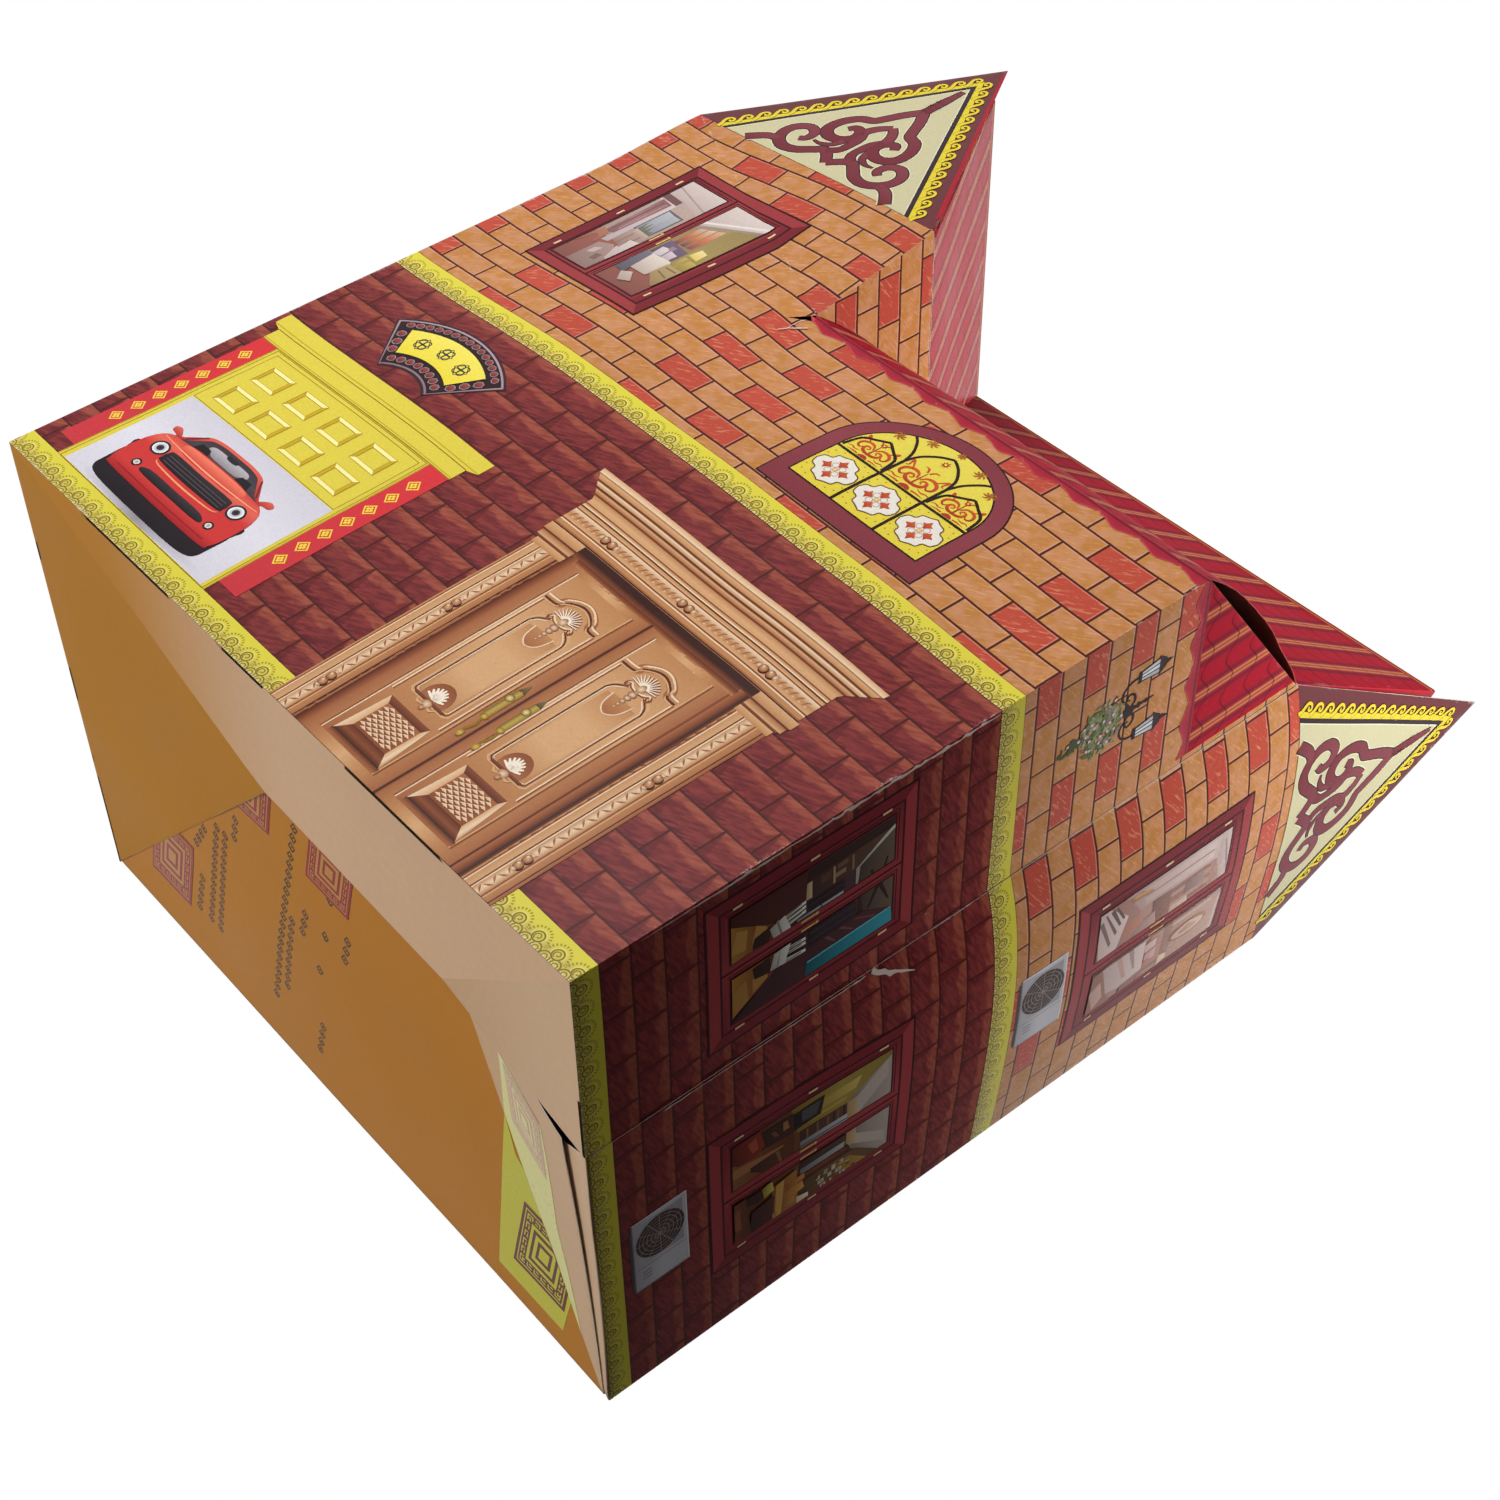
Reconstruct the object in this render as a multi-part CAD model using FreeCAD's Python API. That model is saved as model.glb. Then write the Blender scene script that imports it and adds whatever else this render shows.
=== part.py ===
"""Joss paper house: a two-storey villa folded and glued from four sheets of printed card.

Frame: millimetres, +Z up, front wall towards -Y, garage side at -X. The origin lies on the ground at
the centre of the box round the whole house. Every sheet is one closed solid of the card's thickness.
"""
import FreeCAD, Part
import math
import os

# ---------------------------------------------------------------- driving dimensions (mm)
HOUSE_WIDTH = 390.0        # along X, left wall to right wall
HOUSE_DEPTH = 260.0        # along Y, front wall to back wall
FRONT_DEPTH = 98.0         # depth of the part in front of the main roof
BLOCK_WIDTH = 163.0        # width of the tall block at the front left
WALL_HEIGHT = 378.0        # top of the tall walls, foot of the gables
LEAN_TO_HEIGHT = 309.0     # eave of the lean-to roof
RIDGE_HEIGHT = 496.0       # both ridges
GABLE_POINT = 7.0          # how far a gable's point stands above the ridges
CARD = 0.5                 # thickness of the card
GLUE_GAP = 0.1             # clearance between two glued sheets
SEAM_TAB = 12.0            # width of a glue tab
FLANGE_WIDTH = 17.0        # width of a roof sheet's end flange

# how the card stands after it has been opened out by hand
WALL_BULGE = 9.0           # outward belly of the back half of the right wall
BULGE_START = 40.0         # height at which that belly begins
BULGE_FULL = 260.0         # height at which it is full
BULGE_EASE = 345.0         # height above which it eases off
BULGE_END = 470.0          # height at which it is gone
BULGE_SKEW = 0.7           # under 1 brings the belly's crest nearer to the seam
GABLE_LEAN = 10.0          # outward lean of the right gable's point
BLOCK_LEAN_SHARE = 0.19    # forward lean of the block's free top corner, as a share of its rise over the eave
BLOCK_POINT_LEAN = 9.0     # forward lean of the block gable's point
LEAN_TO_BOW_SHARE = 0.16   # belly of the lean-to roof over its chord, as a share of its rise
CHEEK_GAP = 1.0            # lean-to roof's end edge to the right wall
RIGHT_RIDGE_SETBACK = 6.0  # main ridge's end to the right wall
LEFT_RIDGE_SETBACK = 3.5   # main ridge's end to the left wall
FLANGE_STANDOFF = 1.0      # cross roof's front fold to the front wall, at the left eave
CORNER_STANDOFF = 3.0      # the same at the leaning right corner
POINT_STANDOFF = 12.0      # the same at the gable's point
VALLEY_GAP = 0.8           # cross roof's cut edge to the main roof

# bottom flaps
LEFT_FOLD_X = 183.0        # where the left triangle and the front flap meet
LEFT_FOLD_Y = 70.0
RIGHT_FOLD_X = 304.0       # where the right triangle and the front flap meet
RIGHT_FOLD_Y = 75.0
SLIT_START_X = 233.0       # left end of the slit between the front flap and the back flap
SLIT_GAP = 2.0             # width of that slit
BACK_FLAP_REACH = 220.0    # how far the back flap runs in under the front flap
FLAP_RELIEF = 4.0          # notch at the end of the back flap's fold
CORNER_CUT = 16.0          # back flap's cut edge to the right wall, at its front end
SIDE_FLAP_WIDTH = 70.0     # small flap of the right wall
SIDE_FLAP_RISE = 10.0      # how far that flap has sunk into the house

# torn notch where the lean-to meets the block's return wall
TEAR_WIDTH = 7.0
TEAR_DEPTH = 11.0

# how finely curved card is divided
BOW_STEPS = 10
BELLY_COLUMNS = 8
BELLY_ROWS = 12
GABLE_ROWS = 4

# ---------------------------------------------------------------- worked-out dimensions
LAYER = CARD + GLUE_GAP
BLOCK_LEAN = BLOCK_LEAN_SHARE * (WALL_HEIGHT - LEAN_TO_HEIGHT)
BACK_DEPTH = HOUSE_DEPTH - FRONT_DEPTH
RIDGE_Y = FRONT_DEPTH + BACK_DEPTH / 2.0
BLOCK_RIDGE_X = BLOCK_WIDTH / 2.0
POINT_HEIGHT = RIDGE_HEIGHT + GABLE_POINT
ROOF_FOOT = WALL_HEIGHT + LAYER
LAP_X = HOUSE_WIDTH - LAYER                    # outer face of the card under the side seam
CENTRE_X = (HOUSE_WIDTH + max(WALL_BULGE, GABLE_LEAN)) / 2.0
CENTRE_Y = (HOUSE_DEPTH - BLOCK_LEAN) / 2.0
SETTLE_ROUNDS = 400
FLAT_ENOUGH = 5e-8


# ---------------------------------------------------------------- sheet maker
def at(x, y, z):
    """Place of a point given from the left wall, the front wall and the ground."""
    return FreeCAD.Vector(x - CENTRE_X, y - CENTRE_Y, z)


def between(first, second, share):
    """Point that lies the given share of the way from the first to the second."""
    return first + (second - first) * share


def name_of(point):
    """Key under which equal points are found again."""
    return (round(point.x, 4), round(point.y, 4), round(point.z, 4))


def normal_of(points):
    """Unit normal of a polygon, flat or nearly flat."""
    total = FreeCAD.Vector()
    for here, after in zip(points, points[1:] + points[:1]):
        total += here.cross(after)
    return total.normalize()


def middle_of(points):
    """Mean of the points."""
    return sum(points, FreeCAD.Vector()) * (1.0 / len(points))


def facing_out(points, inside):
    """The polygon turned so that its normal points away from the inside point."""
    outward = (middle_of(points) - inside).dot(normal_of(points)) > 0
    return list(points) if outward else list(reversed(points))


def inner_points(panels):
    """For each corner of the sheet, its partner on the inner face of the card."""
    normals, corners = {}, {}
    for points in panels:
        normal = normal_of(points)
        for point in points:
            key = name_of(point)
            corners[key] = point
            normals.setdefault(key, []).append(normal)
    partners = {}
    for key, point in corners.items():
        step = FreeCAD.Vector()
        for _ in range(SETTLE_ROUNDS):
            for normal in normals[key]:
                step += normal * (-CARD - normal.dot(step))
        partners[key] = point + step
    return partners


def face_of(points):
    """Flat face through a polygon's corners."""
    return Part.Face(Part.makePolygon(points + points[:1]))


def faces_of(points):
    """One flat face, or a fan of triangles where the polygon isn't quite flat."""
    middle, normal = middle_of(points), normal_of(points)
    if all(abs((point - middle).dot(normal)) < FLAT_ENOUGH for point in points):
        return [face_of(points)]
    if len(points) == 4:
        return [face_of([points[0], points[1], points[2]]), face_of([points[0], points[2], points[3]])]
    return [face_of([middle, here, after]) for here, after in zip(points, points[1:] + points[:1])]


def folded_sheet(panels, inside):
    """Closed solid of one creased sheet, given the outer faces of its panels."""
    panels = [facing_out(points, inside) for points in panels]
    partners = inner_points(panels)
    edges = {(name_of(a), name_of(b)) for points in panels for a, b in zip(points, points[1:] + points[:1])}
    faces = []
    for points in panels:
        faces += faces_of(points)
        faces += faces_of([partners[name_of(point)] for point in reversed(points)])
        for here, after in zip(points, points[1:] + points[:1]):
            if (name_of(after), name_of(here)) not in edges:
                faces += faces_of([after, here, partners[name_of(here)], partners[name_of(after)]])
    shell = Part.makeShell(faces)
    shell.sewShape()
    return Part.makeSolid(shell)


# ---------------------------------------------------------------- shapes of the standing card
def smooth_step(value, low, high):
    """Rises smoothly from 0 at low to 1 at high."""
    share = min(1.0, max(0.0, (value - low) / (high - low)))
    return share * share * (3.0 - 2.0 * share)


def right_wall_point(share, z):
    """Outer face of the right wall's bulged back half, from its seam (0) to the back corner (1)."""
    climb = max(0.0, (z - WALL_HEIGHT) / (POINT_HEIGHT - WALL_HEIGHT))
    belly = smooth_step(z, BULGE_START, BULGE_FULL) * (1.0 - smooth_step(z, BULGE_EASE, BULGE_END))
    x = HOUSE_WIDTH + WALL_BULGE * belly * math.sin(math.pi * share ** BULGE_SKEW) + GABLE_LEAN * climb
    y = RIDGE_Y + (share - 0.5) * BACK_DEPTH * (1.0 - climb)
    return at(x, y, z)


def wall_heights():
    """Heights of the rows of points on the bulged wall, below its gable."""
    return [LAYER + (WALL_HEIGHT - LAYER) * row / BELLY_ROWS for row in range(BELLY_ROWS + 1)]


def lean_to_point(x, share):
    """Outer face of the lean-to roof, from its eave (0) to the foot of the main roof (1)."""
    rise = WALL_HEIGHT - LEAN_TO_HEIGHT
    chord = math.hypot(FRONT_DEPTH, rise)
    bow = LEAN_TO_BOW_SHARE * rise * math.sin(math.pi * share)
    y = FRONT_DEPTH * share - bow * rise / chord
    return at(x, y, LEAN_TO_HEIGHT + rise * share + bow * FRONT_DEPTH / chord)


def lean_to_edge(x):
    """Points along the lean-to roof's profile at one x."""
    return [lean_to_point(x, step / BOW_STEPS) for step in range(BOW_STEPS + 1)]


def block_top_corner():
    """The block's free top corner, which leans forward."""
    return at(BLOCK_WIDTH, -BLOCK_LEAN, WALL_HEIGHT)


# ---------------------------------------------------------------- panels of the front wall sheet
def left_wall():
    """Left wall with its gable over the back part."""
    return [at(0, 0, 0), at(0, HOUSE_DEPTH, 0), at(0, HOUSE_DEPTH, WALL_HEIGHT), at(0, RIDGE_Y, POINT_HEIGHT),
            at(0, FRONT_DEPTH, WALL_HEIGHT), at(0, 0, WALL_HEIGHT), at(0, 0, LEAN_TO_HEIGHT)]


def front_wall():
    """Front wall up to the lean-to's eave."""
    return [at(0, 0, 0), at(HOUSE_WIDTH, 0, 0), at(HOUSE_WIDTH, 0, LEAN_TO_HEIGHT),
            at(HOUSE_WIDTH - CHEEK_GAP, 0, LEAN_TO_HEIGHT), at(BLOCK_WIDTH, 0, LEAN_TO_HEIGHT),
            at(0, 0, LEAN_TO_HEIGHT)]


def block_front():
    """Upper front of the block, with a soft diagonal bend, and its gable."""
    low_left, high_left = at(0, 0, LEAN_TO_HEIGHT), at(0, 0, WALL_HEIGHT)
    low_right, high_right = at(BLOCK_WIDTH, 0, LEAN_TO_HEIGHT), block_top_corner()
    point = at(BLOCK_RIDGE_X, -BLOCK_POINT_LEAN, POINT_HEIGHT)
    return [[low_left, low_right, high_left], [low_right, high_right, high_left], [high_left, high_right, point]]


def return_wall():
    """Small wall of the block above the lean-to roof."""
    return lean_to_edge(BLOCK_WIDTH) + [block_top_corner()]


def lean_to_roof():
    """Bowed lean-to roof, strip by strip."""
    left, right = lean_to_edge(BLOCK_WIDTH), lean_to_edge(HOUSE_WIDTH - CHEEK_GAP)
    return [[left[i], right[i], right[i + 1], left[i + 1]] for i in range(BOW_STEPS)]


def right_front_wall():
    """Front half of the right wall with the lean-to's cheek and the tab under the side seam."""
    def on_panel(y, z):
        return at(HOUSE_WIDTH - LAYER * y / FRONT_DEPTH, y, z)

    tab = FRONT_DEPTH + SEAM_TAB
    return [on_panel(0, 0), on_panel(FRONT_DEPTH, 0), on_panel(FRONT_DEPTH, SEAM_TAB / 2.0),
            on_panel(tab, SEAM_TAB), on_panel(tab, WALL_HEIGHT - 2.0 * SEAM_TAB),
            on_panel(FRONT_DEPTH, WALL_HEIGHT - SEAM_TAB), on_panel(FRONT_DEPTH, WALL_HEIGHT - LAYER),
            on_panel(0, LEAN_TO_HEIGHT)]


def front_bottom_flaps():
    """Left triangle, front flap and right triangle, creased along two diagonals."""
    front_left, front_right = at(0, 0, 0), at(HOUSE_WIDTH, 0, 0)
    left_fold, right_fold = at(LEFT_FOLD_X, LEFT_FOLD_Y, 0), at(RIGHT_FOLD_X, RIGHT_FOLD_Y, 0)
    return [[front_left, left_fold, at(0, HOUSE_DEPTH, 0)],
            [front_left, front_right, right_fold, left_fold],
            [front_right, at(LAP_X, FRONT_DEPTH, 0), right_fold]]


def torn_notch():
    """Wedge torn out where the lean-to's eave runs into the block's return wall."""
    corner = at(BLOCK_WIDTH, -TEAR_WIDTH / 2.0, LEAN_TO_HEIGHT)
    outline = [corner + FreeCAD.Vector(0, 0, CARD), corner + FreeCAD.Vector(-TEAR_WIDTH, 0, -TEAR_DEPTH),
               corner + FreeCAD.Vector(TEAR_WIDTH / 3.0, 0, -TEAR_DEPTH / 3.0)]
    return face_of(outline).extrude(FreeCAD.Vector(0, TEAR_WIDTH, 0))


def front_wall_sheet():
    """Left wall, front wall, lean-to roof and front half of the right wall, in one sheet."""
    panels = [left_wall(), front_wall(), return_wall(), right_front_wall()]
    panels += block_front() + lean_to_roof() + front_bottom_flaps()
    sheet = folded_sheet(panels, at(BLOCK_RIDGE_X, FRONT_DEPTH / 2.0, LEAN_TO_HEIGHT / 2.0))
    return sheet.cut(torn_notch())


# ---------------------------------------------------------------- panels of the back wall sheet
def back_wall():
    """Back wall, with the bulged wall's points on its right edge."""
    corner = [right_wall_point(1.0, z) for z in wall_heights()]
    return corner + [at(LAYER, HOUSE_DEPTH, WALL_HEIGHT), at(LAYER, HOUSE_DEPTH, LAYER),
                     at(HOUSE_WIDTH - FLAP_RELIEF, HOUSE_DEPTH, LAYER)]


def back_corner_tab():
    """Glue tab inside the left wall."""
    return [at(LAYER, HOUSE_DEPTH, LAYER), at(LAYER, HOUSE_DEPTH, WALL_HEIGHT),
            at(LAYER, HOUSE_DEPTH - SEAM_TAB, WALL_HEIGHT - SEAM_TAB),
            at(LAYER, HOUSE_DEPTH - SEAM_TAB, SEAM_TAB)]


def bulged_wall():
    """Back half of the right wall and its gable, as small triangles over the belly."""
    point = right_wall_point(0.5, POINT_HEIGHT)
    climb = (POINT_HEIGHT - WALL_HEIGHT) / GABLE_ROWS
    heights = wall_heights() + [WALL_HEIGHT + climb * row for row in range(1, GABLE_ROWS)]
    rows = [[right_wall_point(column / BELLY_COLUMNS, z) for column in range(BELLY_COLUMNS + 1)]
            for z in heights]
    panels = []
    for low, high in zip(rows, rows[1:]):
        for i in range(BELLY_COLUMNS):
            panels += [[low[i], low[i + 1], high[i + 1]], [low[i], high[i + 1], high[i]]]
    top = rows[-1]
    return panels + [[top[i], top[i + 1], point] for i in range(BELLY_COLUMNS)]


def back_bottom_flap():
    """Large flap of the back wall, cut away along the slit and at its free right corner."""
    slit_y = RIGHT_FOLD_Y + SLIT_GAP
    reach_y = HOUSE_DEPTH - BACK_FLAP_REACH
    cut_x = HOUSE_WIDTH - CORNER_CUT
    return [at(HOUSE_WIDTH - FLAP_RELIEF, HOUSE_DEPTH, LAYER), at(LAYER, HOUSE_DEPTH, LAYER),
            at(FLAP_RELIEF, HOUSE_DEPTH - FLAP_RELIEF, LAYER), at(FLAP_RELIEF, reach_y, LAYER),
            at(SLIT_START_X - FLAP_RELIEF, reach_y, LAYER), at(SLIT_START_X, slit_y, LAYER),
            at(RIGHT_FOLD_X, slit_y, LAYER), at(cut_x - CORNER_CUT, slit_y + CORNER_CUT, LAYER),
            at(cut_x, FRONT_DEPTH + FLAP_RELIEF, LAYER),
            at(cut_x + FLAP_RELIEF, FRONT_DEPTH + BACK_DEPTH / 3.0, LAYER)]


def right_side_flap():
    """Small flap of the bulged wall, sunk into the house."""
    fold = [right_wall_point(column / BELLY_COLUMNS, LAYER) for column in range(BELLY_COLUMNS + 1)]
    inner_x, inner_z = HOUSE_WIDTH - SIDE_FLAP_WIDTH, LAYER + SIDE_FLAP_RISE
    inset = BACK_DEPTH / 4.0
    return fold + [at(inner_x, HOUSE_DEPTH - inset, inner_z), at(inner_x, FRONT_DEPTH + inset, inner_z)]


def back_wall_sheet():
    """Back wall, back half of the right wall and their flaps, in one sheet."""
    panels = [back_wall(), back_corner_tab(), back_bottom_flap(), right_side_flap()] + bulged_wall()
    return folded_sheet(panels, at(HOUSE_WIDTH / 2.0, RIDGE_Y, WALL_HEIGHT / 2.0))


# ---------------------------------------------------------------- roof sheets
def end_flange(foot, top, other_foot):
    """Flange folded down from both slopes' end edges: a chevron in the plane of those edges."""
    share = FLANGE_WIDTH / (other_foot - foot).Length
    base = between(foot, other_foot, 0.5)
    return [foot, top, other_foot, between(other_foot, foot, share), between(top, base, 2.0 * share),
            between(foot, other_foot, share)]


def main_roof_sheet():
    """Both slopes of the main roof and the flange behind each end gable."""
    left, right = LAYER, LAP_X
    front_left, front_right = at(left, FRONT_DEPTH, ROOF_FOOT), at(right, FRONT_DEPTH, ROOF_FOOT)
    back_left, back_right = at(left, HOUSE_DEPTH, ROOF_FOOT), at(right, HOUSE_DEPTH, ROOF_FOOT)
    top_left = at(LEFT_RIDGE_SETBACK, RIDGE_Y, RIDGE_HEIGHT)
    top_right = at(HOUSE_WIDTH - RIGHT_RIDGE_SETBACK, RIDGE_Y, RIDGE_HEIGHT)
    panels = [[front_left, front_right, top_right, top_left], [back_left, back_right, top_right, top_left],
              end_flange(front_right, top_right, back_right), end_flange(front_left, top_left, back_left)]
    return folded_sheet(panels, at(HOUSE_WIDTH / 2.0, RIDGE_Y, WALL_HEIGHT))


def cross_roof_sheet():
    """Both slopes of the block's roof, cut to the main roof, and the flange behind its gable."""
    back_foot, back_top = FRONT_DEPTH - VALLEY_GAP, RIDGE_Y - VALLEY_GAP
    left_foot = at(0, FLANGE_STANDOFF, ROOF_FOOT)
    right_foot = at(BLOCK_WIDTH, CORNER_STANDOFF - BLOCK_LEAN, ROOF_FOOT)
    top = at(BLOCK_RIDGE_X, POINT_STANDOFF - BLOCK_POINT_LEAN, RIDGE_HEIGHT)
    valley_top = at(BLOCK_RIDGE_X, back_top, RIDGE_HEIGHT)
    panels = [[left_foot, top, valley_top, at(0, back_foot, ROOF_FOOT)],
              [right_foot, at(BLOCK_WIDTH, back_foot, ROOF_FOOT), valley_top, top],
              end_flange(right_foot, top, left_foot)]
    return folded_sheet(panels, at(BLOCK_RIDGE_X, RIDGE_Y / 2.0, WALL_HEIGHT))


SHEETS = {
    "front_wall_sheet": front_wall_sheet,
    "back_wall_sheet": back_wall_sheet,
    "main_roof_sheet": main_roof_sheet,
    "cross_roof_sheet": cross_roof_sheet,
}


def main():
    """Write one STEP file for each sheet."""
    os.makedirs("parts", exist_ok=True)
    for name, make in SHEETS.items():
        shape = make()
        shape.exportStep("parts/" + name + ".step")
        box = shape.BoundBox
        print(name, "valid", shape.isValid(), "solids", len(shape.Solids), "volume", round(shape.Volume, 1),
              "box", [round(v, 1) for v in (box.XMin, box.YMin, box.ZMin, box.XMax, box.YMax, box.ZMax)])


main()
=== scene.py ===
"""Joss paper house: a two-storey villa folded and glued from sheets of printed, laminated card.

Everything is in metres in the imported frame. Places on the house are given in millimetres from the
left wall, the front wall and the ground, as a maker would measure them on the finished house.
"""
import logging
import math
from dataclasses import dataclass, field
from enum import Enum, IntEnum
from functools import reduce
from typing import Callable, Iterable, Sequence

import bmesh
import bpy
from mathutils import Matrix, Vector, noise
from mathutils.bvhtree import BVHTree
from mathutils.interpolate import poly_3d_calc
from mathutils.kdtree import KDTree


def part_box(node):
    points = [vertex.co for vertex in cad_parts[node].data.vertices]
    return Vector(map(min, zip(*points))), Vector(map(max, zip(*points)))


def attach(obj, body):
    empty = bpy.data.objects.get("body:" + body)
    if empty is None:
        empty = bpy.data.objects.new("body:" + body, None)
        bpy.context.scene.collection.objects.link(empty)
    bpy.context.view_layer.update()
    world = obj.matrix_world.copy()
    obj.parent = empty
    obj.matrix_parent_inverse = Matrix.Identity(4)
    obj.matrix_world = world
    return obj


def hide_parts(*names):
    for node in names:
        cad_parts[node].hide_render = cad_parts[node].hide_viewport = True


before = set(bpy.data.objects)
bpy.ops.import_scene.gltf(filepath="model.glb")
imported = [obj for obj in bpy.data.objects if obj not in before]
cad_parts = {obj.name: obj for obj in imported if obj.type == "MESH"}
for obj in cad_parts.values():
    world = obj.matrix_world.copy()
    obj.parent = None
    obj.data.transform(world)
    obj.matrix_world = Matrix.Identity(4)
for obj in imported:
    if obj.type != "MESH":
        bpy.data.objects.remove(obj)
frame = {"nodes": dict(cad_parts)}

LOG = logging.getLogger("joss_paper_house")
MM = 0.001
BODY = "root"
PRINT_MAP = "print"        # UV map of the flat print, in metres
INK = "ink"                # colour attribute of the drawn prints
FOLD = "fold"              # 1 on a fold, 0 a few millimetres away
NEAR = 0.001               # how close to a cutting plane a corner counts as on it, in millimetres
Socket = bpy.types.NodeSocket
Value = float | Socket
Point = tuple[float, float]
# Scored lines of the bottom flaps, in millimetres, by sheet
BOTTOM_SCORES = {"front_wall_sheet": (((0, 0), (183, 70)), ((304, 75), (390, 0))),
                 "back_wall_sheet": (((304, 77), (386, 260)),)}


class Panel(IntEnum):
    """Kinds of panel, in the order of their materials. The last two show the card's inner side."""

    WALL = 0
    GABLE = 1
    TILE = 2
    BACK_FLAP = 3
    LEFT_FLAP = 4
    FRONT_FLAP = 5
    FREE_FLAP = 6
    FLANGE = 7
    MATT_WALL = 8
    # tiles darkened as painted shade, under a matt film
    MATT_TILE = 9
    RED_INNER = 10
    INNER = 11


def ink(code: str) -> tuple[float, float, float, float]:
    """Turns a colour as a printer names it into the values Blender works with.

    Args:
        code: The colour as #rrggbb.

    Returns:
        The linear colour with full opacity.
    """
    parts = [int(code[i:i + 2], 16) / 255 for i in (1, 3, 5)]
    linear = [c / 12.92 if c <= 0.04045 else ((c + 0.055) / 1.055) ** 2.4 for c in parts]
    return (*linear, 1.0)


def eased(value: float, *table: Point) -> float:
    """Follows a table of values with soft turns at each entry.

    Args:
        value: Where to look.
        table: Places in rising order, each with its value.

    Returns:
        The value there; beyond the table's ends, that of the nearest end.
    """
    if value <= table[0][0]:
        return table[0][1]
    for (low, first), (high, second) in zip(table, table[1:]):
        if value < high:
            share = (value - low) / (high - low)
            return first + (second - first) * share * share * (3 - 2 * share)
    return table[-1][1]


def cut(mesh: bmesh.types.BMesh, faces: Iterable[bmesh.types.BMFace], place: Vector, direction: Vector,
        near: float) -> None:
    """Cuts faces of a mesh by a plane.

    Args:
        mesh: The mesh.
        faces: Those of its faces that are cut.
        place: A place on the plane.
        direction: The plane's normal.
        near: Distance within which a corner counts as lying on the plane.
    """
    faces = set(faces)
    edges = {edge for face in faces for edge in face.edges}
    bmesh.ops.bisect_plane(mesh, geom=[*{v for face in faces for v in face.verts}, *edges, *faces], dist=near,
                           plane_co=place, plane_no=direction)


def of_kind(items: Iterable, kind: type) -> list:
    """Picks the parts of one kind, such as faces, from what a mesh operator gives back."""
    return [item for item in items if isinstance(item, kind)]


def crosses(face: bmesh.types.BMFace, axis: int, level: float) -> bool:
    """Whether a face reaches over a level along an axis."""
    return min(vert.co[axis] for vert in face.verts) < level < max(vert.co[axis] for vert in face.verts)


def right_of(score: tuple[Point, Point], spot: Vector) -> bool:
    """Whether a spot lies to the right of a scored line, looking along it."""
    (x, y), (end_x, end_y) = score
    return (spot.x - x) * (end_y - y) > (spot.y - y) * (end_x - x)


def blended(values: Sequence[float | Vector], share: float) -> float | Vector:
    """Gives the value or colour at a share of the way along evenly spaced ones."""
    spot = share * (len(values) - 1)
    low = min(int(spot), max(len(values) - 2, 0))
    return values[low] + (values[min(low + 1, len(values) - 1)] - values[low]) * (spot - low)


def add_object(name: str, mesh: bmesh.types.BMesh) -> bpy.types.Object:
    """Turns a finished mesh into an object of the scene.

    Args:
        name: Name of the object and of its mesh.
        mesh: The mesh, which is used up.

    Returns:
        The new object.
    """
    data = bpy.data.meshes.new(name)
    mesh.to_mesh(data)
    mesh.free()
    made = bpy.data.objects.new(name, data)
    bpy.context.scene.collection.objects.link(made)
    return made


# ---------------------------------------------------------------- places on the house
@dataclass(frozen=True)
class House:
    """The house's main sizes in millimetres, and the place of its front left corner."""

    width: float
    depth: float
    front_depth: float
    block_width: float
    wall_top: float
    corner: Vector
    eave: float = 309.0

    @classmethod
    def from_frame(cls, depth: float = 260.0) -> "House":
        """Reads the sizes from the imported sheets.

        Args:
            depth: Length of the house from front wall to back wall, in millimetres.

        Returns:
            The sizes of this house.
        """
        walls, main, cross = (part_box(f"{name}_sheet") for name in ("front_wall", "main_roof", "cross_roof"))
        corner = Vector((walls[0].x, walls[1].y - depth * MM, walls[0].z))
        return cls(
            width=(walls[1].x - walls[0].x) / MM, depth=depth,
            front_depth=(main[0].y - corner.y) / MM, block_width=(cross[1].x - cross[0].x) / MM,
            wall_top=round(cross[0].z / MM), corner=corner)

    def at(self, x: float, y: float, z: float) -> Vector:
        """Gives a place measured in millimetres from the left wall, the front wall and the ground."""
        return self.corner + Vector((x, y, z)) * MM

    def measured(self, place: Vector) -> Vector:
        """Gives a place in metres as millimetres from the left wall, the front wall and the ground."""
        return (place - self.corner) / MM


class Side(Enum):
    """A side of the house that carries prints."""

    FRONT = "front"
    RIGHT = "right"
    LEFT = "left"
    BOTTOM = "bottom"

    def place(self, house: House, u: float, v: float, out: float) -> Vector:
        """Finds the place in front of a point of the print.

        Args:
            house: The house's sizes.
            u: Distance along the wall, in millimetres.
            v: Height on the wall, in millimetres.
            out: Distance out from the wall's plane, in millimetres.

        Returns:
            The place in metres.
        """
        return {
            Side.FRONT: lambda: house.at(u, -out, v),
            Side.RIGHT: lambda: house.at(house.width + out, u, v),
            Side.LEFT: lambda: house.at(-out, u, v),
            Side.BOTTOM: lambda: house.at(u, v, -out),
        }[self]()

    def flat(self, spot: Vector) -> Point:
        """Gives the print's u and v of a spot in millimetres from the house's corner."""
        along = spot.y if self in (Side.RIGHT, Side.LEFT) else spot.x
        return along, spot.y if self is Side.BOTTOM else spot.z

    @property
    def outward(self) -> Vector:
        """Direction in which this side faces."""
        return {Side.FRONT: Vector((0, -1, 0)), Side.RIGHT: Vector((1, 0, 0)), Side.LEFT: Vector((-1, 0, 0)),
                Side.BOTTOM: Vector((0, 0, -1))}[self]

    @property
    def mirrored(self) -> bool:
        """Whether a print's u runs from right to left when the side is looked at."""
        return self in (Side.LEFT, Side.BOTTOM)


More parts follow.
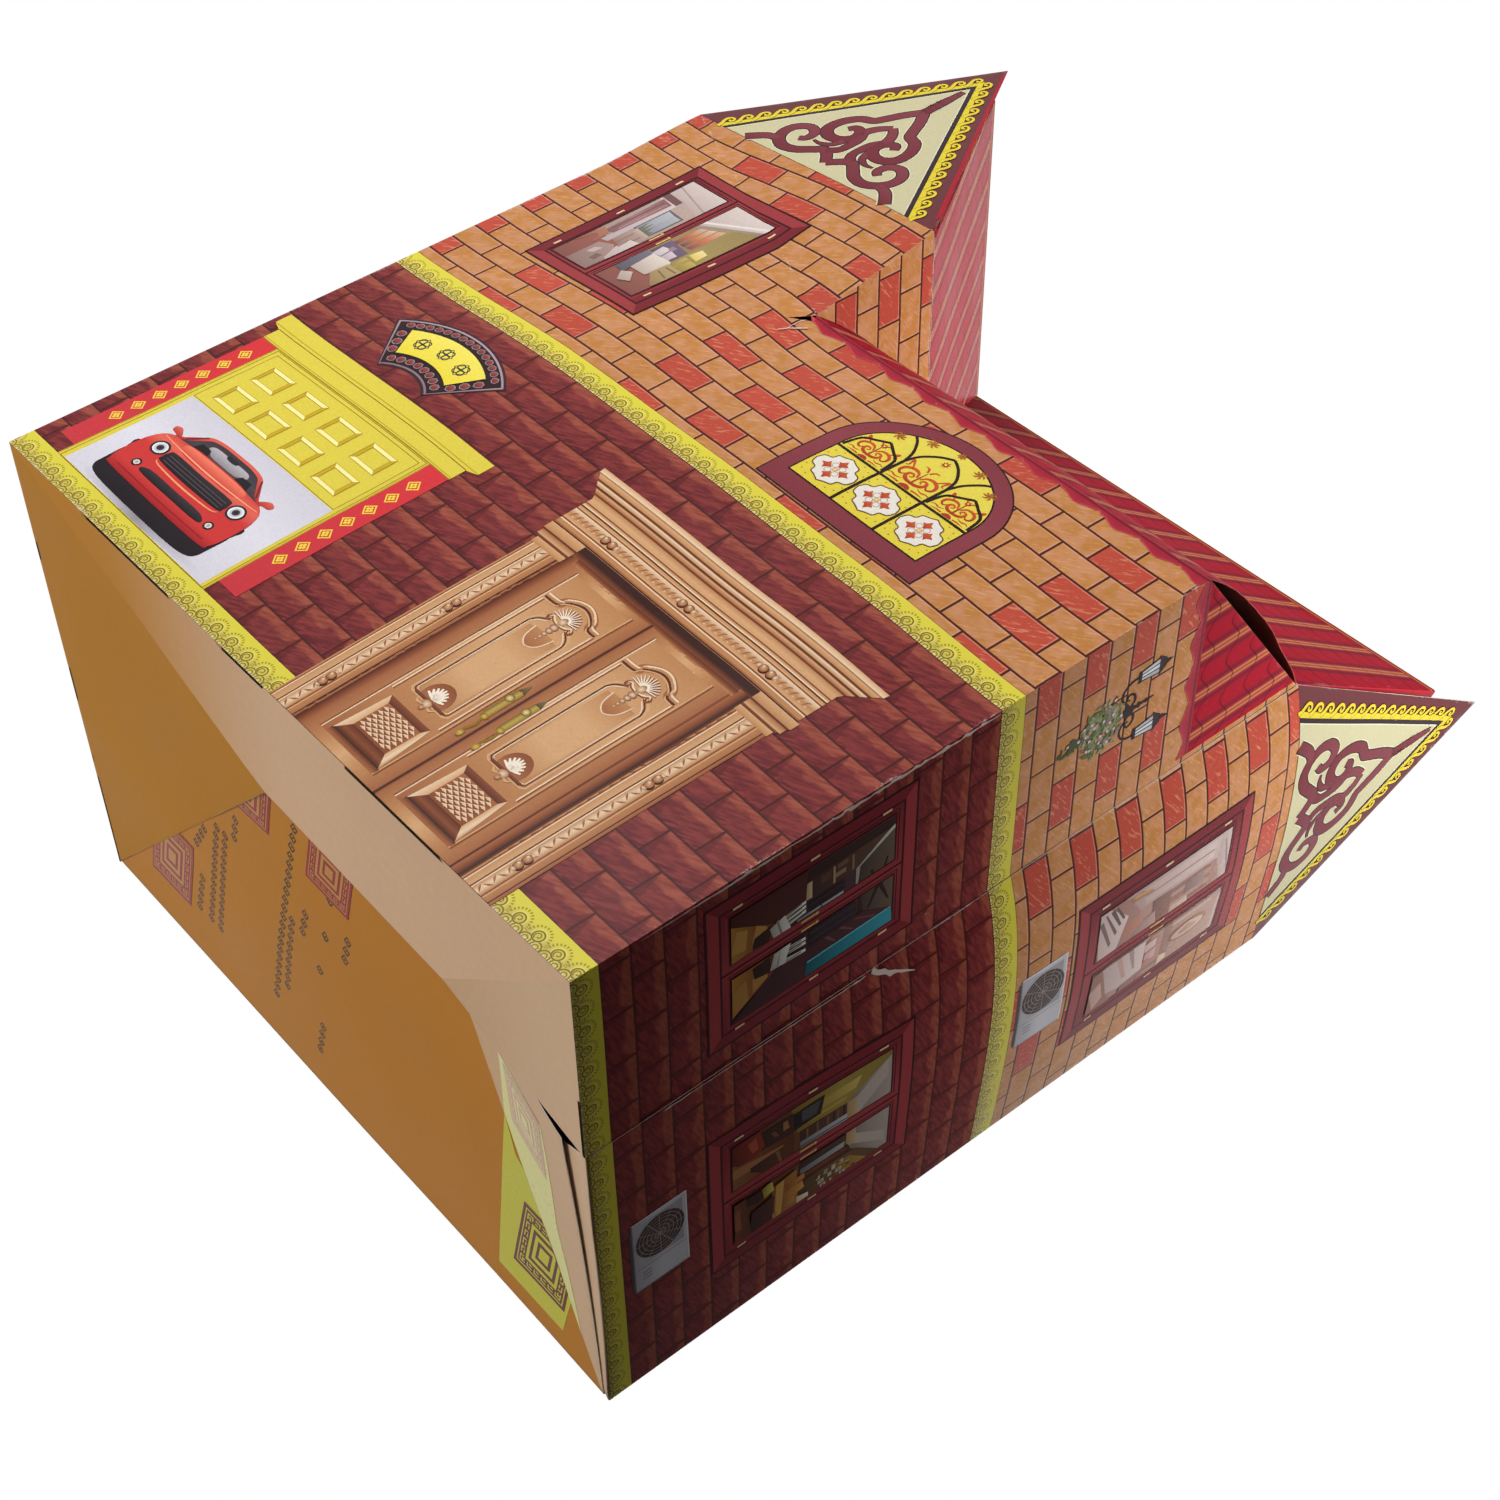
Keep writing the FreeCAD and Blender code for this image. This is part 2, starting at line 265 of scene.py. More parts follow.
# ---------------------------------------------------------------- wiring of materials
class Wiring:
    """Adds nodes to one node tree, each with its inputs fed in one call."""

    def __init__(self, tree: bpy.types.NodeTree) -> None:
        """Takes the tree to add nodes to."""
        self.tree = tree

    def feed(self, socket: Socket, value: object) -> None:
        """Links an output to the socket, or sets the socket's own value."""
        if isinstance(value, bpy.types.NodeSocket):
            self.tree.links.new(value, socket)
        else:
            socket.default_value = value

    def add(self, kind: str, inputs: dict | None = None, **settings: object) -> bpy.types.Node:
        """Adds a node.

        Args:
            kind: Blender's name of the node, without its ShaderNode prefix.
            inputs: What each socket is fed, by socket name or number.
            settings: The node's own settings.

        Returns:
            The new node.
        """
        node = self.tree.nodes.new("ShaderNode" + kind)
        for name, setting in settings.items():
            setattr(node, name, setting)
        for name, value in (inputs or {}).items():
            self.feed(node.inputs[name], value)
        return node

    def math(self, operation: str, *values: Value) -> Socket:
        """Works out one number from others."""
        return self.add("Math", dict(enumerate(values)), operation=operation).outputs[0]

    def plus(self, first: Value, second: Value) -> Socket:
        """Adds two numbers."""
        return self.math("ADD", first, second)

    def minus(self, first: Value, second: Value) -> Socket:
        """Takes the second number from the first."""
        return self.math("SUBTRACT", first, second)

    def times(self, first: Value, second: Value) -> Socket:
        """Multiplies two numbers."""
        return self.math("MULTIPLY", first, second)

    def step(self, value: Value, low: float, high: float) -> Socket:
        """Rises smoothly from 0 at low to 1 at high, or falls where low is over high."""
        return self.add("MapRange", {"Value": value, "From Min": low, "From Max": high},
                        interpolation_type="SMOOTHSTEP").outputs["Result"]

    def spread(self, value: Value, low: float, high: float, to_low: float, to_high: float) -> Socket:
        """Maps one range of numbers evenly to another."""
        return self.add("MapRange", {"Value": value, "From Min": low, "From Max": high,
                                     "To Min": to_low, "To Max": to_high}).outputs["Result"]

    def mix(self, share: Value, first: object, second: object) -> Socket:
        """Blends two colours; share 1 is all the second."""
        return self.add("Mix", {0: share, 6: first, 7: second}, data_type="RGBA").outputs[2]

    def tint(self, colour: object, shade: Value) -> Socket:
        """Multiplies a colour by a grey of the given strength."""
        return self.add("Mix", {0: 1.0, 6: colour, 7: self.grey(shade)}, data_type="RGBA",
                        blend_type="MULTIPLY").outputs[2]

    def grey(self, value: Value) -> Socket:
        """Makes a grey of one number."""
        return self.add("CombineColor", {0: value, 1: value, 2: value}).outputs[0]

    def noise(self, place: Socket, scale: float, detail: float = 2.0, roughness: float = 0.5) -> Socket:
        """Gives soft random values from 0 to 1 over a place."""
        return self.add("TexNoise", {"Vector": place, "Scale": scale, "Detail": detail,
                                     "Roughness": roughness}).outputs[0]

    def any_of(self, *masks: Value) -> Socket:
        """The highest of several masks."""
        return reduce(lambda result, mask: self.math("MAXIMUM", result, mask), masks)

    def both(self, *masks: Value) -> Socket:
        """The product of several masks."""
        return reduce(lambda result, mask: self.times(result, mask), masks)

    def spacing(self, u: Value, v: Value, centre_u: Value, centre_v: Value) -> Socket:
        """Distance of a point from a centre."""
        across = self.minus(u, centre_u)
        up = self.minus(v, centre_v)
        return self.math("SQRT", self.plus(self.times(across, across),
                                           self.times(up, up)))

    def line(self, distance: Value, middle: float, half: float, soft: float = 0.12) -> Socket:
        """Mask of a line: 1 where the distance is within half of middle."""
        off = self.math("ABSOLUTE", self.minus(distance, middle))
        return self.step(off, half + soft, half - soft)


class Effect:
    """A shader node group shared by several finishes."""

    def __init__(self, name: str, inputs: dict[str, tuple[str, object]], outputs: dict[str, str]) -> None:
        """Makes an empty group.

        Args:
            name: The group's name.
            inputs: Kind of socket and usual value, by name.
            outputs: Kind of socket, by name.
        """
        self.tree = bpy.data.node_groups.new(name, "ShaderNodeTree")
        for label, (kind, usual) in inputs.items():
            socket = self.tree.interface.new_socket(label, in_out="INPUT", socket_type="NodeSocket" + kind)
            if usual is not None:
                socket.default_value = usual
        for label, kind in outputs.items():
            self.tree.interface.new_socket(label, in_out="OUTPUT", socket_type="NodeSocket" + kind)
        self.wiring = Wiring(self.tree)
        self.given = self.tree.nodes.new("NodeGroupInput").outputs
        self.result = self.tree.nodes.new("NodeGroupOutput").inputs

    def put(self, **results: object) -> None:
        """Feeds the group's outputs; _ stands for a space."""
        for name, value in results.items():
            self.wiring.feed(self.result[name.replace("_", " ")], value)

    def use(self, wiring: Wiring, **inputs: object) -> bpy.types.Node:
        """Places the group in a material with its own values; _ stands for a space."""
        node = wiring.tree.nodes.new("ShaderNodeGroup")
        node.node_tree = self.tree
        for name, value in inputs.items():
            wiring.feed(node.inputs[name.replace("_", " ")], value)
        return node


class Effects:
    """The shared effects: running bond, lamination, worn folds, the printed band and the roof tiles."""

    def __init__(self) -> None:
        """Builds each group once."""
        self.bond = self._running_bond()
        self.gloss = self._lamination()
        self.worn = self._worn_folds()
        self.band = self._border_band()
        self.tiles = self._roof_tiles()

    @staticmethod
    def _running_bond() -> Effect:
        """Blocks laid in running bond: which block a point is in, and where in it."""
        usual = {"Across": 0.0, "Up": 0.0, "Length": 25.0, "Height": 13.0}
        made = Effect("running bond", {name: ("Float", value) for name, value in usual.items()},
                      dict.fromkeys(("From left", "From base", "Row", "Column", "Chance"), "Float"))
        w, given = made.wiring, made.given
        row = w.math("FLOOR", w.math("DIVIDE", given["Up"], given["Height"]))
        odd = w.math("FLOORED_MODULO", row, 2.0)
        shifted = w.plus(w.math("DIVIDE", given["Across"], given["Length"]), w.times(odd, 0.5))
        column = w.math("FLOOR", shifted)
        from_left = w.times(w.minus(shifted, column), given["Length"])
        from_base = w.minus(given["Up"], w.times(row, given["Height"]))
        cell = w.add("CombineXYZ", {0: column, 1: row, 2: 0.5}).outputs[0]
        chance = w.add("TexWhiteNoise", {"Vector": cell}, noise_dimensions="3D").outputs["Value"]
        made.put(From_left=from_left, From_base=from_base, Row=row, Column=column, Chance=chance)
        return made

    @staticmethod
    def _lamination() -> Effect:
        """Thin film over the print: slight roughness changes, faint orange peel and a few scratches."""
        made = Effect("lamination", {"Place": ("Vector", None), "Roughness": ("Float", 0.3)},
                      {"Roughness": "Float", "Height": "Float"})
        w, given = made.wiring, made.given
        broad = w.noise(given["Place"], 14.0, 3.0)
        fine = w.noise(given["Place"], 420.0, 2.0)
        stretched = w.add("Mapping", {"Vector": given["Place"], "Rotation": (0.3, 0.5, 0.8),
                                      "Scale": (4.0, 260.0, 40.0)}).outputs[0]
        scratch = w.step(w.noise(stretched, 3.0, 1.0), 0.74, 0.8)
        rough = w.plus(given["Roughness"], w.spread(broad, 0.3, 0.7, -0.05, 0.07))
        rough = w.plus(rough, w.spread(fine, 0.3, 0.7, -0.02, 0.03))
        made.put(Roughness=w.plus(rough, w.times(scratch, 0.12)),
                 Height=w.plus(w.times(broad, 0.6), w.times(fine, 0.04)))
        return made

    @staticmethod
    def _worn_folds() -> Effect:
        """Print rubbed off to pale card along the folds, and rare small specks elsewhere."""
        made = Effect("worn folds", {"Colour": ("Color", (0.5, 0.5, 0.5, 1)), "Place": ("Vector", None),
                                     "Fold": ("Float", 0.0), "Amount": ("Float", 0.5),
                                     "Bare": ("Color", ink("#d9c9be"))}, {"Colour": "Color"})
        w, given = made.wiring, made.given
        fray = w.noise(given["Place"], 900.0, 3.0, 0.7)
        patch = w.noise(given["Place"], 38.0, 2.0)
        worn = w.plus(w.times(given["Fold"], 0.62), w.spread(fray, 0.2, 0.8, -0.28, 0.28))
        worn = w.plus(worn, w.spread(patch, 0.3, 0.7, -0.3, 0.12))
        rubbed = w.both(w.step(worn, 0.5, 0.72), given["Amount"])
        speck = w.add("TexVoronoi", {"Vector": given["Place"], "Scale": 75.0}).outputs["Distance"]
        rare = w.noise(given["Place"], 21.0, 1.0)
        dots = w.both(w.step(speck, 0.045, 0.02), w.step(rare, 0.62, 0.66), 0.35)
        made.put(Colour=w.mix(w.any_of(rubbed, dots), given["Colour"], given["Bare"]))
        return made

    @staticmethod
    def _border_band() -> Effect:
        """Yellow border with eyed scrolls over two rows of small arcs, drawn in olive lines."""
        pitch, level = 10.9, 4.3
        made = Effect("border band", {"Across": ("Float", 0.0), "Up": ("Float", 0.0)}, {"Colour": "Color"})
        w, given = made.wiring, made.given
        turns = w.math("FRACT", w.math("DIVIDE", w.minus(given["Across"], 1.9), pitch))
        u = w.times(w.minus(turns, 0.5), pitch)
        v = given["Up"]
        side = w.math("ABSOLUTE", u)
        eye = w.spacing(u, v, 0.0, level)
        turn = w.math("DIVIDE", w.math("ARCTAN2", w.minus(v, level), u), math.tau)
        coil = w.minus(eye, w.times(w.math("FRACT", w.plus(turn, 0.3)), 1.25))
        rings = w.any_of(w.both(w.line(coil, 0.5, 0.24), w.step(eye, 2.0, 1.8)), w.line(eye, 2.35, 0.32))
        ray = w.line(w.math("FRACT", w.times(turn, 21.0)), 0.5, 0.24, 0.12)
        halo = w.both(w.line(eye, 4.6, 0.55), ray, w.step(v, level - 0.6, level + 0.2))
        curl = w.spacing(side, v, 2.9, 0.5)
        low = w.any_of(w.line(curl, 2.3, 0.3), w.line(curl, 1.1, 0.22))
        low = w.both(low, w.step(eye, 2.6, 2.9))
        rungs = w.both(w.step(side, 4.3, 4.7), w.line(w.math("FRACT", w.math("DIVIDE", v, 0.85)), 0.5, 0.24),
                       w.step(v, 2.6, 2.9), w.step(v, 5.0, 4.8))
        drawn = w.any_of(rings, w.both(halo, 0.75), low, w.both(rungs, 0.7))
        ground = w.mix(w.step(v, 3.0, 8.0), ink("#cbbb58"), ink("#dace48"))
        ground = w.mix(w.both(w.step(v, 1.0, 0.0), 0.6), ground, ink("#efe6b8"))
        glint = w.both(w.line(eye, 2.95, 0.2), 0.5)
        ground = w.mix(glint, ground, ink("#efe59a"))
        made.put(Colour=w.mix(w.times(drawn, 0.95), ground, ink("#77621c")))
        return made

    @staticmethod
    def _roof_tiles() -> Effect:
        """Red pan tiles with a drooping lip every course, between narrow ribs of copper cover tiles."""
        pitch, course = 21.8, 14.3
        made = Effect("roof tiles", {"Across": ("Float", 0.0), "Up": ("Float", 0.0)}, {"Colour": "Color"})
        w, given = made.wiring, made.given
        turns = w.math("DIVIDE", given["Across"], pitch)
        u = w.times(w.minus(w.math("FRACT", turns), 0.5), pitch)
        side = w.math("ABSOLUTE", u)          # 0 in the middle of a pan, half the pitch on a rib
        rib = w.minus(pitch / 2, side)
        sag = w.times(w.minus(1.0, w.step(side, 0.0, pitch / 2)), 5.6)
        course_up = w.math("FLOORED_MODULO", w.plus(w.minus(given["Up"], 7.6), sag), course)
        lip = w.step(w.math("ABSOLUTE", w.minus(course_up, 0.6)), 0.5, 0.2)
        shade = w.step(course_up, 4.0, 0.0)
        pan = w.mix(w.times(shade, 0.3), ink("#a81c2e"), ink("#8d1626"))
        pan = w.mix(w.times(w.step(rib, 6.6, 4.8), 0.75), pan, ink("#6c2232"))
        pan = w.mix(w.step(rib, 3.5, 2.6), pan, ink("#a52c36"))
        cover = w.mix(w.line(rib, 1.25, 0.3, 0.35), ink("#b2614c"), ink("#cc8650"))
        cover = w.mix(w.line(rib, 0.0, 0.25, 0.2), cover, ink("#8f3f36"))
        colour = w.mix(w.step(rib, 2.1, 1.8), pan, cover)
        made.put(Colour=w.mix(w.both(lip, 0.75), colour, ink("#4a1822")))
        return made


@dataclass(frozen=True)
class Finish:
    """A finish of the card. Each kind of finish paints its own colour.

    Attributes:
        name: Name of the material.
        roughness: Roughness of the lamination, or of bare card.
        wear: How much the print is rubbed off along the folds.
        sheen_level: Strength of the reflection at a right angle.
        bump: Height of the film's unevenness, in metres.
    """

    name: str
    roughness: float = 0.3
    wear: float = 0.5
    sheen_level: float = 0.35
    bump: float = 0.00012

    def paint(self, wiring: Wiring, effects: Effects, u: Socket, v: Socket, place: Socket) -> Socket:
        """Gives the colour over the print.

        Args:
            wiring: The material's nodes.
            effects: The shared effects.
            u: Distance along the print, in millimetres.
            v: Distance up the print, in millimetres.
            place: The place in the house's own frame, in metres.

        Returns:
            The colour.
        """
        raise NotImplementedError

    def make(self, effects: Effects) -> bpy.types.Material:
        """Builds the material.

        Args:
            effects: The shared effects.

        Returns:
            The finished material.
        """
        material = bpy.data.materials.new(self.name)
        material.use_nodes = True
        tree = material.node_tree
        tree.nodes.clear()
        w = Wiring(tree)
        flat = w.add("UVMap", uv_map=PRINT_MAP).outputs[0]
        split = w.add("SeparateXYZ", {0: flat})
        u, v = (w.times(split.outputs[i], 1 / MM) for i in (0, 1))
        place = w.add("TexCoord").outputs["Object"]
        fold = w.add("Attribute", attribute_name=FOLD).outputs["Fac"]
        colour = self.paint(w, effects, u, v, place)
        worn = effects.worn.use(w, Colour=colour, Place=place, Fold=fold, Amount=self.wear).outputs[0]
        film = effects.gloss.use(w, Place=place, Roughness=self.roughness)
        bump = w.add("Bump", {"Strength": 0.35, "Distance": self.bump, "Height": film.outputs["Height"]})
        shader = w.add("BsdfPrincipled", {"Base Color": worn, "Roughness": film.outputs["Roughness"],
                                          "Specular IOR Level": self.sheen_level, "Normal": bump.outputs[0]})
        out = w.add("OutputMaterial", {"Surface": shader.outputs[0]})
        out.is_active_output = True
        return material


@dataclass(frozen=True)
class PrintedWalls(Finish):
    """Stone courses below, brickwork above, and a yellow border at the foot of each storey.

    Attributes:
        band: Height of the border, in millimetres.
        storey: Height at which the upper storey starts.
        brick: Length and height of a brick with its joints.
        stone: Length and height of a stone block with its joints.
    """

    name: str = "printed_walls"
    band: float = 12.0
    storey: float = 199.0
    brick: tuple[float, float] = (25.4, 13.3)
    stone: tuple[float, float] = (26.15, 14.45)
    sheen_level: float = 0.06

    def paint(self, wiring: Wiring, effects: Effects, u: Socket, v: Socket, place: Socket) -> Socket:
        """Puts the storeys' prints over one another; see Finish.paint."""
        w = wiring
        stone, brick = self.stonework(w, effects, u, v), self.brickwork(w, effects, u, v)
        walls = w.mix(w.math("GREATER_THAN", v, self.storey + self.band), stone, brick)
        upper = w.math("GREATER_THAN", v, self.storey - 1.0)
        band_up = w.minus(v, w.times(upper, self.storey))
        band = effects.band.use(w, Across=u, Up=band_up).outputs[0]
        in_band = w.both(w.math("LESS_THAN", band_up, self.band), w.math("GREATER_THAN", band_up, 0.0))
        top = w.step(band_up, self.band - 0.2, self.band)
        walls = w.mix(w.both(top, w.step(band_up, self.band + 0.5, self.band + 0.2), 0.6), walls,
                      ink("#3b1a12"))
        return w.mix(in_band, walls, band)

    @staticmethod
    def strokes(w: Wiring, u: Socket, v: Socket, tilt: float, seed: Value) -> Socket:
        """Place in which noise runs in slanting strokes, rising to the right by the tilt in degrees."""
        turn = math.radians(tilt)
        along = w.plus(w.times(u, math.cos(turn)), w.times(v, math.sin(turn)))
        across = w.minus(w.times(v, math.cos(turn)), w.times(u, math.sin(turn)))
        return w.add("CombineXYZ", {0: along, 1: w.times(across, 5.0), 2: seed}).outputs[0]

    @staticmethod
    def blocks(w: Wiring, effects: Effects, u: Socket, v: Socket, start: Point, size: Point) -> tuple:
        """Lays blocks of a size, and measures a point from their right end, top and nearest joint."""
        cell = effects.bond.use(w, Across=w.minus(u, start[0]), Up=w.minus(v, start[1]),
                                Length=size[0], Height=size[1]).outputs
        right = w.minus(size[0], cell["From left"])
        top = w.minus(size[1], cell["From base"])
        joint = w.math("MINIMUM", w.math("MINIMUM", cell["From left"], right),
                       w.math("MINIMUM", cell["From base"], top))
        return cell, right, top, joint

    def brickwork(self, w: Wiring, effects: Effects, u: Socket, v: Socket) -> Socket:
        """Orange bricks with a red one every fourth, dark joints and slanting flecks."""
        cell, right, top, joint = self.blocks(w, effects, u, v, (8.3, 4.8), self.brick)
        odd = w.math("FLOORED_MODULO", cell["Row"], 2.0)
        turned = w.math("FRACT", w.times(w.plus(w.plus(cell["Column"], odd), 1.0), 0.25))
        red = w.math("LESS_THAN", turned, 0.2)
        seed = w.times(cell["Chance"], 40.0)
        fleck = w.noise(self.strokes(w, u, v, 37.0, seed), 0.17, 3.0, 0.55)
        cloud = w.noise(w.add("CombineXYZ", {0: u, 1: v, 2: seed}).outputs[0], 0.16, 3.0)
        orange = w.mix(w.step(cloud, 0.36, 0.64), ink("#bb7f44"), ink("#c48a62"))
        brick = w.mix(red, orange, ink("#b84b3c"))
        brick = w.mix(w.both(w.step(fleck, 0.55, 0.68), 0.42), brick, ink("#e2ab80"))
        brick = w.mix(w.both(w.step(fleck, 0.45, 0.3), 0.3), brick, ink("#b5622c"))
        brick = w.tint(brick, w.spread(cell["Chance"], 0.0, 1.0, 0.96, 1.03))
        lit = w.any_of(w.line(top, 0.95, 0.22), w.line(right, 0.95, 0.2))
        brick = w.mix(w.both(lit, 0.5), brick, ink("#dfa48c"))
        return w.mix(w.step(joint, 0.68, 0.4), brick, ink("#46211f"))

    def stonework(self, w: Wiring, effects: Effects, u: Socket, v: Socket) -> Socket:
        """Dark red rock-faced blocks: a slightly lighter sloping top, dark ends and waves of shade below."""
        cell, right, top, joint = self.blocks(w, effects, u, v, (5.3, self.storey - self.stone[1] * 13),
                                              self.stone)
        seed = w.times(cell["Chance"], 60.0)
        chips = w.noise(self.strokes(w, u, v, 24.0, seed), 0.13, 4.0, 0.6)
        broad = w.noise(w.add("CombineXYZ", {0: w.times(u, 0.6), 1: v, 2: seed}).outputs[0], 0.16, 3.0)
        jag = w.spread(broad, 0.3, 0.7, -1.8, 1.8)
        face = w.mix(w.step(chips, 0.34, 0.66), ink("#66262a"), ink("#853735"))
        ledge = w.mix(w.step(chips, 0.3, 0.66), ink("#823930"), ink("#9d5242"))
        slope = w.plus(top, jag)
        stone = w.mix(w.step(slope, 5.6, 3.2), face, ledge)
        near_end = w.minus(right, w.times(top, 0.55))
        stone = w.mix(w.both(w.step(near_end, 0.8, -0.6), w.step(top, 7.5, 5.0), 0.75), stone, ink("#6a2324"))
        near_start = w.minus(cell["From left"], w.times(top, 0.3))
        stone = w.mix(w.both(w.step(near_start, 0.9, -0.2), 0.6), stone, ink("#5d1f22"))
        foot = w.both(w.step(w.plus(cell["From base"], jag), 3.4, 1.2), w.step(chips, 0.6, 0.45))
        stone = w.mix(w.both(foot, 0.6), stone, ink("#511a24"))
        return w.mix(w.both(w.step(joint, 0.66, 0.3), 0.85), stone, ink("#3c1a17"))


@dataclass(frozen=True)
class PrintedTiles(Finish):
    """Red roof tiles, with a golden line along the ridge.

    Attributes:
        ridge_up: How far up the slope the ridge lies, in millimetres.
        depth: Share of the full tone to which the tiles are darkened; below 1 this is painted shade.
        cap: Width of the ridge course.
    """

    name: str = "printed_roof"
    roughness: float = 0.24
    wear: float = 0.1
    sheen_level: float = 0.012
    ridge_up: float = 142.0
    depth: float = 1.0
    cap: float = 7.0

    def paint(self, wiring: Wiring, effects: Effects, u: Socket, v: Socket, place: Socket) -> Socket:
        """Tiles with a ridge course; see Finish.paint."""
        w = wiring
        tiles = effects.tiles.use(w, Across=u, Up=v).outputs[0]
        cap = w.step(v, self.ridge_up - self.cap, self.ridge_up - self.cap + 0.4)
        ridge = w.mix(w.line(v, self.ridge_up - 4.0, 0.8, 0.4), ink("#8f2a22"), ink("#c8743a"))
        # A depth below 1 darkens the tiles: painted shade.
        return w.tint(w.mix(cap, tiles, ridge), self.depth)


@dataclass(frozen=True)
class GoldenCard(Finish):
    """Plain laminated card of the bottom flaps, golden, slightly mottled; where it runs into pale tan, the
    pale tan is a painted reflection of the glossy film.

    Attributes:
        start: Colour at the start of the span.
        end: Colour at its end.
        span: Where along the house the colour changes, in millimetres from the left wall.
    """

    name: str = "golden_card"
    start: str = "#a8733a"
    end: str = "#a06c2e"
    span: Point = (0.0, 390.0)
    roughness: float = 0.36
    wear: float = 0.3
    sheen_level: float = 0.008

    def paint(self, wiring: Wiring, effects: Effects, u: Socket, v: Socket, place: Socket) -> Socket:
        """One ink running softly into another; see Finish.paint."""
        w = wiring
        slow = w.noise(place, 7.0, 2.0)
        fine = w.noise(place, 260.0, 2.0)
        # On the front flap and the free corner the paler ink is painted reflection.
        gold = w.mix(w.step(u, *self.span), ink(self.start), ink(self.end))
        shade = w.plus(w.spread(fine, 0.3, 0.7, -0.02, 0.02), w.spread(slow, 0.3, 0.7, 0.95, 1.04))
        return w.tint(gold, shade)


@dataclass(frozen=True)
class PlainCard(Finish):
    """One plain ink or bare card, with faint fibres."""

    name: str = "plain_card"
    colour: str = "#d8cfc8"
    roughness: float = 0.7
    wear: float = 0.0
    sheen_level: float = 0.2
    fibre: float = 0.05

    def paint(self, wiring: Wiring, effects: Effects, u: Socket, v: Socket, place: Socket) -> Socket:
        """One colour broken by fibres; see Finish.paint."""
        fine = wiring.noise(place, 600.0, 3.0, 0.7)
        slow = wiring.noise(place, 16.0, 2.0)
        fibres = wiring.spread(fine, 0.3, 0.7, 1.0 - self.fibre, 1.0 + self.fibre)
        tone = wiring.times(fibres, wiring.spread(slow, 0.3, 0.7, 0.96, 1.04))
        return wiring.tint(ink(self.colour), tone)


@dataclass(frozen=True)
class DrawnPrint(Finish):
    """Ink of the drawn pictures, whose colours lie on the mesh."""

    name: str = "drawn_print"
    wear: float = 0.15
    sheen_level: float = 0.06

    def paint(self, wiring: Wiring, effects: Effects, u: Socket, v: Socket, place: Socket) -> Socket:
        """The mesh's own colours, faintly grained; see Finish.paint."""
        colour = wiring.add("Attribute", attribute_name=INK).outputs["Color"]
        fine = wiring.noise(place, 900.0, 2.0, 0.6)
        return wiring.tint(colour, wiring.spread(fine, 0.3, 0.7, 0.95, 1.05))


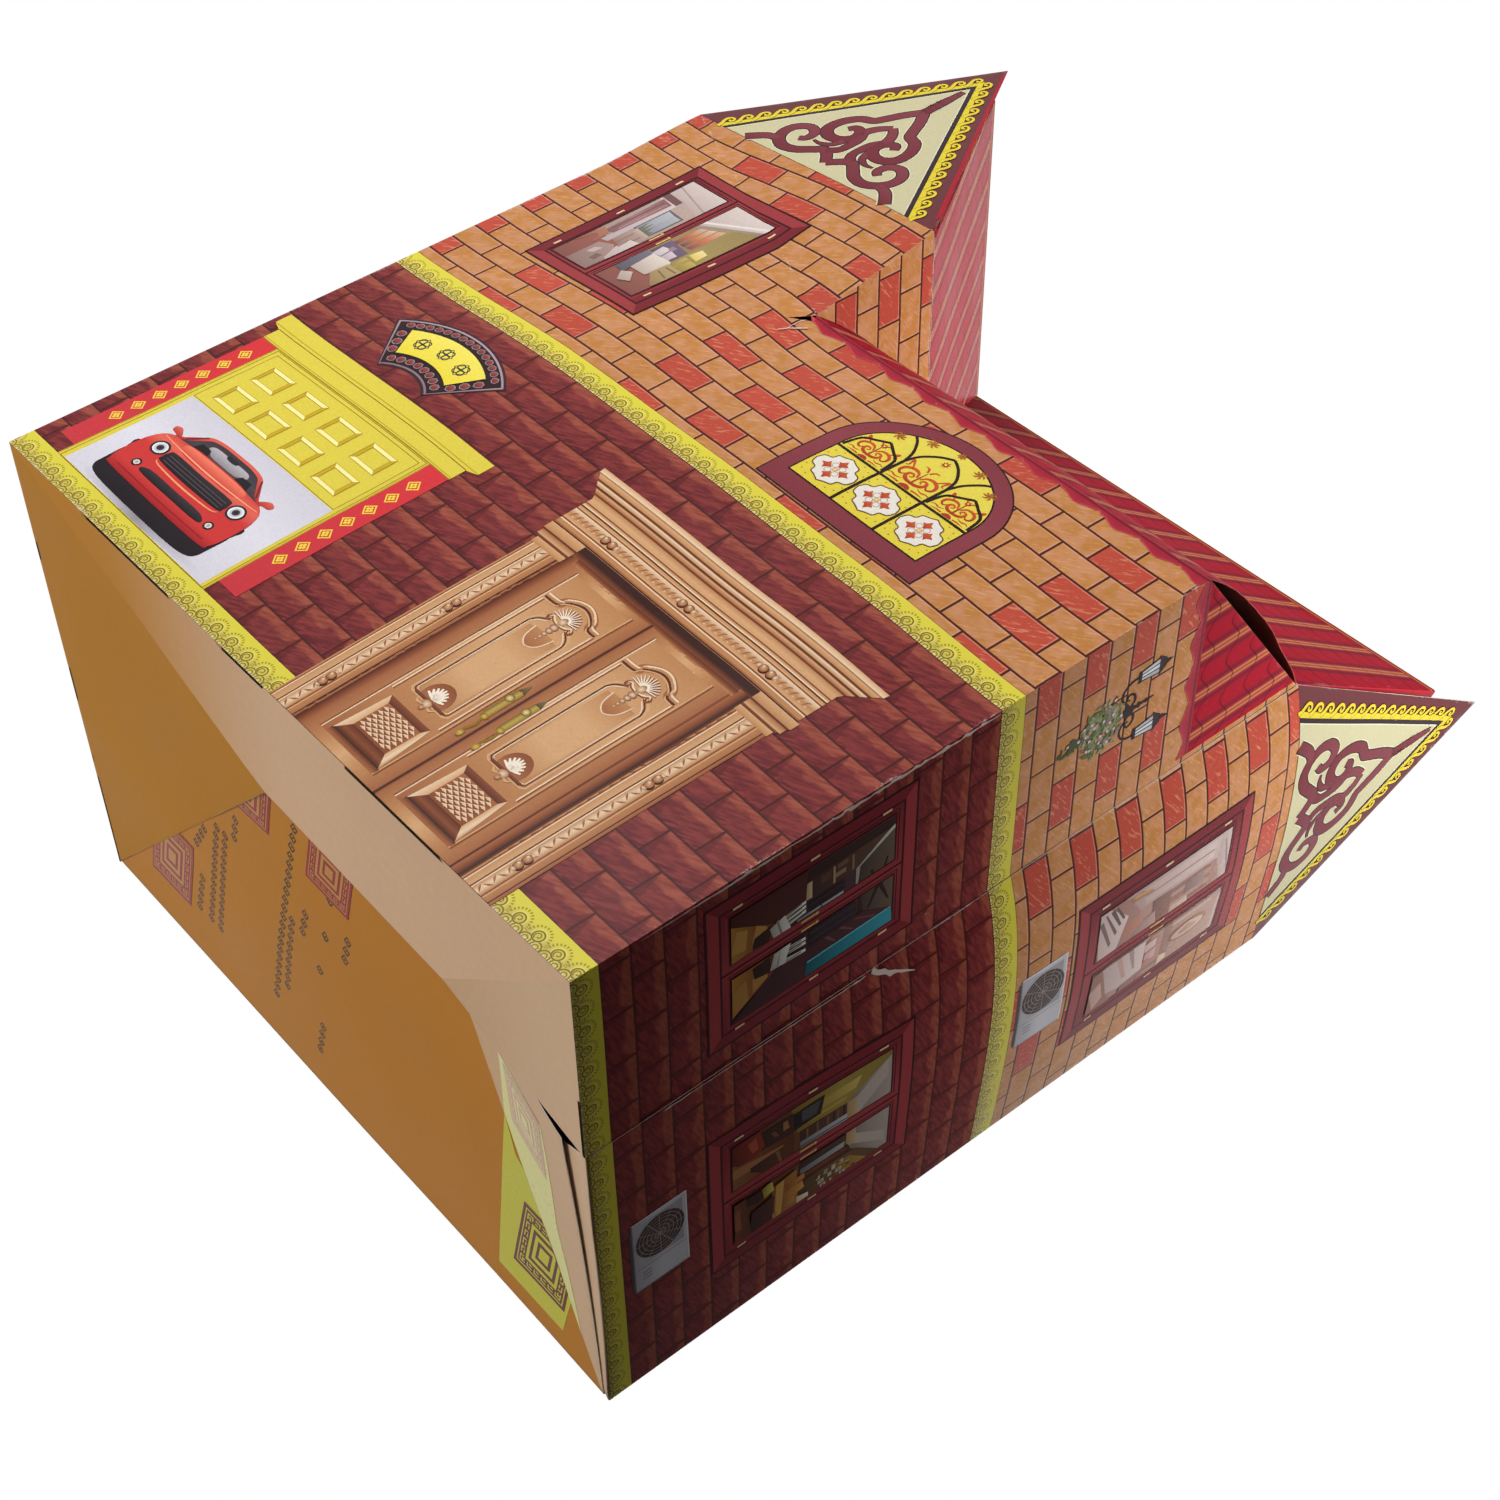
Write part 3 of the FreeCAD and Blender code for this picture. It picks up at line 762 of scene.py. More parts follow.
# ---------------------------------------------------------------- the card sheets
@dataclass
class CardSheet:
    """Visible copy of one packed sheet: its outer skin with rounded folds, slight waves and its thickness.

    Attributes:
        house: The house's sizes.
        node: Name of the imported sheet.
        inside: A place inside the house, in millimetres, that tells the sheet's outer side.
        materials: Material of each kind of panel, in the order of Panel.
        choose: Tells the kind of a panel from the sheet, the panel's middle and its direction.
        card: Thickness of the card, in millimetres.
        fold_width: How far a fold is rounded to each side.
        fold_angle: Turn from which a fold is rounded, in degrees.
        crease_angle: Turn from which a print is cut at a fold.
        still_angle: Turn from which a fold holds the card still.
        cell: Size of the pieces that the skin is divided into, in millimetres.
        wave: Height of the card's slight waves.
        wave_size: Length of those waves.
        calm: How far from a fold they reach their full height.
        front_bow: How far the front wall bows out.
        block_lean: How much further the block's left corner leans forward.
        flap_sink: How far the back flap's free end sinks into the house.
        eave_drop: How far the lean-to roof's free end hangs down.
        creases: Ends of every fold, in millimetres from the house's corner.
    """

    house: House
    node: str
    inside: tuple[float, float, float]
    materials: list[bpy.types.Material]
    choose: Callable[["CardSheet", Vector, Vector], int]
    card: float = 0.5
    fold_width: float = 1.1
    fold_angle: float = 14.0
    crease_angle: float = 6.0
    still_angle: float = 9.0
    cell: float = 5.0
    wave: float = 0.5
    wave_size: float = 66.0
    calm: float = 18.0
    front_bow: float = 7.8
    block_lean: float = 3.0
    flap_sink: float = 5.5
    eave_drop: float = 4.0
    creases: list[tuple[Vector, Vector]] = field(default_factory=list)

    def outer_skin(self) -> bmesh.types.BMesh:
        """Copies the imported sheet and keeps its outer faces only."""
        mesh = bmesh.new()
        mesh.from_mesh(frame["nodes"][self.node].data)
        bmesh.ops.remove_doubles(mesh, verts=mesh.verts, dist=0.02 * MM)
        bmesh.ops.dissolve_limit(mesh, angle_limit=math.radians(0.2), verts=mesh.verts, edges=mesh.edges)
        middle = self.house.at(*self.inside)
        gone = []
        for face in mesh.faces:
            width = 2 * face.calc_area() / max(face.calc_perimeter(), 1e-9)
            outward = (face.calc_center_median() - middle).dot(face.normal) > 0
            if width < 1.3 * self.card * MM or not outward:
                gone.append(face)
        bmesh.ops.delete(mesh, geom=gone, context="FACES")
        return mesh

    def round_folds(self, mesh: bmesh.types.BMesh) -> None:
        """Rounds the creases between panels a little."""
        angle = math.radians(self.fold_angle)
        folds = [edge for edge in mesh.edges if len(edge.link_faces) == 2 and edge.calc_face_angle(0) > angle]
        bmesh.ops.bevel(mesh, geom=folds, offset=self.fold_width * MM, offset_type="OFFSET", affect="EDGES",
                        segments=2, profile=0.5, material=-1, clamp_overlap=True)

    def note_creases(self, mesh: bmesh.types.BMesh) -> None:
        """Notes every edge at which the skin turns, except between the facets of its curved back half."""
        for edge in mesh.edges:
            if len(edge.link_faces) == 2 and edge.calc_face_angle(0) > math.radians(self.crease_angle):
                if not self.curved(edge):
                    self.creases.append(tuple(self.house.measured(vert.co) for vert in edge.verts))

    def curved(self, edge: bmesh.types.BMEdge) -> bool:
        """Whether an edge lies between two facets of the curved right wall."""
        return all(face.normal.x > 0.9 for face in edge.link_faces)

    def divide(self, mesh: bmesh.types.BMesh) -> None:
        """Cuts the skin into small cells along the house's own directions, and along its scored lines."""
        for low, high in BOTTOM_SCORES.get(self.node, ()):
            faces = [face for face in mesh.faces if face.normal.z < -0.99]
            run = Vector((high[0] - low[0], high[1] - low[1], 0))
            cut(mesh, faces, self.house.at(*low, 0), Vector((-run.y, run.x, 0)).normalized(), 0.02 * MM)
        for axis in range(3):
            places = [self.house.measured(vert.co)[axis] for vert in mesh.verts]
            direction = Vector([float(i == axis) for i in range(3)])
            for step in range(math.ceil(min(places) / self.cell), math.floor(max(places) / self.cell) + 1):
                spot = step * self.cell
                level = self.house.at(*[spot] * 3)[axis]
                faces = [face for face in mesh.faces
                         if abs(face.normal[axis]) < 0.8 and crosses(face, axis, level)]
                if faces:
                    cut(mesh, faces, self.house.at(*(direction * spot)), direction, NEAR * MM)
        bmesh.ops.remove_doubles(mesh, verts=mesh.verts, dist=0.05 * MM)

    def mark_folds(self, mesh: bmesh.types.BMesh) -> None:
        """Marks the folds and cut edges, where the card lies still."""
        layer, least = mesh.verts.layers.float.new(FOLD), math.radians(self.still_angle)
        mesh.normal_update()
        for vert in mesh.verts:
            turns = [edge.calc_face_angle(0) for edge in vert.link_edges
                     if len(edge.link_faces) == 2 and not self.curved(edge)]
            cut_edge = any(len(edge.link_faces) < 2 for edge in vert.link_edges)
            vert[layer] = 1.0 if max(turns, default=0.0) > least or cut_edge else 0.0
        still = [vert for vert in mesh.verts if vert[layer] > 0.5]
        self.still = KDTree(len(still))
        for number, vert in enumerate(still):
            self.still.insert(vert.co, number)
        self.still.balance()

    def settle(self, place: Vector, normal: Vector) -> Vector:
        """Moves a place from the stiff folded sheet to the card as it hangs.

        Args:
            place: A place on the sheet's outer side, in metres.
            normal: The sheet's direction there.

        Returns:
            The place on the softly waved and bowed card.
        """
        spot = self.house.measured(place)
        off = self.still.find(place)[2] / MM
        if normal.x > 0.9 and off > 1.0:
            place = self.evened(place, min(off * 0.8, 16.0))
        height = noise.noise(spot / self.wave_size) + 0.3 * noise.noise(spot * 2.3 / self.wave_size)
        height *= self.wave * eased(off, (0, 0), (self.calm, 1))
        return place + normal * height * MM + self.bow(spot, normal) * MM

    def evened(self, place: Vector, reach: float) -> Vector:
        """Evens out the facets of the curved wall round a place on it."""
        found = []
        for number in range(8):
            turn = math.tau * number / 8
            near = Vector((0.05, math.cos(turn) * reach * MM, math.sin(turn) * reach * MM))
            for part in (0.5, 1.0):
                start = place + Vector((near.x, near.y * part, near.z * part))
                hit = self.tree.ray_cast(start, Vector((-1, 0, 0)), 0.1)[0]
                found.append(hit.x if hit else place.x)
        return Vector((sum(found) / len(found), place.y, place.z))

    def bow(self, spot: Vector, normal: Vector) -> Vector:
        """Gives how far the front wall bows out, and the back flap sinks into the open bottom.

        Args:
            spot: The place, in millimetres from the house's corner.
            normal: The sheet's direction there.

        Returns:
            The move in millimetres.
        """
        along = eased(spot.x, (5, 0), (128, 1), (205, 1), (300, 0.72), (390, 0))
        above = eased(spot.x, (140, 0), (185, 1))
        up = min(spot.z / 155, 0.5 + (spot.z - 77.5) / 245, 1.0)
        up *= eased(spot.z, (225, 1), (309, 0.62 - 0.35 * above), (378, 0.33), (503, 0.25))
        lean = self.block_lean * (1 - min(spot.x / 163, 1)) * eased(spot.z, (309, 0), (378, 1))
        out = (self.front_bow * max(along * up, 0) + lean) * eased(spot.y, (0, 1), (70, 0))
        sink = 0.0
        if "back" in self.node and normal.z < -0.6 and spot.z < 3:
            start, end = (Vector(point) for point in BOTTOM_SCORES[self.node][0])
            run, off = (end - start).normalized(), spot.xy - start
            beyond = off.x * run.y - off.y * run.x
            free = 1 - min(max(off.dot(run) / 200, 0), 1)
            free *= 1 - min(beyond / 50, 1) if beyond > 0 else eased(-beyond, (0, 1), (170, 0))
            sink = self.flap_sink * free
        lower = 0.0
        if normal.z >= 0.3 and normal.y <= -0.2 and spot.z >= self.house.eave:
            lower = self.eave_drop * eased(spot.x, (250, 0), (390, 1))
            lower *= eased(spot.y, (4, 0), (40, 1), (62, 1), (96, 0))
        return Vector((0, -out, sink)) - normal * lower

    def map_print(self, mesh: bmesh.types.BMesh) -> None:
        """Lays the flat print on every panel and gives the panel its material."""
        layer = mesh.loops.layers.uv.new(PRINT_MAP)
        for face in mesh.faces:
            face.smooth = True
            middle = self.house.measured(face.calc_center_median())
            face.material_index = self.choose(self, middle, face.normal)
            for loop in face.loops:
                spot = self.house.measured(loop.vert.co)
                loop[layer].uv = Vector(self.unfold(spot, middle, face.normal)) * MM

    def unfold(self, spot: Vector, middle: Vector, normal: Vector) -> Point:
        """Finds where a point of the standing house lies on its flat print.

        Args:
            spot: The point, in millimetres from the house's corner.
            middle: Centre of the face that it belongs to.
            normal: Direction of that face.

        Returns:
            Its place on the print, in millimetres.
        """
        house = self.house
        if normal.z < -0.7:
            return spot.x, spot.y
        if normal.z > 0.2 and middle.z > house.eave - 2:
            if middle.y < house.front_depth - 1 and middle.x > house.block_width + 1:
                return spot.x, math.hypot(spot.y, spot.z - house.eave)
            if abs(normal.x) > abs(normal.y):
                off = min(abs(spot.x), abs(spot.x - house.block_width))
                return spot.y, math.hypot(off, spot.z - house.wall_top)
            off = min(abs(spot.y - house.front_depth), abs(spot.y - house.depth))
            return spot.x, math.hypot(off, spot.z - house.wall_top)
        if abs(normal.x) > abs(normal.y):
            if normal.x < 0:
                return -spot.y, spot.z
            if self.is_cheek(middle):
                return spot.y + 1.3, spot.z - house.eave - 1.0
            along = house.width + spot.y + 2.3 - eased(spot.z, (217, 0), (300, 1.4))
            return along, spot.z + max(spot.z - 217.5, 0) * 0.038
        if normal.y > 0:
            return 2 * house.width + house.depth - spot.x, spot.z
        rise = 0.0
        if spot.x <= house.block_width:
            rise = max(spot.z - 217, 0) * 0.03 * eased(spot.x, (20, 1), (110, 0))
            rise += eased(spot.z, (335, 0), (378, 4))
        right = eased(spot.z, (211, 0), (214, 1.4)) + max(spot.z - 214, 0) * 0.012
        rise += eased(spot.x, (140, 0), (195, 1)) * right
        return spot.x - eased(spot.x, (0, 1.6), (90, 0)), spot.z + rise

    def is_cheek(self, spot: Vector) -> bool:
        """Whether a spot of the right wall lies on its tiled triangle under the lean-to roof."""
        near = spot.y < 95 and spot.x > self.house.width - 5
        return "front" in self.node and spot.z > self.house.eave + 1 and near

    def normal_at(self, place: Vector, number: int) -> Vector:
        """Gives the card's smooth normal at a place.

        Args:
            place: The place on the stiff sheet, in metres.
            number: The face that it lies on.

        Returns:
            The normal, blended from the face's corners.
        """
        corners = self.rest.faces[number].verts
        shares = poly_3d_calc([vert.co for vert in corners], place)
        return sum((self.leans[vert.index] * share for vert, share in zip(corners, shares)),
                   Vector()).normalized()

    def build(self) -> bpy.types.Object:
        """Builds the sheet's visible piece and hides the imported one.

        Returns:
            The new object.
        """
        skin = self.outer_skin()
        self.round_folds(skin)
        skin.normal_update()
        self.note_creases(skin)
        self.divide(skin)
        self.mark_folds(skin)
        self.map_print(skin)
        self.rest = skin.copy()
        self.rest.normal_update()
        self.rest.faces.ensure_lookup_table()
        self.rest.verts.index_update()
        self.tree = BVHTree.FromBMesh(self.rest)
        for vert, place in [(vert, self.settle(vert.co, vert.normal)) for vert in skin.verts]:
            vert.co = place
        skin.normal_update()
        self.leans = [sum((face.normal * face.calc_area() for face in vert.link_faces), Vector()).normalized()
                      for vert in skin.verts]
        piece = add_object(self.node.replace("_sheet", "_card"), skin)
        for material in self.materials:
            piece.data.materials.append(material)
        shell = piece.modifiers.new("card", "SOLIDIFY")
        shell.thickness = self.card * MM
        shell.offset = -1.0
        shell.use_even_offset = False
        shell.material_offset = shell.material_offset_rim = len(self.materials)
        if "front" in self.node:
            piece.data.materials.pop()      # the inner side then takes the material before it, the red one
        even = piece.modifiers.new("flat panels", "WEIGHTED_NORMAL")
        even.weight = 100
        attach(piece, BODY)
        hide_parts(self.node)
        LOG.info("%s: %d faces", piece.name, len(piece.data.polygons))
        return piece


# ---------------------------------------------------------------- drawn prints
def curve(points: Sequence[Point], parts: int = 6) -> list[Point]:
    """Rounds a line of a few points into a smooth one that passes through them.

    Args:
        points: The points to pass through.
        parts: How many pieces each stretch is divided into.

    Returns:
        The points of the smooth line.
    """
    ends = [points[0], *points, points[-1]]
    line = []
    for a, b, c, d in zip(ends, ends[1:], ends[2:], ends[3:]):
        for step in range(parts):
            t = step / parts
            line.append(tuple(0.5 * (2 * b[i] + (c[i] - a[i]) * t
                                     + (2 * a[i] - 5 * b[i] + 4 * c[i] - d[i]) * t * t
                                     + (3 * b[i] - a[i] - 3 * c[i] + d[i]) * t ** 3) for i in (0, 1)))
    return [*line, points[-1]]


def ring(centre: Point, radius: float | Point, angle: float) -> Point:
    """Gives a place on a circle or ellipse, by its angle in degrees from the right, anticlockwise."""
    wide, high = radius if isinstance(radius, tuple) else (radius, radius)
    turn = math.radians(angle)
    return (centre[0] + wide * math.cos(turn), centre[1] + high * math.sin(turn))


def arc(centre: Point, radius: float | Point, start: float, end: float, parts: int = 16) -> list[Point]:
    """Gives the points along part of a circle or ellipse, from one angle to another; see ring."""
    return [ring(centre, radius, start + (end - start) * i / parts) for i in range(parts + 1)]


class Print:
    """A picture printed on one side of the house, drawn flat in millimetres and pressed onto the card.

    Later shapes lie a hair higher than earlier ones where their level is higher.
    """

    BASE = 0.12        # height of level 0 over the card, in millimetres
    STEP = 0.035       # height of one level over the next
    AWAY = 40.0        # how far out from the wall the search for the card starts, in millimetres
    REACH = 0.08       # and how far it goes, in metres
    DEPTH = 60.0       # a crease that runs further into the house than this doesn't cut a print

    def __init__(self, name: str, side: Side, origin: Point = (0.0, 0.0), cell: float = 5.0) -> None:
        """Starts an empty picture.

        Args:
            name: Name of the piece.
            side: The side of the house that it is printed on.
            origin: Where the picture's own zero lies on that side, in millimetres.
            cell: Size of the pieces that it is divided into, in millimetres.
        """
        self.name, self.side, self.origin, self.cell = name, side, origin, cell
        self.mesh = bmesh.new()
        self.colours = self.mesh.loops.layers.float_color.new(INK)
        self.flip: float | None = None

    def paint(self, verts: Iterable[bmesh.types.BMVert], inks: Sequence[str], along: str, level: int) -> None:
        """Colours a new shape, evenly or in steps, and draws its mirror image where flip is set.

        Args:
            verts: The shape's points.
            inks: One colour, or several that run into one another.
            along: Direction in which they do: "u", "v", or "r" from the middle outwards.
            level: Height over the card, in steps.
        """
        verts = list(verts)
        faces = list({face for vert in verts for face in vert.link_faces})
        values = [Vector(ink(code)) for code in inks]
        axis = "uv".find(along)
        if axis >= 0:
            low, high = (pick(vert.co[axis] for vert in verts) for pick in (min, max))
            geometry = [*verts, *{edge for face in faces for edge in face.edges}, *faces]
            for part in range(1, len(values) - 1):
                place, direction = Vector((0, 0, 0)), Vector((0, 0, 0))
                place[axis], direction[axis] = low + (high - low) * part / (len(values) - 1), 1
                geometry = bmesh.ops.bisect_plane(self.mesh, geom=geometry, plane_co=place,
                                                  plane_no=direction)["geom"]
            faces = of_kind(geometry, bmesh.types.BMFace)
        else:
            middle = sum((vert.co for vert in verts), Vector()) / len(verts)
            low, high = 0.0, max((vert.co - middle).length for vert in verts)
        for face in faces:
            for loop in face.loops:
                where = loop.vert.co[axis] if axis >= 0 else (loop.vert.co - middle).length
                loop[self.colours] = blended(values, (where - low) / max(high - low, 1e-6))
        points = {vert for face in faces for vert in face.verts}
        for vert in points:
            vert.co.z = self.BASE + self.STEP * level
        for face in faces:
            if face.normal.z < 0 or (face.normal_update() or face.normal.z < 0):
                face.normal_flip()
        if self.flip is not None:
            edges = {edge for face in faces for edge in face.edges}
            copies = bmesh.ops.duplicate(self.mesh, geom=[*points, *edges, *faces])["geom"]
            for vert in of_kind(copies, bmesh.types.BMVert):
                vert.co.x = 2 * self.flip - vert.co.x
            bmesh.ops.reverse_faces(self.mesh, faces=of_kind(copies, bmesh.types.BMFace))

    def bar(self, low: Point, high: Point, *inks: str, along: str = "v", level: int = 0) -> None:
        """Draws a rectangle from its low left to its high right corner."""
        middle = Vector(((low[0] + high[0]) / 2, (low[1] + high[1]) / 2, 0))
        size = Matrix.Diagonal((high[0] - low[0], high[1] - low[1], 1, 1))
        made = bmesh.ops.create_grid(self.mesh, x_segments=1, y_segments=1, size=0.5,
                                     matrix=Matrix.Translation(middle) @ size)
        self.paint(made["verts"], inks, along, level)

    def shape(self, points: Sequence[Point], *inks: str, along: str = "v", level: int = 0) -> None:
        """Draws a closed shape through its corners."""
        verts = [self.mesh.verts.new((*point, 0)) for point in points]
        self.mesh.faces.new(verts)
        self.paint(verts, inks, along, level)

    def disc(self, centre: Point, radius: float | Point, *inks: str, along: str = "r", level: int = 0,
             parts: int = 20) -> None:
        """Draws a disc or oval, shaded from its middle outwards unless told otherwise."""
        wide, high = radius if isinstance(radius, tuple) else (radius, radius)
        place = Matrix.Translation((*centre, 0)) @ Matrix.Diagonal((wide, high, 1, 1))
        made = bmesh.ops.create_circle(self.mesh, cap_ends=True, cap_tris=along == "r", segments=parts,
                                       radius=1, matrix=place)
        self.paint(made["verts"], inks, along, level)

    def stroke(self, points: Sequence[Point], width: float | Sequence[float], *inks: str, along: str = "v",
               level: int = 0) -> None:
        """Draws a line of the given width, by pulling one short edge along it.

        Args:
            points: The line's middle.
            width: Its width, or several widths spread evenly along it.
            inks: Its colours.
            along: Direction in which they run into one another.
            level: Height over the card, in steps.
        """
        widths = [width] if isinstance(width, (int, float)) else list(width)
        last = len(points) - 1
        edge, verts = None, []
        for number, point in enumerate(points):
            before, after = points[max(number - 1, 0)], points[min(number + 1, last)]
            run = Vector((after[0] - before[0], after[1] - before[1]))
            across = Vector((-run.y, run.x)).normalized() if run.length > 1e-9 else Vector((0, 1))
            wide = blended(widths, number / max(last, 1))
            sides = [(point[0] + across.x * wide * half, point[1] + across.y * wide * half, 0)
                     for half in (0.5, -0.5)]
            if edge is None:
                pair = [self.mesh.verts.new(side) for side in sides]
                edge = self.mesh.edges.new(pair)
            else:
                made = bmesh.ops.extrude_edge_only(self.mesh, edges=[edge])["geom"]
                fresh, edge = of_kind(made, bmesh.types.BMVert), of_kind(made, bmesh.types.BMEdge)[0]
                linked = {vert: next(e.other_vert(vert) for e in vert.link_edges if e is not edge)
                          for vert in fresh}
                pair = [next(v for v in fresh if linked[v] is old) for old in pair]
                for vert, side in zip(pair, sides):
                    vert.co = side
            verts += pair
        self.paint(verts, inks, along, level)

    def frame(self, low: Point, high: Point, width: float, *inks: str, level: int = 0) -> None:
        """Draws a mitred frame inside a rectangle.

        Args:
            low: Its low left corner.
            high: Its high right corner.
            width: Width of its members.
            inks: One colour, or those of the top, right, bottom and left members.
            level: Height over the card, in steps.
        """
        tones = list(inks) * 4 if len(inks) == 1 else list(inks)
        (x0, y0), (x1, y1) = low, high
        outer = [(x0, y1), (x1, y1), (x1, y0), (x0, y0)]
        inner = [(x0 + width, y1 - width), (x1 - width, y1 - width), (x1 - width, y0 + width),
                 (x0 + width, y0 + width)]
        for part in range(4):
            after = (part + 1) % 4
            self.shape([outer[part], outer[after], inner[after], inner[part]], tones[part], level=level)

    def trim(self, place: Point, beyond: Point) -> None:
        """Cuts away what lies beyond a line through a place, in the given direction."""
        bmesh.ops.bisect_plane(self.mesh, geom=[*self.mesh.verts, *self.mesh.edges, *self.mesh.faces],
                               plane_co=(*place, 0), plane_no=(*beyond, 0), clear_outer=True)

    def press(self, sheets: Sequence[CardSheet], material: bpy.types.Material) -> bpy.types.Object:
        """Presses the finished picture onto the card and makes it a piece.

        Args:
            sheets: The sheets it may lie on.
            material: Its finish.

        Returns:
            The new object.
        """
        house, cell = sheets[0].house, self.cell
        bmesh.ops.translate(self.mesh, verts=self.mesh.verts, vec=(*self.origin, 0))
        low, high = (Vector([pick(vert.co[axis] for vert in self.mesh.verts) for axis in (0, 1)])
                     for pick in (min, max))
        for axis, direction in enumerate((Vector((1, 0, 0)), Vector((0, 1, 0)))):
            for step in range(math.ceil(low[axis] / cell), math.floor(high[axis] / cell) + 1):
                faces = [face for face in self.mesh.faces if crosses(face, axis, step * cell)]
                if faces:
                    cut(self.mesh, faces, direction * step * cell, direction, NEAR)
        for crease in (crease for sheet in sheets for crease in sheet.creases):
            start, end = (Vector(self.side.flat(spot)) for spot in crease)
            run = end - start
            inside = all(min(start[i], end[i]) < high[i] and max(start[i], end[i]) > low[i] for i in (0, 1))
            if inside and run.length > 0.5 and abs(self.side.outward.dot(crease[1] - crease[0])) < self.DEPTH:
                faces = [face for face in self.mesh.faces
                         if all(min(start[i], end[i]) < max(v.co[i] for v in face.verts) and
                                max(start[i], end[i]) > min(v.co[i] for v in face.verts) for i in (0, 1))]
                if faces:
                    cut(self.mesh, faces, start.to_3d(), Vector((-run.y, run.x, 0)).normalized(), NEAR)
        flat = self.mesh.loops.layers.uv.new(PRINT_MAP)
        for face in self.mesh.faces:
            face.smooth = True
            for loop in face.loops:
                loop[flat].uv = loop.vert.co.xy * MM
        outward, normals = self.side.outward, []
        for vert in self.mesh.verts:
            lift = vert.co.z * MM
            start = self.side.place(house, vert.co.x, vert.co.y, self.AWAY)
            found = [(sheet.tree.ray_cast(start, -outward, self.REACH), sheet) for sheet in sheets]
            found = [(hit, sheet) for hit, sheet in found if hit[0]]
            if not found:
                near = self.side.place(house, vert.co.x, vert.co.y, 0.0)
                found = [(sheet.tree.find_nearest(near), sheet) for sheet in sheets]
            hit, sheet = min(found, key=lambda pair: pair[0][3])
            vert.co = sheet.settle(hit[0], hit[1]) + outward * lift
            normals.append(sheet.normal_at(hit[0], hit[2]))
        if self.side.mirrored:
            bmesh.ops.reverse_faces(self.mesh, faces=self.mesh.faces)
        piece = add_object(self.name, self.mesh)
        piece.data.normals_split_custom_set_from_vertices(normals)
        piece.data.materials.append(material)
        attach(piece, BODY)
        LOG.info("%s: %d faces", self.name, len(piece.data.polygons))
        return piece


class Picture:
    """Base of the drawn pictures: each kind draws itself on a print."""

    def draw(self, on: Print) -> None:
        """Draws the picture.

        Args:
            on: The print to draw on.
        """
        raise NotImplementedError


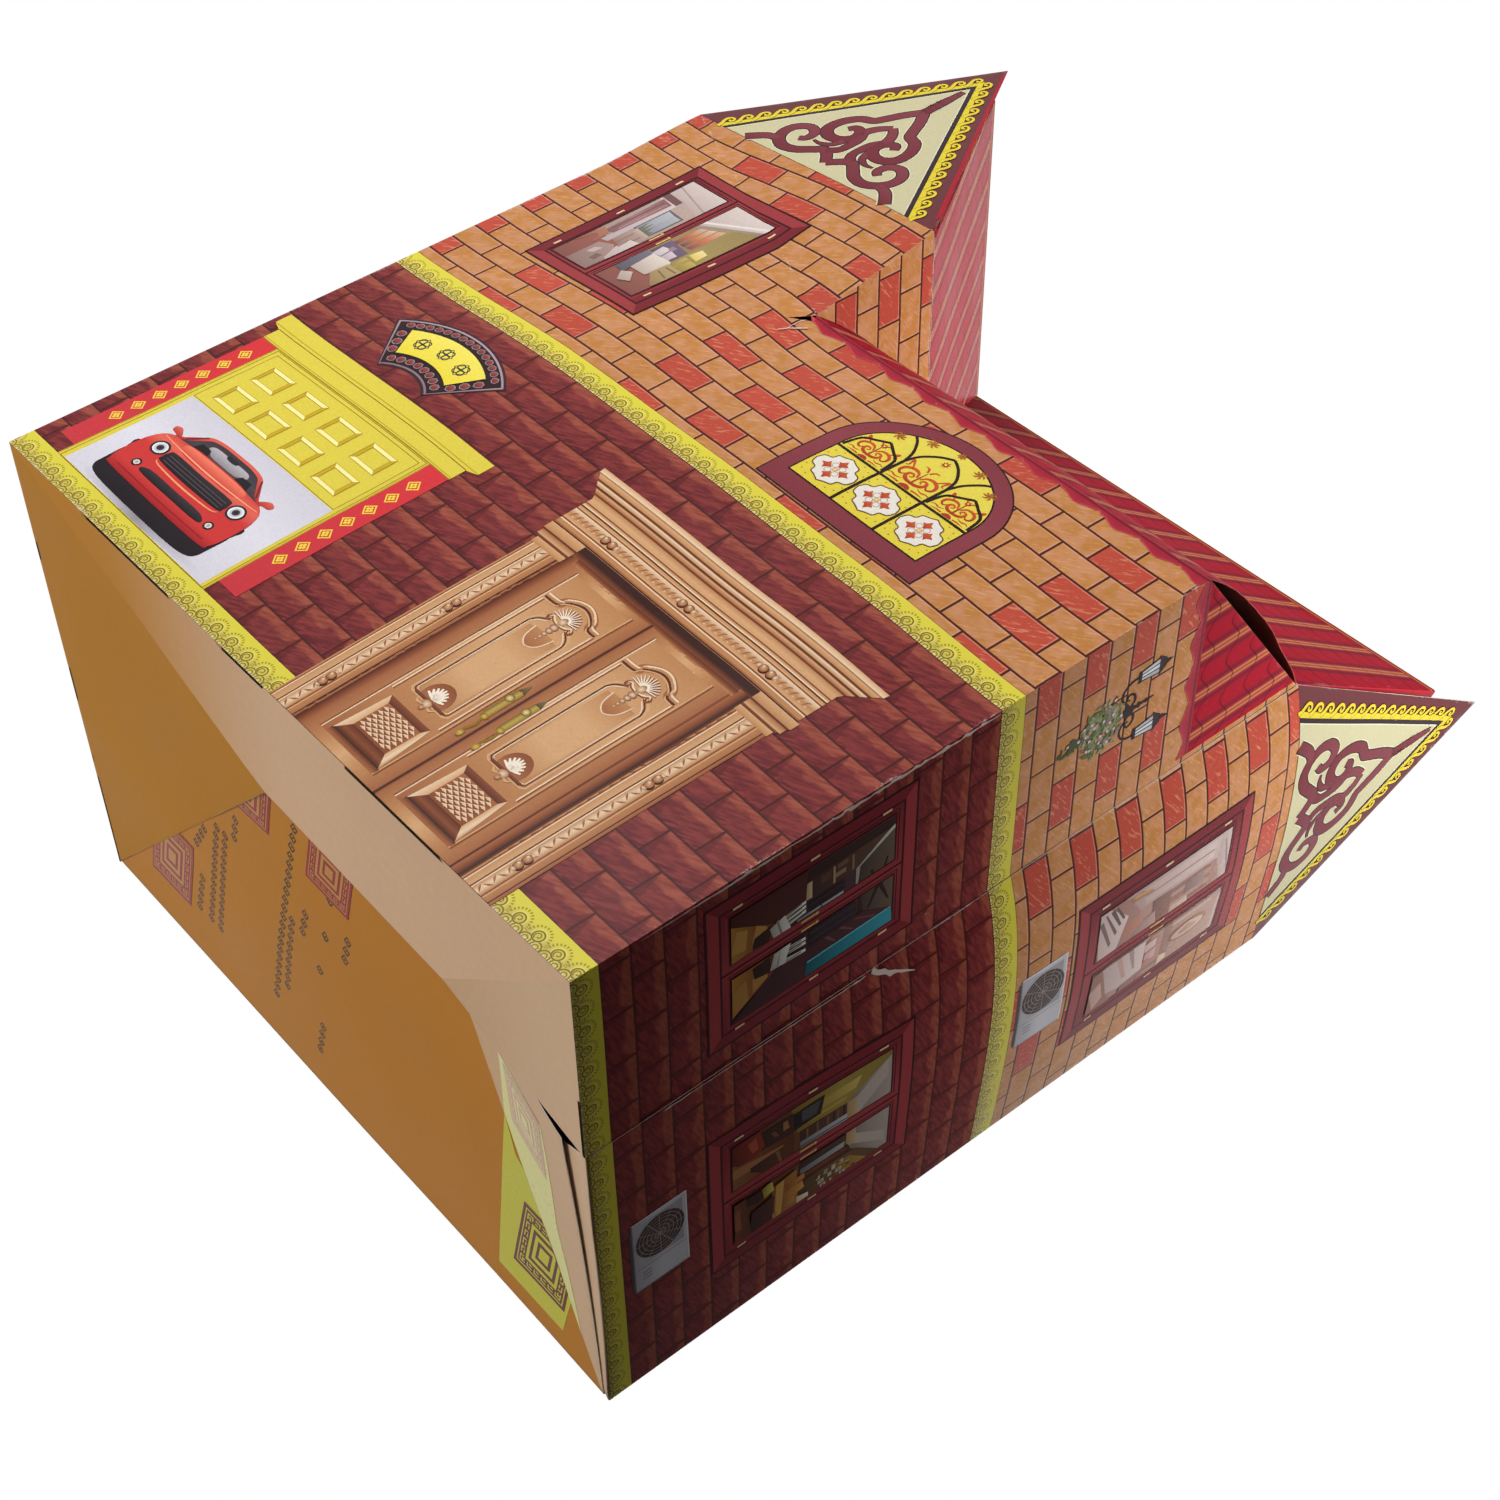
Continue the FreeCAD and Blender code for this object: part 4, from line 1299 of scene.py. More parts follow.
@dataclass(frozen=True)
class CarvedDoor(Picture):
    """Double door of carved wood under a heavy cornice, shaded as if lit from the left."""

    pale: str = "#e8cdac"
    light: str = "#d2a376"
    wood: str = "#b98355"
    mid: str = "#a06340"
    brown: str = "#86492c"
    dark: str = "#582a1b"
    deep: str = "#371913"
    fit: float = 0.97

    def draw(self, on: Print) -> None:
        """Draws cornice, pilasters, leaves and handles; see Picture.draw."""
        self.cornice(on)
        self.pilasters(on)
        on.bar((218, 0), (325, 141), self.dark, self.brown, level=1)
        on.bar((217, 134), (325.5, 141), self.brown, self.deep, self.deep, level=2)
        on.bar((217, 0), (223.5, 134), self.deep, self.dark, self.brown, self.mid, along="u", level=2)
        on.bar((318.5, 0), (325.5, 136), self.mid, self.brown, self.deep, self.brown, along="u", level=2)
        on.bar((223, 131), (319, 134.5), self.wood, self.brown, self.dark, level=3)
        for left in (223.5, 271.3):
            self.leaf(on, left)
        on.bar((269.6, 0), (271.6, 133), self.mid, self.deep, self.dark, self.mid, along="u", level=4)
        for x in (266.3, 276.3):
            self.handle(on, x)
        bmesh.ops.transform(on.mesh, matrix=Matrix.Diagonal((1, self.fit, 1, 1)), verts=on.mesh.verts)

    def cornice(self, on: Print) -> None:
        """The stepped cornice, its fluting and the carved strip below."""
        lines = [(177.4, 0.0, self.light, self.pale), (174.6, 0.4, self.brown, self.light),
                 (173.6, 1.6, self.light, self.wood), (171.4, 3.4, self.dark, self.brown),
                 (170.2, 4.4, self.pale, self.wood), (168.0, 6.4, self.deep, self.brown),
                 (166.8, 7.6, self.light, self.mid), (164.6, 9.6, self.dark, self.brown),
                 (163.6, 10.4, self.wood, self.light), (161.0, 11.8, self.wood, self.mid)]
        for (top, inset, high, low), (base, after, _, _) in zip(lines, lines[1:]):
            on.shape([(186 + inset, top), (355.5 - inset, top), (355.5 - after, base), (186 + after, base)],
                     low, high, level=2)
        on.bar((197.6, 141), (344, 161), self.wood, self.wood, self.light, level=2)
        for z, tone in ((158.4, self.brown), (156.8, self.pale), (156.0, self.dark), (154.4, self.light),
                        (153.6, self.brown), (146.0, self.brown), (145.2, self.pale), (142.4, self.mid),
                        (141.6, self.deep)):
            on.bar((197.6, z - 0.4), (344, z + 0.3), tone, level=3)
        on.bar((197.6, 146.4), (344, 153.2), self.light, self.wood, self.pale, level=3)
        for number in range(42):
            x = 200.4 + number * 3.4
            on.stroke(curve([(x - 1.1, 148), (x - 0.2, 150.6), (x + 1.1, 151.4)], 3), (0.2, 0.9, 0.3),
                      self.mid, level=4)
            on.disc((x + 0.6, 148.6), (0.5, 0.7), self.pale, self.wood, level=4, parts=7)
        for x in (223.0, 270.4, 318.0):
            self.bosses(on, (x, 149.8), upright=False)

    def bosses(self, on: Print, centre: Point, upright: bool) -> None:
        """A pair of beads held by small leaves, as used along the carved strips."""
        x, z = centre
        for step in (-2.1, 2.1):
            spot = (x, z + step) if upright else (x + step, z)
            on.disc((spot[0] + 0.4, spot[1] - 0.5), (2.2, 2.4), self.deep, level=5, parts=14)
            on.disc(spot, (1.9, 2.2), self.light, self.mid, self.brown, level=6, parts=14)
            on.disc((spot[0] - 0.6, spot[1] + 0.7), (0.7, 0.8), self.pale, self.light, level=7, parts=9)
        for step in (-4.6, 4.6):
            spot = (x, z + step) if upright else (x + step, z)
            on.disc(spot, (1.5, 0.8) if upright else (0.8, 1.8), self.pale, self.mid, level=6, parts=10)

    def pilasters(self, on: Print) -> None:
        """Both pilasters with capitals, grooves and a carved strip."""
        for left in (201.0, 324.5):
            right = left + 17.5
            on.bar((left, 0), (right, 129), self.wood, self.light, self.wood, self.mid, along="u", level=2)
            for part, tone in ((0.8, self.brown), (1.5, self.pale), (5.2, self.dark), (5.9, self.pale),
                               (11.6, self.brown), (12.4, self.light), (15.6, self.dark), (16.6, self.mid)):
                on.bar((left + part, 0), (left + part + 0.55, 128), tone, level=3)
            on.bar((left + 6.4, 0), (left + 11.4, 128), self.wood, self.pale, self.wood, along="u", level=3)
            for number in range(38):
                z = 2.0 + number * 3.35
                bend = 1.0 if number % 2 else -1.0
                on.stroke(curve([(left + 8.9 - bend, z - 1.2), (left + 8.9 + 0.5 * bend, z),
                                 (left + 8.9 + 1.6 * bend, z + 1.3)], 3), (0.2, 1.0, 0.2), self.mid, level=4)
                on.disc((left + 8.9 - 0.6 * bend, z + 0.9), (0.7, 0.5), self.pale, self.light, level=4,
                        parts=7)
            for z in (21.0, 81.0):
                self.bosses(on, (left + 9.0, z), upright=True)
            for z0, z1, wide, low, high in (
                    (127.6, 131.0, 0.4, self.wood, self.light), (131.0, 132.4, 1.4, self.dark, self.brown),
                    (132.4, 135.6, 2.6, self.light, self.mid), (135.6, 136.6, 3.2, self.deep, self.brown),
                    (136.6, 141.2, 3.6, self.wood, self.light)):
                outer = (left - wide, right + 0.3) if left < 270 else (left - 0.3, right + wide)
                on.bar((outer[0], z0), (outer[1], z1), low, high, level=4)

    def leaf(self, on: Print, left: float) -> None:
        """One door leaf, from its left edge.

        Args:
            on: The print to draw on.
            left: Where its left edge stands.
        """
        right, middle = left + 46.2, left + 23.4
        on.bar((left, 0), (right, 132), self.mid, self.wood, self.light, self.wood, self.mid, along="u",
               level=3)
        in_left, in_right = left + 5.6, right - 7.4
        on.bar((in_left, 5), (in_right, 128), self.mid, self.wood, self.light, self.wood, along="v", level=4)
        for x, tone in ((in_left - 0.7, self.brown), (in_left, self.pale), (in_right, self.light),
                        (in_right + 0.8, self.brown)):
            on.bar((x, 5), (x + 0.6, 129), tone, level=5)
        arch = curve([(in_left + 1.2, 112.4), (middle - 9.5, 112.8), (middle - 8.2, 115.6),
                      (middle - 4, 118.6), (middle, 119.6), (middle + 4, 118.6), (middle + 8.2, 115.6),
                      (middle + 9.5, 112.8), (in_right - 1.2, 112.4)], 4)
        for rise, wide, tone in ((0.0, 4.4, self.mid), (1.3, 1.0, self.pale), (0.3, 1.2, self.wood),
                                 (-0.9, 1.0, self.dark), (-1.9, 0.7, self.light)):
            on.stroke([(x, z + rise) for x, z in arch], wide, tone, level=6 if wide < 2 else 5)
        for x in (in_left + 1.4, in_right - 2.0):
            on.bar((x, 37), (x + 0.7, 111.5), self.pale, level=5)
            on.bar((x + 0.7, 37), (x + 1.4, 111), self.brown, level=5)
        self.panel(on, (middle - 11.2, 42), (middle + 11.2, 105.5))
        self.crest(on, (middle, 106.5))
        self.shell(on, (middle, 44.5))
        self.lattice(on, middle)

    def panel(self, on: Print, low: Point, high: Point) -> None:
        """The long raised panel with cut-in upper corners."""
        (x0, z0), (x1, z1) = low, high
        middle = (x0 + x1) / 2
        for inset, wide, tone in ((0.0, 1.1, self.light), (0.9, 0.7, self.dark), (1.6, 0.5, self.pale)):
            line = curve([(middle - 4.5, z1 + 1.5 - inset), (x0 + 4.5 + inset, z1 - 0.5 - inset),
                          (x0 + 1.6 + inset, z1 - 3.0 - inset), (x0 + inset, z1 - 7)], 4)
            line += [(x0 + inset, z0 + 1 + inset), (x0 + 1.5 + inset, z0 + inset), (middle, z0 + inset)]
            on.flip = middle
            on.stroke(line, wide, tone, level=6 if inset else 5)
            on.flip = None
        on.bar((x0 + 3, z0 + 2.4), (x1 - 3, z1 - 8), self.wood, self.light, self.light, self.wood, level=5)
        on.bar((x1 - 1.1, z0 + 2), (x1 - 0.5, z1 - 8), self.brown, level=7)

    def crest(self, on: Print, centre: Point) -> None:
        """Rayed crest over two scrolls and a hanging leaf."""
        x, z = centre
        on.shape([(x - 5.6, z - 8), *curve([(x - 5.4, z - 9), (x - 4, z - 15), (x, z - 18), (x + 4, z - 15),
                  (x + 5.4, z - 9)], 4), (x + 5.6, z - 8)], self.mid, self.wood, level=7)
        on.stroke(curve([(x - 5.6, z - 8), (x - 4.2, z - 14.8), (x, z - 18), (x + 4.2, z - 14.8),
                         (x + 5.6, z - 8)], 4), 0.6, self.pale, level=8)
        for number in range(13):
            root, tip = (ring((x, z + 1.5), reach, 6 + number * 14) for reach in (1.2, (6.9, 7.2)))
            on.stroke([root, tip], (0.8, 1.8, 0.6), self.brown, level=7)
            on.stroke([(root[0] - 0.2, root[1] + 0.2), (tip[0] - 0.3, tip[1] + 0.1)], (0.6, 1.2, 0.3),
                      "#f4e6d2", level=8)
        on.disc((x, z + 0.8), (1.7, 2.6), self.pale, self.light, self.brown, level=9, parts=14)
        on.flip = x
        on.stroke(curve([(x, z - 2), (x + 3.2, z - 1.0), (x + 5.4, z + 0.6), (x + 6.8, z - 0.8),
                         (x + 5.8, z - 2.6), (x + 4.4, z - 1.8)], 4), (0.6, 1.6, 1.4, 1.0, 0.5), self.brown,
                  level=8)
        on.stroke(curve([(x, z - 1.6), (x + 3.1, z - 0.7), (x + 5.2, z + 0.8), (x + 6.4, z - 0.6)], 4),
                  (0.4, 0.9, 0.8, 0.3), self.pale, level=9)
        on.flip = None
        for drop, size in ((-3.6, 2.1), (-6.0, 1.7), (-8.4, 1.3), (-10.6, 1.0), (-12.6, 0.7)):
            on.disc((x, z + drop), (size, size * 0.85), self.pale, self.wood, self.brown, level=9, parts=10)

    def shell(self, on: Print, centre: Point) -> None:
        """Scallop shell over a small knot."""
        x, z = centre
        on.shape([(x - 6.6, z - 1), *arc((x, z + 1.5), (7.0, 8.4), 175, 5, 12), (x + 6.6, z - 1)], self.mid,
                 self.brown, level=7)
        for number in range(9):
            tip = ring(centre, (5.0, 6.9), 14 + number * 19)
            on.stroke([(x, z - 0.4), ((x + tip[0]) / 2, (z + tip[1]) / 2), tip], (0.5, 1.3, 1.8, 1.1),
                      self.brown, level=8)
            on.stroke([(x, z - 0.2), ((x + tip[0]) / 2 - 0.1, (z + tip[1]) / 2 + 0.1),
                       (tip[0] - 0.2, tip[1])], (0.5, 1.2, 1.6, 0.8), "#f4e6d2", level=9)
        on.bar((x - 8.6, z - 2.4), (x + 8.6, z - 0.8), self.dark, self.brown, level=8)
        on.disc((x, z - 3.0), (2.6, 2.0), self.pale, self.mid, level=9, parts=12)
        on.disc((x, z - 5.4), (1.4, 1.6), self.light, self.brown, level=9, parts=10)
        on.flip = x
        on.stroke(curve([(x + 1, z - 3.6), (x + 3.6, z - 4.6), (x + 5.4, z - 3.0)], 4), (0.9, 1.1, 0.2),
                  self.light, level=9)
        on.flip = None

    def lattice(self, on: Print, middle: float) -> None:
        """Sunk block of small pyramids in a deep frame."""
        x0, x1 = middle - 13.6, middle + 15.2
        on.shape([(x0 + 1, 34.5), (x1 - 3, 34.5), (x1 - 4.6, 31), (x0 + 3.6, 31)], self.dark, self.brown,
                 level=6)
        on.shape([(x0 + 1, 34.5), (x0 + 3.6, 31), (x0 + 3.6, 14.5), (x0 - 0.6, 8)], self.pale, self.light,
                 along="u", level=6)
        on.shape([(x1 - 3, 34.5), (x1 - 4.6, 31), (x1 - 4.6, 14.5), (x1, 8)], self.light, self.pale,
                 self.wood, along="u", level=6)
        on.shape([(x0 - 0.6, 8), (x1, 8), (x1 - 4.6, 14.5), (x0 + 3.6, 14.5)], self.deep, self.brown,
                 self.dark, level=6)
        on.bar((x0 - 1, 5.6), (x1 + 0.6, 8.2), self.mid, self.dark, level=6)
        left, right, base, top = x0 + 3.6, x1 - 4.6, 14.5, 31.0
        on.bar((left, base), (right, top), self.brown, self.mid, level=6)
        wide, high = (right - left) / 5, (top - base) / 6
        for row in range(12):
            for column in range(6):
                cx = left + (column + (0.5 if row % 2 else 0.0)) * wide
                cz = base + (row + 0.5) * high / 2 + high * 0.25
                if not (left - 0.1 <= cx - wide * 0.5 and cx + wide * 0.5 <= right + 0.1
                        and base - 0.2 <= cz - high * 0.5 and cz + high * 0.5 <= top + 0.2):
                    continue
                on.shape([(cx - wide * 0.46, cz), (cx, cz + high * 0.46), (cx + wide * 0.46, cz)], self.pale,
                         level=7)
                on.shape([(cx - wide * 0.46, cz), (cx, cz - high * 0.46), (cx + wide * 0.46, cz)], self.brown,
                         level=7)
                on.disc((cx, cz + 0.1), (wide * 0.16, high * 0.16), self.pale, self.light, level=8, parts=6)

    def handle(self, on: Print, x: float) -> None:
        """Long brass plate with finials, a knob and a drop loop."""
        on.shape([(x - 1.8, 72), (x, 77.4), (x + 1.8, 72)], "#4f4030", "#8a7440", level=8)
        on.bar((x - 1.9, 55), (x + 1.9, 72.4), "#6c5620", "#bb9f4c", "#8c7030", along="u", level=8)
        on.disc((x - 0.6, 67), (2.1, 2.1), "#f2d987", "#b98d2a", "#5e410f", level=9, parts=14)
        on.disc((x + 0.4, 54), (2.0, 1.6), "#d9b54c", "#6b4a12", level=9, parts=12)
        on.stroke(curve([(x + 0.4, 53), (x + 1.5, 49), (x + 0.3, 45), (x + 0.9, 42.6)], 4), (1.1, 1.3, 0.9),
                  "#8c6a1c", level=9)
        on.disc((x + 0.9, 42.2), (1.3, 2.3), "#d8b653", "#70500f", level=10, parts=12)


@dataclass(frozen=True)
class Garage(Picture):
    """Half-open yellow garage with a red car, between two red strips of lucky lozenges."""

    yellow: str = "#dcca4a"
    bright: str = "#f6ecA0"
    shade: str = "#c4a529"
    line: str = "#94761c"
    red: str = "#c43a42"

    def draw(self, on: Print) -> None:
        """Draws lintel, frame, panelled door, car and strips; see Picture.draw."""
        on.shape([(3, 140.4), (156.7, 140.4), (156.7, 132), (151, 130), (9, 130), (3, 132)], self.yellow,
                 level=1)
        on.bar((9, 122), (151, 131), self.yellow, level=2)
        for z, tone in ((132.2, self.shade), (130.2, self.line), (122.8, self.shade), (121.6, self.line)):
            on.bar((3 if z > 131 else 9, z - 0.25), (156.7 if z > 131 else 151, z + 0.25), tone, level=3)
        on.bar((20.8, 12), (137.8, 122), self.yellow, level=1)
        on.bar((25.6, 12.6), (134.4, 75.6), "#d3cfda", "#dedbe4", "#cfcbd6", level=2)
        on.bar((24.6, 75.4), (135.4, 120), self.yellow, level=2)
        on.frame((22.6, 12), (136.6, 121), 0.35, self.line, level=3)
        on.frame((25.4, 76), (134.2, 118.8), 0.35, self.line, level=3)
        for x in (21, 137.2):
            on.bar((x, 12), (x + 0.4, 122), self.shade, level=3)
        for column in range(4):
            for row in range(2):
                low = (32.8 + column * 25.7, 99.8 - row * 19.0)
                self.raised(on, low, (low[0] + 17.2, low[1] + 13.2))
        self.car(on)
        for x0, x1, base in ((9, 20.8, 20), (137.9, 150.7, 19)):
            on.bar((x0, base), (x1, 122), self.red, "#d4363c", level=2)
            for number in range(7):
                self.lozenge(on, ((x0 + x1) / 2, 108.6 - number * 10.8))

    def raised(self, on: Print, low: Point, high: Point) -> None:
        """One raised panel of the garage door."""
        on.frame(low, high, 2.2, self.bright, self.shade, self.bright, self.shade, level=4)
        on.frame(low, high, 0.3, self.shade, self.line, self.shade, self.line, level=5)
        inner = (low[0] + 2.2, low[1] + 2.2), (high[0] - 2.2, high[1] - 2.2)
        on.frame(*inner, 0.25, self.line, self.shade, self.shade, self.line, level=5)

    def lozenge(self, on: Print, centre: Point) -> None:
        """A golden flower lozenge."""
        x, z = centre
        gold = "#f3cf4a"
        for wide, high in ((3.5, 3.9), (2.5, 2.9)):
            on.shape([(x - wide, z), (x, z - high), (x + wide, z), (x, z + high)], gold if wide > 3
                     else self.red, level=4 if wide > 3 else 5)
        for dx, dz in ((0.95, 0), (-0.95, 0), (0, 1.15), (0, -1.15)):
            on.disc((x + dx, z + dz), (0.75, 0.85), gold, level=6, parts=8)

    def car(self, on: Print) -> None:
        """A plain red car seen from the front, with round lamps beside a wide dark mouth."""
        middle, black, glass = 78.0, "#1d171b", "#4a4347"
        body, lit, dim = "#c93a38", "#de6656", "#9a2228"

        def whole(points: Sequence[Point], *inks: str, level: int) -> None:
            """Draws the right half's outline together with its mirror image."""
            line = curve([(middle + x, z) for x, z in points], 4)
            on.shape([*line, *((2 * middle - x, z) for x, z in reversed(line[1:-1]))], *inks, level=level)

        on.disc((middle + 3, 15.6), (47, 3.0), "#8f8a92", "#c3bfc9", "#d5d1db", level=3, parts=28)
        whole([(0, 15.6), (24, 15.8), (36, 17), (40.4, 20), (41.2, 27), (41.4, 36), (39, 44), (0, 46)], black,
              "#2e272b", level=4)
        on.flip = middle
        on.shape(curve([(middle - 31, 54.6), (middle - 34, 56), (middle - 37.6, 56.6), (middle - 38.4, 59),
                        (middle - 35.4, 60.2), (middle - 32.4, 58.6), (middle - 30, 56), (middle - 31, 54.6)],
                       3)[:-1], dim, lit, level=5)
        on.flip = None
        whole([(0, 67.6), (11, 67.4), (19, 66), (23, 63), (29, 57.6), (32, 54), (0, 50)], dim, body, lit,
              level=5)
        whole([(0, 66), (10, 65.8), (17, 64.6), (20.6, 62), (26, 57.4), (28, 55), (0, 52)], "#2c262a", glass,
              "#3a3337", level=6)
        whole([(0, 63.4), (12, 63.2), (14.8, 61), (12, 59.8), (9, 58.2), (0, 58)], "#8d878c", "#b9b4ba",
              level=7)
        whole([(0, 64.4), (4, 64.2), (3.4, 62.4), (0, 62)], "#2c262a", level=8)
        for side in (-1, 1):
            on.shape([(middle + side * x, z) for x, z in ((10, 56), (21, 56), (19, 60.6), (12.4, 60.4))],
                     "#221c20", level=8)
            on.stroke([(middle + side * 20.6, 64.6), (middle + side * 27.8, 57)], 0.9, "#6c3034", level=8)
        whole([(0, 57.2), (14, 57), (24, 55.8), (33, 55), (37, 53), (39.6, 49), (41, 43), (41, 34),
               (39.4, 27), (35, 24.4), (0, 24)], dim, body, body, body, lit, body, level=9)
        whole([(0, 56.6), (14, 56.4), (23, 55.2), (20, 50.6), (0, 50.2)], body, "#f08066", level=10)
        on.stroke(curve([(middle - 36, 52.4), (middle - 24, 51.6), (middle, 51.0), (middle + 24, 51.6),
                         (middle + 36, 52.4)], 4), (0.3, 0.8, 0.3), "#f8a882", level=11)
        whole([(0, 48.6), (21, 48.8), (24, 47), (24.4, 43.6), (22, 41.2), (0, 40.6)], black, "#322b2f",
              level=11)
        for z in (42.6, 44.4, 46.2):
            on.bar((middle - 22, z - 0.2), (middle + 22, z + 0.2), "#564d52", level=12)
        on.stroke(curve([(middle - 24, 40.8), (middle - 20, 39.2), (middle, 38.4), (middle + 20, 39.2),
                         (middle + 24, 40.8)], 4), (0.4, 1.0, 0.4), "#f09a6c", level=12)
        whole([(0, 35.4), (20, 35.2), (23, 31.4), (0, 31)], "#1d171b", "#3a3236", level=11)
        on.stroke([(middle - 34, 27.4), (middle, 27), (middle + 34, 27.4)], 0.6, dim, level=12)
        for side in (-1, 1):
            x = middle + side * 30
            on.disc((x, 46), (5.0, 4.4), "#2b2327", level=11, parts=22)
            on.disc((x, 46), (3.9, 3.4), "#3c363c", "#c9ccd4", "#f4f6fa", level=12, parts=22)
            on.disc((x, 46), (1.9, 1.7), "#16121a", "#4a454c", level=13, parts=14)
            on.disc((middle + side * 28.6, 33.6), (2.6, 2.4), "#2a2226", level=11, parts=14)
            on.disc((middle + side * 28.6, 33.6), (1.7, 1.5), "#8a8388", "#efe9e2", level=12, parts=12)


@dataclass(frozen=True)
class FanSign(Picture):
    """Fan-shaped board with a pebbled frame and three flower knots."""

    centre: Point = (79.8, 126.5)

    def sector(self, inner: float, outer: float, spread: float) -> list[Point]:
        """Outline of a fan between two radii, spread to each side in degrees."""
        return [*arc(self.centre, outer, 90 + spread, 90 - spread, 22),
                *arc(self.centre, inner, 90 - spread, 90 + spread, 16)]

    def draw(self, on: Print) -> None:
        """Draws the frame, its pebbles, the board and its knots; see Picture.draw."""
        on.shape(self.sector(25.2, 61.8, 41.0), "#3a262c", level=1)
        on.shape(self.sector(26.6, 60.6, 40.0), "#8b6f76", "#b29aa0", level=2)
        on.shape(self.sector(27.6, 59.6, 39.0), "#2b1b20", level=3)
        for radius, count, deep in ((57.0, 15, 4.2), (31.2, 8, 5.0)):
            for number in range(count):
                self.pebble(on, radius, -36 + (number + 0.5) * 72 / count, 72 / count, deep)
        for side in (-1, 1):
            for radius in (38.0, 44.0, 50.0):
                self.pebble(on, radius, side * 35.3, 300 / radius, 5.4)
        on.shape(self.sector(34.4, 54.0, 32.2), "#2a1a1e", level=6)
        on.shape(self.sector(35.4, 53.2, 31.2), "#e8d43e", "#efe064", level=7)
        for angle in (71, 90, 109):
            self.knot(on, ring(self.centre, 44.3, angle))

    def pebble(self, on: Print, radius: float, turn: float, wide: float, deep: float) -> None:
        """One rounded pebble of the frame."""
        angle = math.radians(90 - turn)
        x, z = self.centre[0] + radius * math.cos(angle), self.centre[1] + radius * math.sin(angle)
        size = radius * math.radians(wide) / 2
        drift = noise.noise(Vector((x, z, 4.0)) * 0.31)
        out = Vector((math.cos(angle), math.sin(angle))) * deep / 2
        along = Vector((math.sin(angle), -math.cos(angle))) * size
        outline = []
        for number in range(7):
            a = math.tau * (number + drift) / 7
            grow = 0.93 + 0.12 * noise.noise(Vector((x, z, number)))
            spot = Vector((x, z)) + (along * math.cos(a) + out * math.sin(a)) * grow
            outline.append((spot.x, spot.y))
        on.shape(outline, "#9c8d90", level=4)
        middle = Vector((x, z))
        on.shape([tuple(middle + (Vector(point) - middle) * 0.82) for point in outline], "#6d2c2e", "#9a4a42",
                 level=5)

    def knot(self, on: Print, spot: Point) -> None:
        """A dark knot of four loops round a lozenge."""
        x, z = spot
        for angle in (45, 135, 225, 315):
            on.stroke(arc(ring(spot, 2.2, angle), 1.75, 0, 360, 14), 0.62, "#33343c", level=8)
        on.stroke([(x - 4.3, z), (x, z + 4.3), (x + 4.3, z), (x, z - 4.3), (x - 4.3, z)], 0.55, "#33343c",
                  level=9)
        on.disc((x, z), 0.85, "#33343c", level=9, parts=10)


class Room(Enum):
    """What is seen through a window."""

    BEDROOM = "bedroom"
    DINING = "dining"
    LOUNGE = "lounge"
    KITCHEN = "kitchen"


